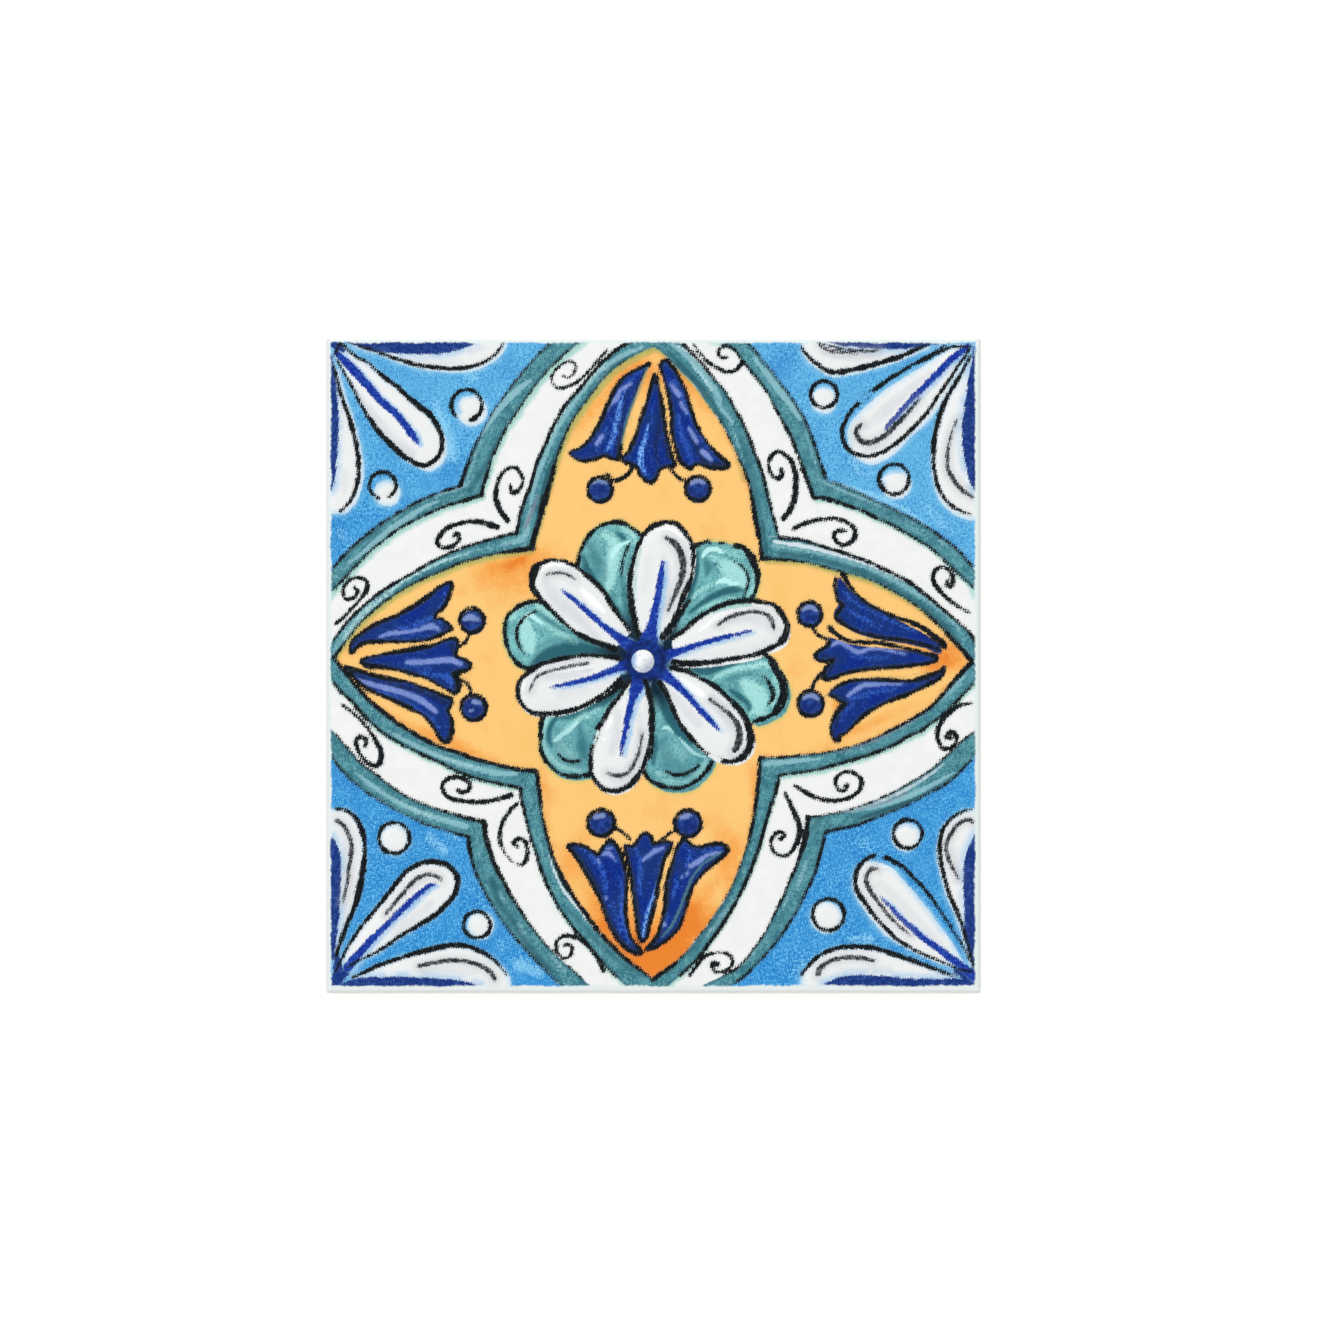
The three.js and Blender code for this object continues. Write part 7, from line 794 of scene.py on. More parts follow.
# ---------------------------------------------------------------- curves
def spline(points, closed=False, step=0.45, extra=None):
    """Catmull-Rom curve through the points, sampled about every step mm. extra is a list of one number a point, carried along."""
    p = np.array(points, float)
    if extra is not None:
        p = np.column_stack([p, np.array(extra, float)])
    n = len(p)
    out = []
    for i in range(n if closed else n - 1):
        p0 = p[(i - 1) % n] if (closed or i > 0) else 2 * p[0] - p[1]
        p1, p2 = p[i], p[(i + 1) % n]
        p3 = p[(i + 2) % n] if (closed or i + 2 < n) else 2 * p[-1] - p[-2]
        k = max(2, int(np.ceil(np.hypot(*(p2 - p1)[:2]) / step)))
        t = (np.arange(k) / k)[:, None]
        out.append(
            0.5
            * (
                2 * p1
                + (p2 - p0) * t
                + (2 * p0 - 5 * p1 + 4 * p2 - p3) * t**2
                + (3 * p1 - p0 - 3 * p2 + p3) * t**3
            )
        )
    out.append(p[:1] if closed else p[-1:])
    return np.vstack(out)


def chain(*arcs):
    """Arcs that meet at sharp corners: each is a smooth curve of its own."""
    return np.vstack([spline(a) for a in arcs])


def run_out(c, d=8.0):
    """The same curve with both ends carried straight on by d mm."""
    a = c[0] + (c[0] - c[4]) / np.hypot(*(c[0] - c[4])) * d
    b = c[-1] + (c[-1] - c[-5]) / np.hypot(*(c[-1] - c[-5])) * d
    return np.vstack([a, c, b])


def slip(p):
    """The colours sit a little off the outlines, more so at upper left. Moves points from the outline's place to the colour's."""
    p = np.array(p, float)
    u = (p[:, 0] + 100) / 200
    v = (100 - p[:, 1]) / 200
    dx = (1 - u) * (1 - v) * SLIP[0][0] + u * (1 - v) * SLIP[1][0] + (1 - u) * v * SLIP[2][0] + u * v * SLIP[3][0]
    dy = (1 - u) * (1 - v) * SLIP[0][1] + u * (1 - v) * SLIP[1][1] + (1 - u) * v * SLIP[2][1] + u * v * SLIP[3][1]
    q = p.copy()
    q[:, 0] += dx
    q[:, 1] -= dy
    return q


# ---------------------------------------------------------------- fields on the face's grid
FLAT = SIDE / 2 - EDGE_ROUND
INNER_N = 282
_round = [1 - math.cos(a * math.pi / 10) for a in range(0, 5)]
_edge = [EDGE_ROUND * r for r in _round]  # 0 .. just under EDGE_ROUND
_inner = np.linspace(-FLAT, FLAT, INNER_N)
C = np.concatenate([[-SIDE / 2 + e for e in _edge], _inner, [SIDE / 2 - e for e in reversed(_edge)]])
N = len(C)
GX, GY = np.meshgrid(C, C)  # row j is y, column i is x
FAR = 7.0


def window(lo, hi, r):
    i0, i1 = np.searchsorted(C, lo - r), np.searchsorted(C, hi + r)
    return i0, i1


def stroke(field, pts, half, reach=FAR):
    """field = min(field, distance to the curve minus its half width)."""
    half = np.broadcast_to(np.asarray(half, float), (len(pts),))
    for k in range(len(pts) - 1):
        a, b = pts[k], pts[k + 1]
        i0, i1 = window(min(a[0], b[0]), max(a[0], b[0]), reach)
        j0, j1 = window(min(a[1], b[1]), max(a[1], b[1]), reach)
        if i0 >= i1 or j0 >= j1:
            continue
        x, y = GX[j0:j1, i0:i1] - a[0], GY[j0:j1, i0:i1] - a[1]
        ex, ey = b[0] - a[0], b[1] - a[1]
        L = ex * ex + ey * ey + 1e-12
        t = np.clip((x * ex + y * ey) / L, 0, 1)
        d = np.hypot(x - t * ex, y - t * ey) - (half[k] + (half[k + 1] - half[k]) * t)
        w = field[j0:j1, i0:i1]
        np.minimum(w, d, out=w)
    return field


def empty(v=FAR):
    return np.full((N, N), v)


def inside(pts):
    m = np.zeros((N, N), bool)
    q = np.vstack([pts, pts[:1]])
    for a, b in zip(q[:-1], q[1:]):
        if a[1] == b[1]:
            continue
        lo, hi = (a, b) if a[1] < b[1] else (b, a)
        j0, j1 = np.searchsorted(C, lo[1]), np.searchsorted(C, hi[1])
        if j0 >= j1:
            continue
        yy = C[j0:j1]
        xx = lo[0] + (yy - lo[1]) / (hi[1] - lo[1]) * (hi[0] - lo[0])
        m[j0:j1] ^= C[None, :] > xx[:, None]
    return m


def region(pts, reach=FAR):
    """Signed distance to a closed outline, positive inside."""
    q = np.vstack([pts, pts[:1]])
    d = stroke(empty(reach), q, 0.0, reach)
    return np.where(inside(pts), d, -d)


def union(fields):
    out = fields[0].copy()
    for f in fields[1:]:
        np.maximum(out, f, out=out)
    return out


def blur(f, passes=1):
    for _ in range(passes):
        g = np.pad(f, 1, mode="edge")
        g = (g[:-2] + 2 * g[1:-1] + g[2:]) / 4
        f = (g[:, :-2] + 2 * g[:, 1:-1] + g[:, 2:]) / 4
    return f


def smooth01(x):
    x = np.clip(x, 0, 1)
    return x * x * (3 - 2 * x)


# ---- outlines
ORDER = ["top_l", "top_r", "right_t", "right_b", "bot_r", "bot_l", "left_b", "left_t"]
li_loop = chain(*[LI[k] for k in ORDER])
lo_chain = {
    "UL": run_out(chain(LO["left_t"], LO["top_l"])),
    "UR": run_out(chain(LO["top_r"], LO["right_t"])),
    "LR": run_out(chain(LO["right_b"], LO["bot_r"])),
    "LL": run_out(chain(LO["bot_l"], LO["left_b"])),
}
lo_loop = np.vstack([lo_chain[k] for k in ("UL", "UR", "LR", "LL")])
CORNERS = {"UL": (-1, 1), "UR": (1, 1), "LR": (1, -1), "LL": (-1, -1)}
PAIR = {"UL": ("tl_h", "tl_v"), "UR": ("tr_v", "tr_h"), "LR": ("br_h", "br_v"), "LL": ("bl_h", "bl_v")}


def corner_loop(c, key):
    sx, sy = CORNERS[key]
    first, last = c[0], c[-1]

    def out(p):
        return (sx * 140, p[1]) if abs(p[0]) > abs(p[1]) else (p[0], sy * 140)

    return np.vstack([c, [out(last), (sx * 140, sy * 140), out(first)]])


oo_chain = {k: run_out(chain(OO[a], OO[b])) for k, (a, b) in PAIR.items()}
oi_chain = {k: run_out(chain(OI[a], OI[b])) for k, (a, b) in PAIR.items()}


def moved(p, d):
    """The points moved right and down by d, mm."""
    return np.array(p, float)[:, :2] + np.array([d[0], -d[1]])


field_r, field_c = region(li_loop), region(slip(li_loop))
star_r, star_c = region(lo_loop), region(slip(lo_loop))
corner_r = union([region(corner_loop(c, k)) for k, c in oo_chain.items()])
corner_c = union([region(corner_loop(slip(c), k)) for k, c in oo_chain.items()])
band_r = union([region(corner_loop(c, k)) for k, c in oi_chain.items()])
band_c = union([region(corner_loop(slip(c), k)) for k, c in oi_chain.items()])

HUBXY = np.array(DOTS["hub"][:2])
wp_pts = {k: spline(PETALS[k]) for k in ("w1", "w2", "w3", "w4", "w5", "w6")}
tp_pts = {}
for k in ("t1", "t2", "t3", "t4", "t5", "t6"):
    arc = spline(PETALS[k])
    tp_pts[k] = np.vstack([HUBXY + (arc[0] - HUBXY) * 0.15, arc, HUBXY + (arc[-1] - HUBXY) * 0.15])
wp_r = union([region(p) for p in wp_pts.values()])
wp_c = union([wp_r] + [region(moved(p, FLOWER_SLIP[k])) for k, p in wp_pts.items()])
tp_r = union([region(p) for p in tp_pts.values()])
hubdisc = np.clip(12.0 - np.hypot(GX - HUB_X, GY - HUB_Y), -FAR, FAR)
tp_c = union([tp_r, hubdisc] + [region(moved(p, FLOWER_SLIP[k])) for k, p in tp_pts.items()])
tu_pts = {k: spline(v, True)[:-1] for k, v in TULIPS.items()}
tu_r = union([region(p) for p in tu_pts.values()])
tu_c = tu_r


def disc(x, y, r):
    a = np.linspace(0, 2 * np.pi, 40, endpoint=False)
    return np.column_stack([x + r * np.cos(a), y + r * np.sin(a)])


def ball(x, y, r):
    """Signed distance to a circle, positive inside."""
    return np.clip(r - np.hypot(GX - x, GY - y), -FAR, FAR)


navy_dots = [k for k in DOTS if k.endswith("s") or k in ("tt1", "tt2", "tb1", "tb2")]
navy_dots = ["tt1", "tt2", "tl1s", "tl2s", "tr1s", "tr2s", "tb1", "tb2"]
white_dots = ["tl1", "tl2", "tr1", "tr2", "bl1", "bl2", "br1", "br2"]
nd_r = union([ball(*DOTS[k]) for k in navy_dots])
nd_c = union([ball(DOTS[k][0] + 0.3, DOTS[k][1] - 0.5, DOTS[k][2]) for k in navy_dots])
wd_r = union([ball(*DOTS[k]) for k in white_dots])
wd_c = union([ball(DOTS[k][0] + WHITE_SLIP[k][0], DOTS[k][1] - WHITE_SLIP[k][1], DOTS[k][2]) for k in white_dots])
hub_r = ball(*DOTS["hub"])
hubdot_r = ball(*DOTS["hubdot"])


def to_edge(points, side):
    p = spline(points)
    e = {"t": (None, 104), "b": (None, -104), "l": (-104, None), "r": (104, None)}[side]

    def foot(q):
        return (q[0] if e[0] is None else e[0], q[1] if e[1] is None else e[1])

    return np.vstack([p, [foot(p[-1]), foot(p[0])]])


cd_pts = {k: spline(CORNER[k]) for k in ("tl_d", "tr_d", "bl_d", "br_d")}
ce_pts = {k: to_edge(CORNER[k], k[-1]) for k in CORNER if not k.endswith("_d")}
cp_r = union([region(p) for p in cd_pts.values()])
ce_r = union([region(p) for p in ce_pts.values()])
cw_c = [wd_c]
for k, p in list(cd_pts.items()) + list(ce_pts.items()):
    if k in FILL:
        cw_c.append(region(spline(FILL[k], True)[:-1]))
        continue
    dx, dy, keep = CORNER_SLIP[k]
    cw_c.append(region(moved(p, (dx, dy))))
    if keep:
        cw_c.append(region(p))
cw_c = union(cw_c)
leaf_c = union([region(to_edge(p, s)) for s, p in LEAF])

# ---- outline strokes, in place
def wave(n, amount, seed):
    """Slow swelling of a brush line, seeded."""
    r = np.random.default_rng(seed)
    t = np.linspace(0, 1, n)
    s = sum(r.normal() * np.sin(2 * np.pi * (f * t + r.random())) for f in (1.3, 2.7, 5.1, 8.3))
    return 1 + amount * s / 2


ink = empty()
seed = 20
for arcs, w, thin in ((LI, INK_W["li"], THIN), (LO, INK_W["lo"], {}), (OO, INK_W["oo"], THIN_OO), (OI, INK_W["oi"], THIN_OI)):
    for k, a in arcs.items():
        seed += 1
        c = spline(a)
        ww = (w[k] if isinstance(w, dict) else w) / 2 * wave(len(c), 0.14, seed)
        if k in thin:
            at, share = zip(*thin[k])
            ww = ww * np.interp(np.linspace(0, 1, len(c)), at, share) - 0.12 * (np.interp(np.linspace(0, 1, len(c)), at, share) < 0.1)
        stroke(ink, c, ww)
for k, p in list(wp_pts.items()):
    seed += 1
    stroke(ink, p, INK_W["petal"] / 2 * wave(len(p), 0.16, seed))
under = empty()
for k in ("t1", "t2", "t3", "t4", "t5", "t6"):
    seed += 1
    p = spline(PETALS[k])
    stroke(ink, p, INK_W["teal"] / 2 * wave(len(p), 0.18, seed))
for k, p in tu_pts.items():
    seed += 1
    if k in ("tr_t", "tr_m"):
        continue
    q = np.vstack([p, p[:1]])
    stroke(ink, q, INK_W["tulip"] / 2 * wave(len(q), 0.2, seed))
for k, p in CORNER.items():
    seed += 1
    q = spline(p)
    taper = np.ones(len(q))
    t = np.linspace(0, 1, len(q))
    taper = 0.55 + 0.6 * np.sin(np.pi * np.clip(t, 0, 1)) ** 0.7
    stroke(ink, q, INK_W["corner"][k] / 2 * taper * wave(len(q), 0.12, seed))
for k in white_dots + navy_dots:
    seed += 1
    x, y, r = DOTS[k]
    a0, a1 = RING_GAP.get(k, (0, 360))
    a = np.radians(np.linspace(a0, a1, 50))
    q = np.column_stack([x + r * np.cos(a), y + r * np.sin(a)])
    stroke(ink, q, INK_W["ring"] / 2 * wave(len(q), 0.16, seed))
for k, (p, w) in SCROLLS.items():
    q = spline(p, extra=w)
    stroke(ink, q[:, :2], q[:, 2] / 2)
for p, w in STEM + VEIN + EXTRA_INK:
    q = spline(p, extra=w)
    stroke(ink, q[:, :2], q[:, 2] / 2)


def painted(strokes):
    f = empty()
    for p, w in strokes:
        q = spline(p, extra=w)
        stroke(f, q[:, :2], q[:, 2] / 2)
    return f


ink = np.maximum(ink, -painted(INK_GAP))
leaf_c = np.maximum(leaf_c, -painted(TIPS))


def tones(strokes):
    """Soft strokes laid over each other: 0 outside, up to their strength inside."""
    f = np.zeros((N, N))
    for strength, soft, p, w in strokes:
        q = spline(p, extra=w)
        d = empty()
        stroke(d, q[:, :2], q[:, 2] / 2)
        f = np.maximum(f, strength * smooth01(0.5 - d / soft))
    return f


tone = {k: tones(v) for k, v in TONE.items()}
blue_f = painted(BLUE)
blue_wash = empty()
for p, w in BLUE:
    q = spline(p, extra=w)
    stroke(blue_wash, q[:, :2] + np.array([1.1, -0.55]), q[:, 2] / 2 - 0.1)
shade_f = painted(SHADE)
light_f = painted(LIGHT)


# ---- painted patches: how deep the orange is, how watery the blue is
def patches(spots):
    f = np.zeros((N, N))
    for x, y, rx, ry, ang, s in spots:
        c, sn = math.cos(math.radians(ang)), math.sin(math.radians(ang))
        u = ((GX - x) * c + (GY - y) * sn) / rx
        v = (-(GX - x) * sn + (GY - y) * c) / ry
        f += s * np.exp(-(u * u + v * v))
    return f


deep_f = patches(DEEP)
pale_f = patches(PALE)

# ---------------------------------------------------------------- relief
def dome(sd, h, r):
    """Height of a swelling whose edge is r mm wide."""
    t = np.clip(sd / r, 0, 1)
    return h * (1 - (1 - t) ** 2)


rib_in = np.minimum(star_r, -field_r)
rib_out = np.minimum(band_r, -corner_r)
H = np.zeros((N, N))
H = np.maximum(H, dome(np.maximum(rib_in, rib_out), 0.48, 1.9))
H = np.maximum(H, dome(tp_r, 0.5, 5.0))
H = np.maximum(H, dome(tu_r, 0.48, 2.2))
H = np.maximum(H, dome(cp_r, 0.6, 6.0))
H = np.maximum(H, dome(ce_r, 0.42, 4.0))
H = np.maximum(H, dome(np.maximum(nd_r, wd_r), 0.75, 3.9))
H = np.maximum(H, dome(wp_r, 0.66, 5.0))
H = np.where(hub_r > 0, np.maximum(H * np.clip(1 - hub_r, 0, 1), 0.45 * smooth01(hub_r / 1.5) + 0.35 * dome(hubdot_r, 1.0, 3.2)), H)
# a shallow groove beside the raised shapes, where the outline's glaze is thin
H -= 0.05 * np.exp(-np.clip(np.abs(ink), 0, 3) ** 2 / 0.35)
reach = np.clip((98.2 - np.maximum(np.abs(GX), np.abs(GY))) / 1.2, 0, 1)
H = blur(H * reach, 2)
# painted light and shade from the relief's slopes, as if lit from upper left
hx = np.gradient(H, axis=1) / np.gradient(GX, axis=1)
hy = np.gradient(H, axis=0) / np.gradient(GY, axis=0)
painted_light_slope = blur((hx * 0.7071 - hy * 0.7071), 1)  # positive on slopes that face upper left

# ---------------------------------------------------------------- the mesh
d_in = SIDE / 2 - np.maximum(np.abs(GX), np.abs(GY))
t = np.clip(1 - d_in / EDGE_ROUND, 0, 1)
Z = BODY - EDGE_ROUND * (1 - np.sqrt(np.clip(1 - t * t, 0, 1))) + H
X, Y = GX.copy(), GY.copy()
cc = SIDE / 2 - CORNER_R
px, py = np.abs(X) - cc, np.abs(Y) - cc
m = (px > 0) & (py > 0)
e = np.hypot(px, py)
k = np.where(m, np.maximum(px, py) / np.maximum(e, 1e-9), 1)
X = np.where(m, np.sign(X) * (cc + px * k), X)
Y = np.where(m, np.sign(Y) * (cc + py * k), Y)

top = np.column_stack([X.ravel(), Y.ravel(), Z.ravel()])
idx = np.arange(N * N).reshape(N, N)
quads = np.column_stack([idx[:-1, :-1].ravel(), idx[:-1, 1:].ravel(), idx[1:, 1:].ravel(), idx[1:, :-1].ravel()])
loop = np.concatenate([idx[0, :-1], idx[:-1, -1], idx[-1, :0:-1], idx[:0:-1, 0]])
M = len(loop)
rim = top[loop]
rings = []
for z, inset in ((3.6, 0.0), (CHAMFER, 0.0), (0.0, CHAMFER), (0.0, 12.0)):
    r = rim.copy()
    r[:, 2] = z
    r[:, :2] *= (SIDE / 2 - inset) / (SIDE / 2)
    rings.append(r)
verts = np.vstack([top] + rings)
start = N * N
ring_idx = [loop] + [start + i * M + np.arange(M) for i in range(len(rings))]
side = []
for a, b in zip(ring_idx[:-1], ring_idx[1:]):
    side.append(np.column_stack([a, b, np.roll(b, -1), np.roll(a, -1)]))
side = np.vstack(side)
faces = np.vstack([quads, side])
back = ring_idx[-1][::-1]

mesh = bpy.data.meshes.new("tile_glazed")
mesh.vertices.add(len(verts))
mesh.vertices.foreach_set("co", (verts * MM).astype(np.float32).ravel())
corner_v = np.concatenate([faces.ravel(), back])
starts = np.concatenate([np.arange(len(faces)) * 4, [len(faces) * 4]])
mesh.loops.add(len(corner_v))
mesh.loops.foreach_set("vertex_index", corner_v.astype(np.int32))
mesh.polygons.add(len(starts))
mesh.polygons.foreach_set("loop_start", starts.astype(np.int32))
smooth_flag = np.ones(len(starts), bool)
smooth_flag[len(quads) + 2 * M :] = False
mesh.polygons.foreach_set("use_smooth", smooth_flag)
mesh.update(calc_edges=True)
mesh.validate()

# ---- one UV map: the face takes most of the square
uv = mesh.uv_layers.new(name="OFBake")
FACE = 0.862
co = verts[corner_v]
U = np.zeros((len(corner_v), 2))
nq = len(quads) * 4
U[:nq, 0] = 0.004 + (co[:nq, 0] + 100) / 200 * FACE
U[:nq, 1] = 0.004 + (co[:nq, 1] + 100) / 200 * FACE
along = np.concatenate([[0], np.cumsum(np.hypot(*np.diff(np.vstack([rim, rim[:1]])[:, :2], axis=0).T))])
quarter = (np.arange(M) // (M // 4)).clip(0, 3)
for s in range(len(ring_idx) - 2):  # the sides and the chamfer
    z_hi, z_lo = (6.0, 3.6, CHAMFER)[s], (3.6, CHAMFER, 0.0)[s]
    base = nq + s * M * 4
    for q in range(4):
        r = np.where(quarter == q)[0]
        a0 = along[r] - along[r[0]]
        a1 = along[r + 1] - along[r[0]]
        off = 0.872 + 0.0325 * (q % 2)
        lo_v = (6.2 - z_hi) / 200 * FACE
        hi_v = (6.2 - z_lo) / 200 * FACE
        for c_i, (aa, vv) in enumerate(((a0, lo_v), (a0, hi_v), (a1, hi_v), (a1, lo_v))):
            u_ = 0.004 + aa / 200 * FACE
            v_ = off + vv
            li_ = base + r * 4 + c_i
            if q < 2:
                U[li_, 0], U[li_, 1] = v_, u_
            else:
                U[li_, 0], U[li_, 1] = u_, v_
nb = nq + (len(ring_idx) - 2) * M * 4
U[nb:, 0] = 0.936 + (co[nb:, 0]) / 200 * 0.118
U[nb:, 1] = 0.936 + (co[nb:, 1]) / 200 * 0.118
uv.data.foreach_set("uv", U.astype(np.float32).ravel())


def put(name, a, b, c):
    att = mesh.attributes.new(name, "FLOAT_VECTOR", "POINT")
    v = np.zeros((len(verts), 3), np.float32)
    for i, f in enumerate((a, b, c)):
        v[: N * N, i] = f.ravel()
        v[N * N :, i] = np.tile(f.ravel()[loop], len(rings))
    att.data.foreach_set("vector", v.ravel())


put("f_field", field_r, np.maximum(rib_in, rib_out), deep_f)
put("f_corner", np.maximum(np.minimum(star_c, -field_c), np.minimum(band_c, -corner_c)), corner_r, pale_f)
put("f_petal", wp_c, tp_c, tu_c)
put("f_dot", nd_c, cw_c, leaf_c)
put("f_line", ink, blue_f, shade_f)
# painted highlight strokes, the blue strokes' halo, and painted light and shade of the slopes
put("f_gloss", light_f, blue_wash, painted_light_slope)
put("f_tone", tone["light"], tone["dark"], tone["hi"])
put("f_stray", tone["gap"], tone["mint"], tone["pale"])
put("f_soft", tone["smoke"], tone["grey"], tone["wash"])
put("f_navy", tone["ndark"], tone["nblue"], tone["nedge"])
put("f_more", tone["lilac"], tone["hubdark"], tone["hubdark"])

tile = bpy.data.objects.new("tile_glazed", mesh)
bpy.context.scene.collection.objects.link(tile)


# ---------------------------------------------------------------- material
def S(r, g, b):
    """A colour as the eye's 0-255 numbers."""
    f = lambda v: v / 255 / 12.92 if v / 255 <= 0.04045 else ((v / 255 + 0.055) / 1.055) ** 2.4
    return (f(r) * ALBEDO, f(g) * ALBEDO, f(b) * ALBEDO, 1.0)


class Graph:
    def __init__(s, name):
        s.mat = bpy.data.materials.new(name)
        s.mat.use_nodes = True
        s.t = s.mat.node_tree
        s.t.nodes.clear()

    def node(s, kind):
        return s.t.nodes.new(kind)

    def plug(s, sock, v):
        if isinstance(v, bpy.types.NodeSocket):
            s.t.links.new(v, sock)
        else:
            sock.default_value = v

    def m(s, op, a, b=0.0, c=0.0, clamp=False):
        n = s.node("ShaderNodeMath")
        n.operation = op
        n.use_clamp = clamp
        s.plug(n.inputs[0], a)
        if len(n.inputs) > 1:
            s.plug(n.inputs[1], b)
            s.plug(n.inputs[2], c)
        return n.outputs[0]

    def add(s, a, b):
        return s.m("ADD", a, b)

    def sub(s, a, b):
        return s.m("SUBTRACT", a, b)

    def mul(s, a, b):
        return s.m("MULTIPLY", a, b)

    def ss(s, x, e0, e1, lo=0.0, hi=1.0):
        n = s.node("ShaderNodeMapRange")
        n.interpolation_type = "SMOOTHSTEP"
        s.plug(n.inputs["Value"], x)
        for key, v in (("From Min", e0), ("From Max", e1), ("To Min", lo), ("To Max", hi)):
            s.plug(n.inputs[key], v)
        return n.outputs["Result"]

    def mix(s, fac, a, b, mode="MIX"):
        n = s.node("ShaderNodeMix")
        n.data_type = "RGBA"
        n.blend_type = mode
        n.clamp_factor = True
        s.plug(n.inputs[0], fac)
        s.plug(n.inputs[6], a)
        s.plug(n.inputs[7], b)
        return n.outputs[2]

    def attr(s, name):
        n = s.node("ShaderNodeAttribute")
        n.attribute_name = name
        sep = s.node("ShaderNodeSeparateXYZ")
        s.t.links.new(n.outputs["Vector"], sep.inputs[0])
        return sep.outputs[0], sep.outputs[1], sep.outputs[2]

    def noise(s, scale, detail=2.0, rough=0.5, vec=None, dist=0.0):
        n = s.node("ShaderNodeTexNoise")
        n.inputs["Scale"].default_value = scale
        n.inputs["Detail"].default_value = detail
        n.inputs["Roughness"].default_value = rough
        n.inputs["Distortion"].default_value = dist
        s.t.links.new(vec or s.vec, n.inputs["Vector"])
        return n.outputs["Fac"]


g = Graph("majolica_glaze")
tc = g.node("ShaderNodeTexCoord")
to_mm = g.node("ShaderNodeVectorMath")
to_mm.operation = "SCALE"
to_mm.inputs[3].default_value = 1000.0
g.t.links.new(tc.outputs["Object"], to_mm.inputs[0])
g.vec = to_mm.outputs[0]
pos = g.node("ShaderNodeSeparateXYZ")
g.t.links.new(g.vec, pos.inputs[0])
PX, PY, PZ = pos.outputs

field, rib, deep = g.attr("f_field")
ribslip, corner, pale = g.attr("f_corner")
wpet, tpet, tulip = g.attr("f_petal")
ndot, cwhite, leaf = g.attr("f_dot")
inkd, blued, shaded = g.attr("f_line")
lightd, bluewash, painted_slope_light = g.attr("f_gloss")
t_light, t_dark, t_hi = g.attr("f_tone")
t_gap, t_mint, t_pale = g.attr("f_stray")
t_smoke, t_grey, t_wash = g.attr("f_soft")
t_nd, t_nb, t_ne = g.attr("f_navy")
t_lilac, t_hub, _ = g.attr("f_more")


def centred(scale, amp, detail=1.0, rough=0.5):
    """Noise of that scale per mm, about 0, with that amplitude in mm."""
    return g.mul(g.sub(g.noise(scale, detail, rough), 0.5), amp * 2)




def stripes(kx, ky):
    """Fine regular stripes, kx and ky per mm."""
    return g.m("SINE", g.add(g.mul(PX, kx * 2 * math.pi), g.mul(PY, ky * 2 * math.pi)))


screen = g.add(g.mul(stripes(1.32, -0.337), 0.62), g.mul(stripes(0.337, 1.32), 0.38))  # the print's fine screen
saw = g.add(g.add(centred(1.45, 0.36, 0.5), centred(0.55, 0.22, 0.0)), g.mul(screen, 0.23))  # the print's ragged edge
saw_soft = g.add(centred(0.9, 0.5, 1.0), centred(0.3, 0.35, 0.0))
wash = g.noise(0.075, 3.0, 0.6)  # slow mottling of a wash
wash2 = g.noise(0.22, 4.0, 0.62)
grain = g.noise(1.7, 2.0, 0.7)


def stretched(sx, sy, scale, detail, rough):
    """Noise drawn out along one axis."""
    n = g.node("ShaderNodeVectorMath")
    n.operation = "MULTIPLY"
    g.plug(n.inputs[0], g.vec)
    n.inputs[1].default_value = (sx, sy, 1.0)
    return g.noise(scale, detail, rough, vec=n.outputs[0])


# the fine weave left by the screen
weave = g.add(g.sub(stretched(0.7, 1.25, 1.5, 1.0, 0.5), 0.5), g.sub(stretched(1.3, 0.65, 1.5, 1.0, 0.5), 0.5))
weave = g.mul(weave, g.ss(g.noise(0.1, 2.0, 0.5), 0.35, 0.6, 0.8, 1.35))
weave = g.add(weave, g.mul(screen, 0.17))


def dab(t, lo=0.12, hi=0.92, rough=0.75):
    """A soft stroke whose middle tones break up in the weave."""
    return g.ss(g.add(t, g.mul(weave, rough)), lo, hi)


col = g.mix(g.ss(wash2, 0.35, 0.7), S(241, 243, 242), S(246, 247, 246))
col = g.mix(g.mul(t_mint, 0.9), col, S(160, 216, 208))

# --- orange field
o_mask = g.ss(g.add(field, g.mul(saw_soft, 0.5)), -0.25, 0.25)
o_deep = g.add(g.mul(deep, g.ss(wash2, 0.3, 0.7, 0.75, 1.15)), g.ss(wash, 0.5, 0.75, 0.0, 0.18))
o_deep = g.add(o_deep, g.mul(g.sub(grain, 0.5), g.ss(deep, 0.03, 0.5, 0.3, 0.9)))
orange = g.mix(g.ss(o_deep, 0.0, 0.45), S(254, 204, 124), S(250, 172, 84))
orange = g.mix(g.ss(o_deep, 0.4, 0.95), orange, S(238, 134, 46))
orange = g.mix(g.ss(wash, 0.3, 0.48, 0.45, 0.0), orange, S(251, 196, 108))
orange = g.mix(g.mul(g.ss(field, 2.6, 0.2), g.ss(wash2, 0.4, 0.65, 0.0, 0.5)), orange, S(236, 150, 70))
col = g.mix(o_mask, col, orange)

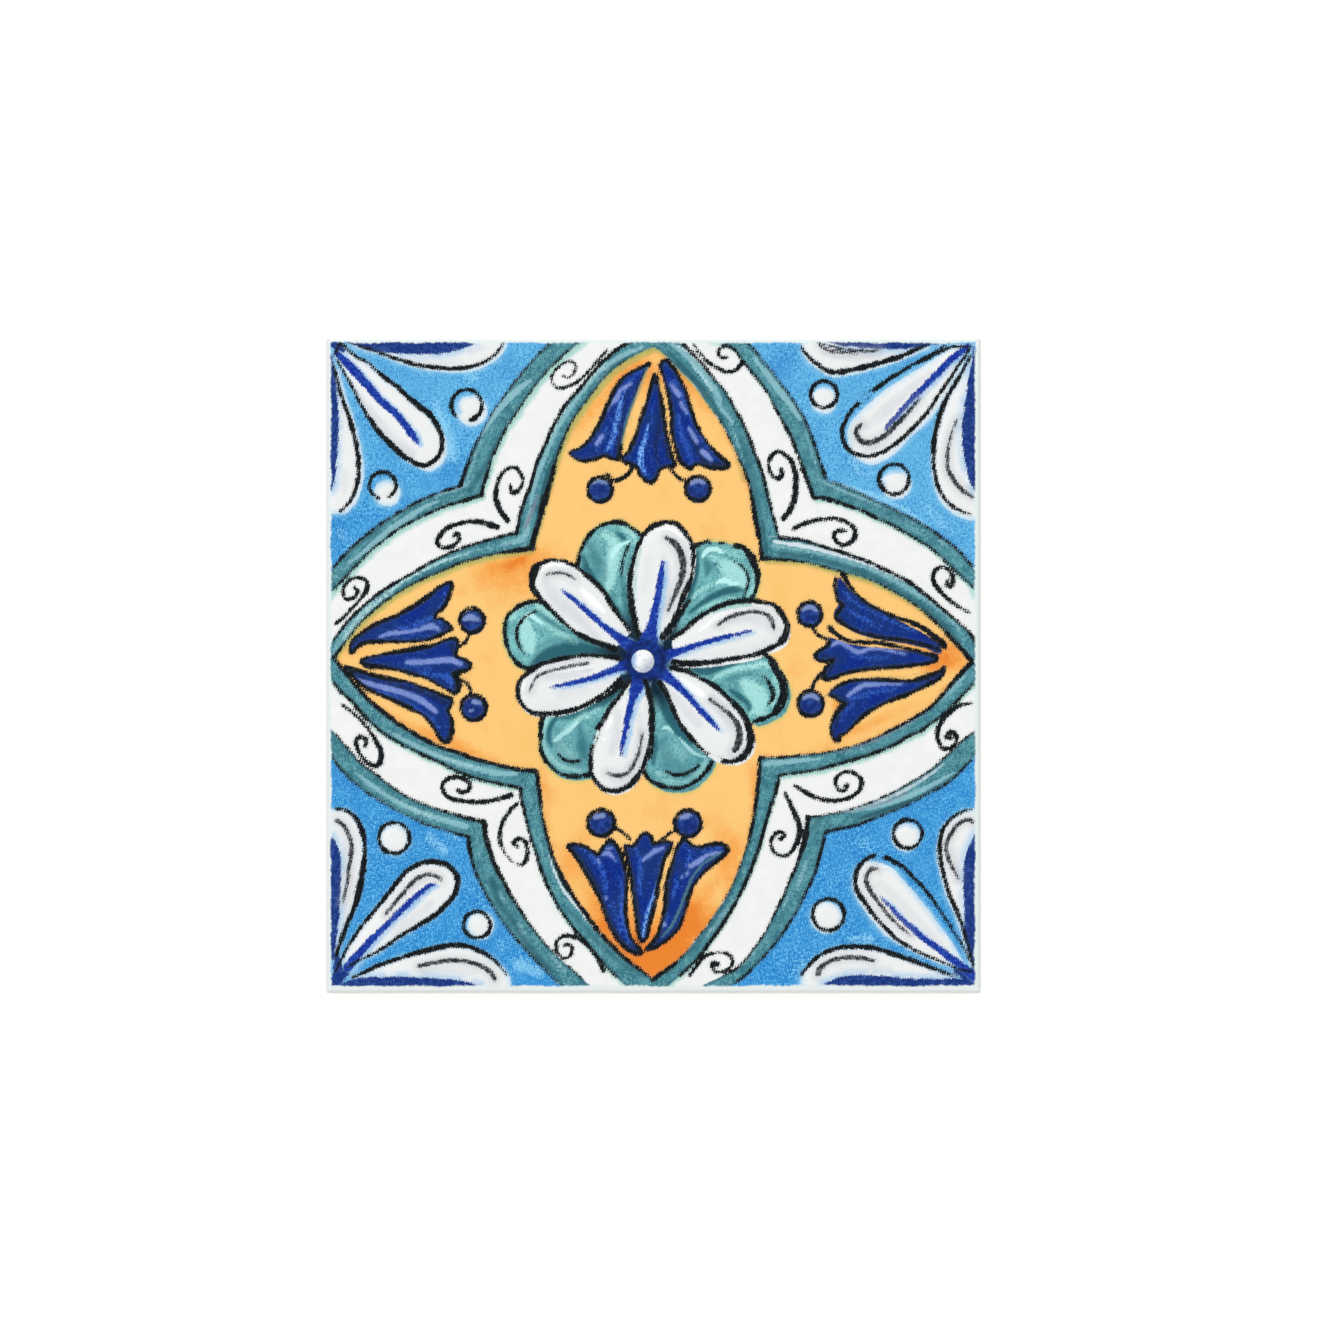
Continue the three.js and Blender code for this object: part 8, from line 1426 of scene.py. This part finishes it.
# --- teal ribbons: the colour spills past the outline at lower right and thins out at upper left
col = g.mix(g.mul(t_smoke, g.ss(field, 0.0, 0.6)), col, S(198, 172, 104))
spill = g.ss(g.add(ribslip, g.mul(saw_soft, 1.2)), -0.8, 0.8)
spill_col = g.mix(g.ss(field, -1.0, 0.6), S(160, 214, 204), S(160, 180, 100))
col = g.mix(g.mul(spill, g.ss(field, 0.0, 1.2, 0.85, 0.62)), col, spill_col)
core = g.ss(g.add(rib, g.mul(saw_soft, 0.5)), -0.35, 0.3)
teal = g.mix(g.ss(wash2, 0.34, 0.66), S(60, 122, 137), S(88, 153, 165))
teal = g.mix(g.ss(weave, 0.02, 0.28, 0.0, 0.55), teal, S(112, 176, 180))
teal = g.mix(g.ss(weave, -0.02, -0.26, 0.0, 0.5), teal, S(36, 92, 106))
# painted shade: the ribbon darker towards its edges and on its shaded side; painted highlights in the lighter and
# bright strokes
teal = g.mix(g.ss(rib, 0.1, 1.4, 0.5, 0.0), teal, S(30, 76, 88))
teal = g.mix(g.mul(dab(t_dark), 0.9), teal, S(32, 84, 96))
teal = g.mix(g.mul(dab(t_light, 0.12, 0.85, 0.4), 0.8), teal, S(146, 197, 206))
teal = g.mix(g.mul(dab(t_hi), 0.8), teal, S(200, 238, 240))
teal = g.mix(g.ss(g.add(t_gap, g.mul(saw_soft, 0.4)), 0.25, 0.85), teal, S(212, 229, 236))
teal = g.mix(g.mul(dab(t_lilac, 0.15, 0.85, 0.4), 0.85), teal, S(126, 132, 154))
col = g.mix(core, col, teal)

# --- blue corners
c_mask = g.ss(g.add(corner, g.mul(saw, 0.8)), -0.2, 0.2)
water = g.add(g.mul(wash2, 0.8), g.mul(wash, 0.3))
blue = g.mix(g.ss(water, 0.42, 0.72), S(52, 146, 212), S(82, 172, 226))
north = g.ss(g.add(PY, g.mul(PX, 0.35)), 0.0, 70.0, 0.0, 0.5)
blue = g.mix(north, blue, S(120, 200, 240))
blue = g.mix(g.ss(PY, -22.0, -60.0, 0.0, 0.24), blue, S(36, 130, 212))
blue = g.mix(g.mul(pale, 0.8), blue, S(34, 124, 200))
blue = g.mix(g.ss(weave, 0.0, 0.34, 0.0, 0.74), blue, S(116, 202, 248))
blue = g.mix(g.ss(weave, 0.0, -0.32, 0.0, 0.7), blue, S(26, 120, 196))
watery = g.ss(g.add(g.add(g.mul(t_pale, 0.8), g.mul(weave, 0.7)), g.mul(g.sub(wash2, 0.5), 0.7)), 0.2, 0.85)
blue = g.mix(g.mul(watery, 0.85), blue, S(146, 216, 250))
blue = g.mix(g.ss(corner, 1.3, 0.0, 0.0, 0.3), blue, S(44, 118, 176))
col = g.mix(c_mask, col, blue)

# --- white petals and dots of the corners
cw = g.add(cwhite, g.mul(saw, 0.8))
halo = g.mul(g.ss(g.add(cwhite, g.mul(saw_soft, 1.0)), -1.6, 0.0), g.ss(wash2, 0.35, 0.6, 0.15, 0.6))
col = g.mix(g.mul(halo, c_mask), col, S(150, 208, 240))
cw_in = g.mix(g.ss(g.add(cwhite, g.mul(saw_soft, 1.2)), 0.1, 1.9), S(204, 228, 243), S(240, 242, 242))
# painted shade in the grey strokes; painted highlights on slopes facing upper left
cw_in = g.mix(g.mul(t_grey, g.ss(wash2, 0.3, 0.6, 0.6, 1.0)), cw_in, S(216, 219, 223))
cw_in = g.mix(g.ss(painted_slope_light, 0.04, 0.2, 0.0, 0.4), cw_in, S(251, 252, 252))
cw_in = g.mix(g.mul(t_wash, g.ss(weave, -0.3, 0.3, 1.0, 0.75)), cw_in, S(140, 200, 240))
# painted highlights: the bright strokes
cw_in = g.mix(t_hi, cw_in, S(254, 255, 255))
col = g.mix(g.ss(cw, -0.3, 0.25), col, cw_in)
lf = g.add(leaf, g.mul(saw, 1.2))
leaf_halo = g.mul(g.ss(lf, -2.8, 0.0), g.ss(g.noise(0.3, 2.0), 0.3, 0.6, 0.2, 0.75))
col = g.mix(leaf_halo, col, S(160, 202, 236))
navy_leaf = g.mix(g.ss(g.noise(0.7, 3.0, 0.7), 0.42, 0.78), S(20, 50, 124), S(62, 94, 166))
col = g.mix(g.ss(lf, -0.2, 0.25), col, navy_leaf)

# --- the flower: teal petals, then white ones over them
hub_r2 = g.m("SQRT", g.add(g.m("POWER", g.sub(PX, HUB_X), 2.0), g.m("POWER", g.sub(PY, HUB_Y), 2.0)))
tp = g.add(tpet, g.mul(saw_soft, 0.6))
col = g.mix(g.ss(tp, -1.5, 0.1, 0.0, 0.7), col, S(200, 206, 124))
tpc = g.mix(g.ss(wash2, 0.35, 0.65), S(93, 161, 168), S(126, 197, 199))
tpc = g.mix(g.ss(weave, 0.02, 0.28, 0.0, 0.45), tpc, S(150, 210, 206))
tpc = g.mix(g.ss(weave, -0.02, -0.26, 0.0, 0.45), tpc, S(56, 118, 128))
# painted shade: darker towards the petal's edges and in the dark strokes; painted highlights in the light and bright
# strokes
tpc = g.mix(g.ss(tpet, 1.6, 0.2, 0.0, 0.35), tpc, S(52, 112, 122))
tpc = g.mix(g.mul(dab(t_light, 0.06, 0.9), 0.95), tpc, S(172, 230, 226))
tpc = g.mix(g.mul(dab(t_dark, 0.08, 0.92), 0.94), tpc, S(40, 102, 114))
tpc = g.mix(g.ss(g.sub(t_dark, t_light), 0.4, 1.1, 0.0, 0.7), tpc, S(32, 88, 102))
tpc = g.mix(g.ss(g.add(t_hi, g.mul(saw_soft, 0.3)), 0.25, 0.85, 0.0, 0.95), tpc, S(192, 246, 244))
tpc = g.mix(g.ss(PY, -15.0, -22.0, 0.0, 0.27), tpc, S(50, 118, 138))
tpc = g.mix(g.ss(hub_r2, 18.0, 10.0), tpc, S(14, 40, 58))
col = g.mix(g.ss(tp, -0.25, 0.25), col, tpc)
wp = g.add(wpet, g.mul(saw, 0.6))
# painted shade on slopes facing away from upper left and in the grey strokes; painted highlights on slopes facing upper
# left
wpc = g.mix(g.ss(painted_slope_light, -0.03, -0.18, 0.0, 0.3), S(239, 241, 241), S(208, 212, 217))
wpc = g.mix(g.mul(t_grey, g.ss(wash2, 0.3, 0.6, 0.7, 1.0)), wpc, S(216, 218, 224))
wpc = g.mix(g.ss(painted_slope_light, 0.04, 0.16, 0.0, 0.4), wpc, S(250, 251, 251))
wpc = g.mix(g.mul(dab(t_mint, 0.1, 0.8), 0.9), wpc, S(168, 216, 210))
# painted highlights: the bright strokes
wpc = g.mix(g.ss(g.add(t_hi, g.mul(saw_soft, 0.3)), 0.25, 0.85), wpc, S(254, 255, 255))
wpc = g.mix(g.ss(hub_r2, 9.4, 7.6, 0.0, 0.7), wpc, S(60, 100, 176))
col = g.mix(g.ss(wp, -0.25, 0.2), col, wpc)

# --- blue and grey brush strokes
bl = g.add(blued, g.mul(saw, 1.1))
glow = g.mul(g.ss(g.add(bluewash, g.mul(saw, 0.8)), 1.0, -0.5), g.ss(g.noise(0.18, 2.0, 0.6), 0.35, 0.62, 0.55, 0.95))
col = g.mix(glow, col, S(150, 198, 238))
bcol = g.mix(g.ss(g.noise(0.9, 2.0, 0.6), 0.4, 0.78), S(18, 48, 152), S(48, 88, 186))
col = g.mix(g.ss(bl, 0.3, -0.2), col, bcol)
sh = g.add(shaded, g.mul(saw, 1.0))
col = g.mix(g.ss(sh, 2.6, -0.2, 0.0, 0.3), col, S(160, 165, 172))
col = g.mix(g.mul(g.ss(sh, 0.3, -0.25), g.ss(g.noise(0.8, 1.0), 0.25, 0.55, 0.8, 1.0)), col, S(44, 48, 56))

# --- tulips and their dots
tu = g.add(tulip, g.mul(saw, 0.8))
tuc = g.mix(g.ss(g.noise(0.14, 3.0, 0.6), 0.4, 0.62), S(20, 50, 120), S(6, 42, 134))
# painted shade: the tulip darker towards its edges
tuc = g.mix(g.ss(tulip, 1.3, 0.2, 0.0, 0.6), tuc, S(18, 34, 82))
tuc = g.mix(g.ss(weave, 0.1, 0.45, 0.0, 0.25), tuc, S(46, 84, 184))
tuc = g.mix(g.mul(dab(t_nd, 0.1, 0.9, 0.5), 0.9), tuc, S(22, 36, 72))
nb = dab(t_nb, 0.1, 0.95, 1.1)
tuc = g.mix(g.mul(nb, 0.85), tuc, S(54, 102, 204))
# painted highlight where the bright blue is strongest
tuc = g.mix(g.mul(g.ss(t_nb, 0.62, 0.95), g.ss(weave, -0.15, 0.2)), tuc, S(132, 186, 246))
# painted highlights: the light strokes, with a soft blue glow round them
tuc = g.mix(g.ss(g.add(lightd, g.mul(saw, 0.9)), 1.1, 0.0, 0.0, 0.3), tuc, S(62, 96, 184))
tuc = g.mix(g.ss(g.add(lightd, g.mul(saw, 0.9)), 0.35, -0.3, 0.0, 0.92), tuc, g.mix(g.ss(g.noise(0.5, 2.0), 0.35, 0.65), S(118, 144, 208), S(134, 152, 216)))
col = g.mix(g.ss(tu, -0.2, 0.2), col, tuc)
col = g.mix(g.mul(dab(t_ne, 0.15, 0.85, 0.4), 0.75), col, g.mix(g.ss(tulip, -0.5, 0.5), S(176, 168, 120), S(84, 132, 136)))
nd = g.add(ndot, g.mul(saw, 0.5))
ndc = g.mix(g.ss(g.noise(0.5, 3.0, 0.6), 0.4, 0.7), S(18, 42, 116), S(40, 74, 152))
# painted highlight on the navy dots
ndc = g.mix(g.ss(g.add(lightd, g.mul(saw, 0.9)), 0.45, -0.4, 0.0, 0.85), ndc, S(134, 156, 208))
col = g.mix(g.ss(nd, -0.2, 0.2), col, ndc)

# --- the hub
hub_c = g.add(g.sub(HUB_R, hub_r2), g.mul(saw, 0.6))
col = g.mix(g.mul(g.ss(hub_c, -2.0, 0.0, 0.0, 0.9), g.ss(bl, -0.4, 0.4, 0.45, 1.0)), col, S(14, 30, 66))
col = g.mix(g.ss(hub_c, -0.25, 0.2), col, g.mix(g.ss(g.noise(0.6, 2.0), 0.4, 0.7), S(14, 42, 112), S(28, 62, 150)))
col = g.mix(g.mul(t_hub, g.ss(g.noise(0.8, 2.0), 0.3, 0.6, 0.7, 1.0)), col, S(12, 24, 58))
hd = g.m("SQRT", g.add(g.m("POWER", g.sub(PX, HUBDOT_X), 2.0), g.m("POWER", g.sub(PY, HUBDOT_Y), 2.0)))
# painted shade: the hub ball grey towards its lower right
hdc = g.mix(g.ss(g.sub(PX, PY), HUBDOT_X - HUBDOT_Y - 1.0, HUBDOT_X - HUBDOT_Y + 3.6), S(250, 251, 252), S(190, 200, 214))
hdc = g.mix(g.ss(g.add(PX, g.mul(saw, 1.0)), HUBDOT_X - 1.2, HUBDOT_X - 3.0, 0.0, 0.85), hdc, S(128, 176, 226))
hdc = g.mix(g.ss(g.noise(0.7, 2.0), 0.55, 0.7, 0.0, 0.5), hdc, S(150, 158, 168))
col = g.mix(g.ss(g.add(hd, g.mul(saw, 0.3)), HUBDOT_R + 0.9, HUBDOT_R, 0.0, 0.8), col, S(18, 40, 96))
col = g.mix(g.ss(g.add(hd, g.mul(saw, 0.3)), HUBDOT_R + 0.2, HUBDOT_R - 0.2), col, hdc)

# --- black outlines
ik = g.add(inkd, saw)
ink_mask = g.ss(ik, 0.16, -0.2)
ink_col = g.mix(g.ss(g.noise(0.8, 3.0, 0.6), 0.45, 0.85), S(14, 20, 24), S(40, 48, 52))
col = g.mix(g.ss(ik, 0.8, 0.0, 0.0, 0.16), col, S(80, 100, 106))
col = g.mix(g.mul(ink_mask, g.ss(g.noise(0.5, 2.0, 0.6), 0.22, 0.42, 0.86, 1.0)), col, ink_col)

# --- the painted square ends before the tile's edge, with a ragged, slightly green fringe
edge_x = g.m("MINIMUM", g.sub(PX, PRINT[0]), g.sub(PRINT[1], PX))
edge_y = g.m("MINIMUM", g.sub(PY, PRINT[2]), g.sub(PRINT[3], PY))
edge_d = g.m("MINIMUM", edge_x, edge_y)
ragged = g.add(edge_d, g.add(centred(0.9, 0.5, 1.0), centred(0.12, 0.5, 0.0)))
plain = g.mix(g.ss(edge_d, -1.3, 0.4), S(238, 241, 240), S(224, 239, 240))
# painted shade: the left, right and bottom rims greyer, the top rim left light
rim = g.m("MAXIMUM", g.ss(PX, -98.4, -99.7), g.m("MAXIMUM", g.ss(PX, 98.2, 99.6), g.ss(PY, -98.0, -99.6)))
plain = g.mix(g.mul(rim, 0.8), plain, S(208, 213, 212))
col = g.mix(g.ss(ragged, -0.3, 0.35), plain, col)

# --- bare clay below the glaze
glazed = g.ss(g.add(PZ, centred(0.12, 1.6, 2.0)), 2.3, 2.9)
clay = g.mix(g.noise(0.35, 4.0, 0.65), S(214, 178, 146), S(232, 204, 176))
clay = g.mix(g.mul(g.ss(g.noise(1.6, 2.0, 0.8), 0.62, 0.75), 0.5), clay, S(176, 132, 100))
col = g.mix(glazed, clay, col)

bsdf = g.node("ShaderNodeBsdfPrincipled")
g.plug(bsdf.inputs["Base Color"], col)
g.plug(bsdf.inputs["Roughness"], g.ss(glazed, 0.2, 0.8, 0.85, 0.14))
bsdf.inputs["IOR"].default_value = 1.5
# glaze ripple, a little relief of the outlines, and the clay's grain
ripple = g.mul(g.noise(0.05, 2.0, 0.5), 0.10)
pits = g.mul(g.ss(g.noise(0.9, 1.0, 0.5), 0.72, 0.8), -0.03)
h = g.add(g.add(ripple, pits), g.mul(ink_mask, 0.035))
h = g.add(h, g.mul(g.mul(g.noise(1.8, 4.0, 0.7), g.sub(1.0, glazed)), 0.35))
bump = g.node("ShaderNodeBump")
bump.inputs["Strength"].default_value = 0.6
bump.inputs["Distance"].default_value = 0.001
g.plug(bump.inputs["Height"], h)
g.plug(bsdf.inputs["Normal"], bump.outputs[0])
out = g.node("ShaderNodeOutputMaterial")
g.plug(out.inputs["Surface"], bsdf.outputs[0])
mesh.materials.append(g.mat)

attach(tile, "root")
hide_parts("tile")

# ---------------------------------------------------------------- floor, light, camera
bpy.ops.mesh.primitive_plane_add(size=40.0, location=(0, 0, 0))
floor = bpy.context.object
floor.name = "floor"
fm = bpy.data.materials.new("floor_white")
fm.use_nodes = True
fb = fm.node_tree.nodes["Principled BSDF"]
fb.inputs["Base Color"].default_value = (0.96, 0.96, 0.96, 1)
fb.inputs["Roughness"].default_value = 0.9
fb.inputs["Specular IOR Level"].default_value = 0.1
fb.inputs["Emission Color"].default_value = (1, 1, 1, 1)
ft = fm.node_tree
fp = ft.nodes.new("ShaderNodeNewGeometry")
fl = ft.nodes.new("ShaderNodeVectorMath")
fl.operation = "LENGTH"
fr = ft.nodes.new("ShaderNodeMapRange")
for key, v in (("From Min", 0.5), ("From Max", 3.0), ("To Min", FLOOR_GLOW[0]), ("To Max", FLOOR_GLOW[1])):
    fr.inputs[key].default_value = v
ft.links.new(fp.outputs["Position"], fl.inputs[0])
ft.links.new(fl.outputs["Value"], fr.inputs["Value"])
ft.links.new(fr.outputs["Result"], fb.inputs["Emission Strength"])
floor.data.materials.append(fm)

world = bpy.context.scene.world or bpy.data.worlds.new("world")
bpy.context.scene.world = world
world.use_nodes = True
wt = world.node_tree
wt.nodes.clear()
wb = wt.nodes.new("ShaderNodeBackground")
wo = wt.nodes.new("ShaderNodeOutputWorld")
wt.links.new(wb.outputs[0], wo.inputs[0])
wc = wt.nodes.new("ShaderNodeTexCoord")
wz = wt.nodes.new("ShaderNodeSeparateXYZ")
wr = wt.nodes.new("ShaderNodeValToRGB")
wt.links.new(wc.outputs["Generated"], wz.inputs[0])
wt.links.new(wz.outputs[2], wr.inputs[0])
while len(wr.color_ramp.elements) < len(WORLD):
    wr.color_ramp.elements.new(0.5)
for stop, (height, v) in zip(wr.color_ramp.elements, WORLD):
    stop.position = height
    stop.color = (v, v, v, 1)
wt.links.new(wr.outputs[0], wb.inputs["Color"])


def softbox(name, x, y, z, size, watts):
    d = bpy.data.lights.new(name, "AREA")
    d.shape = "SQUARE"
    d.size = size
    d.energy = watts
    o = bpy.data.objects.new(name, d)
    bpy.context.scene.collection.objects.link(o)
    o.location = (x, y, z)
    o.rotation_euler = (Vector((0, 0, 0)) - o.location).to_track_quat("-Z", "Y").to_euler()


for name, x, y, z, size, w in BOXES:
    softbox(name, x, y, z, size, w)

cam_data = bpy.data.cameras.new("camera")
cam_data.lens = 85
cam_data.sensor_width = 36
cam = bpy.data.objects.new("camera", cam_data)
bpy.context.scene.collection.objects.link(cam)
cam.location = (CAM_X * MM, CAM_Y * MM, (BODY + 0.4 + VIEW_W * 85 / 36) * MM)
cam.rotation_euler = (0, 0, 0)
cam_data.clip_start = 0.01
cam_data.clip_end = 60
bpy.context.scene.camera = cam
bpy.context.scene.view_settings.view_transform = "Standard"
bpy.context.scene.view_settings.look = "None"
bpy.context.scene.view_settings.exposure = 0
bpy.context.scene.view_settings.gamma = 1

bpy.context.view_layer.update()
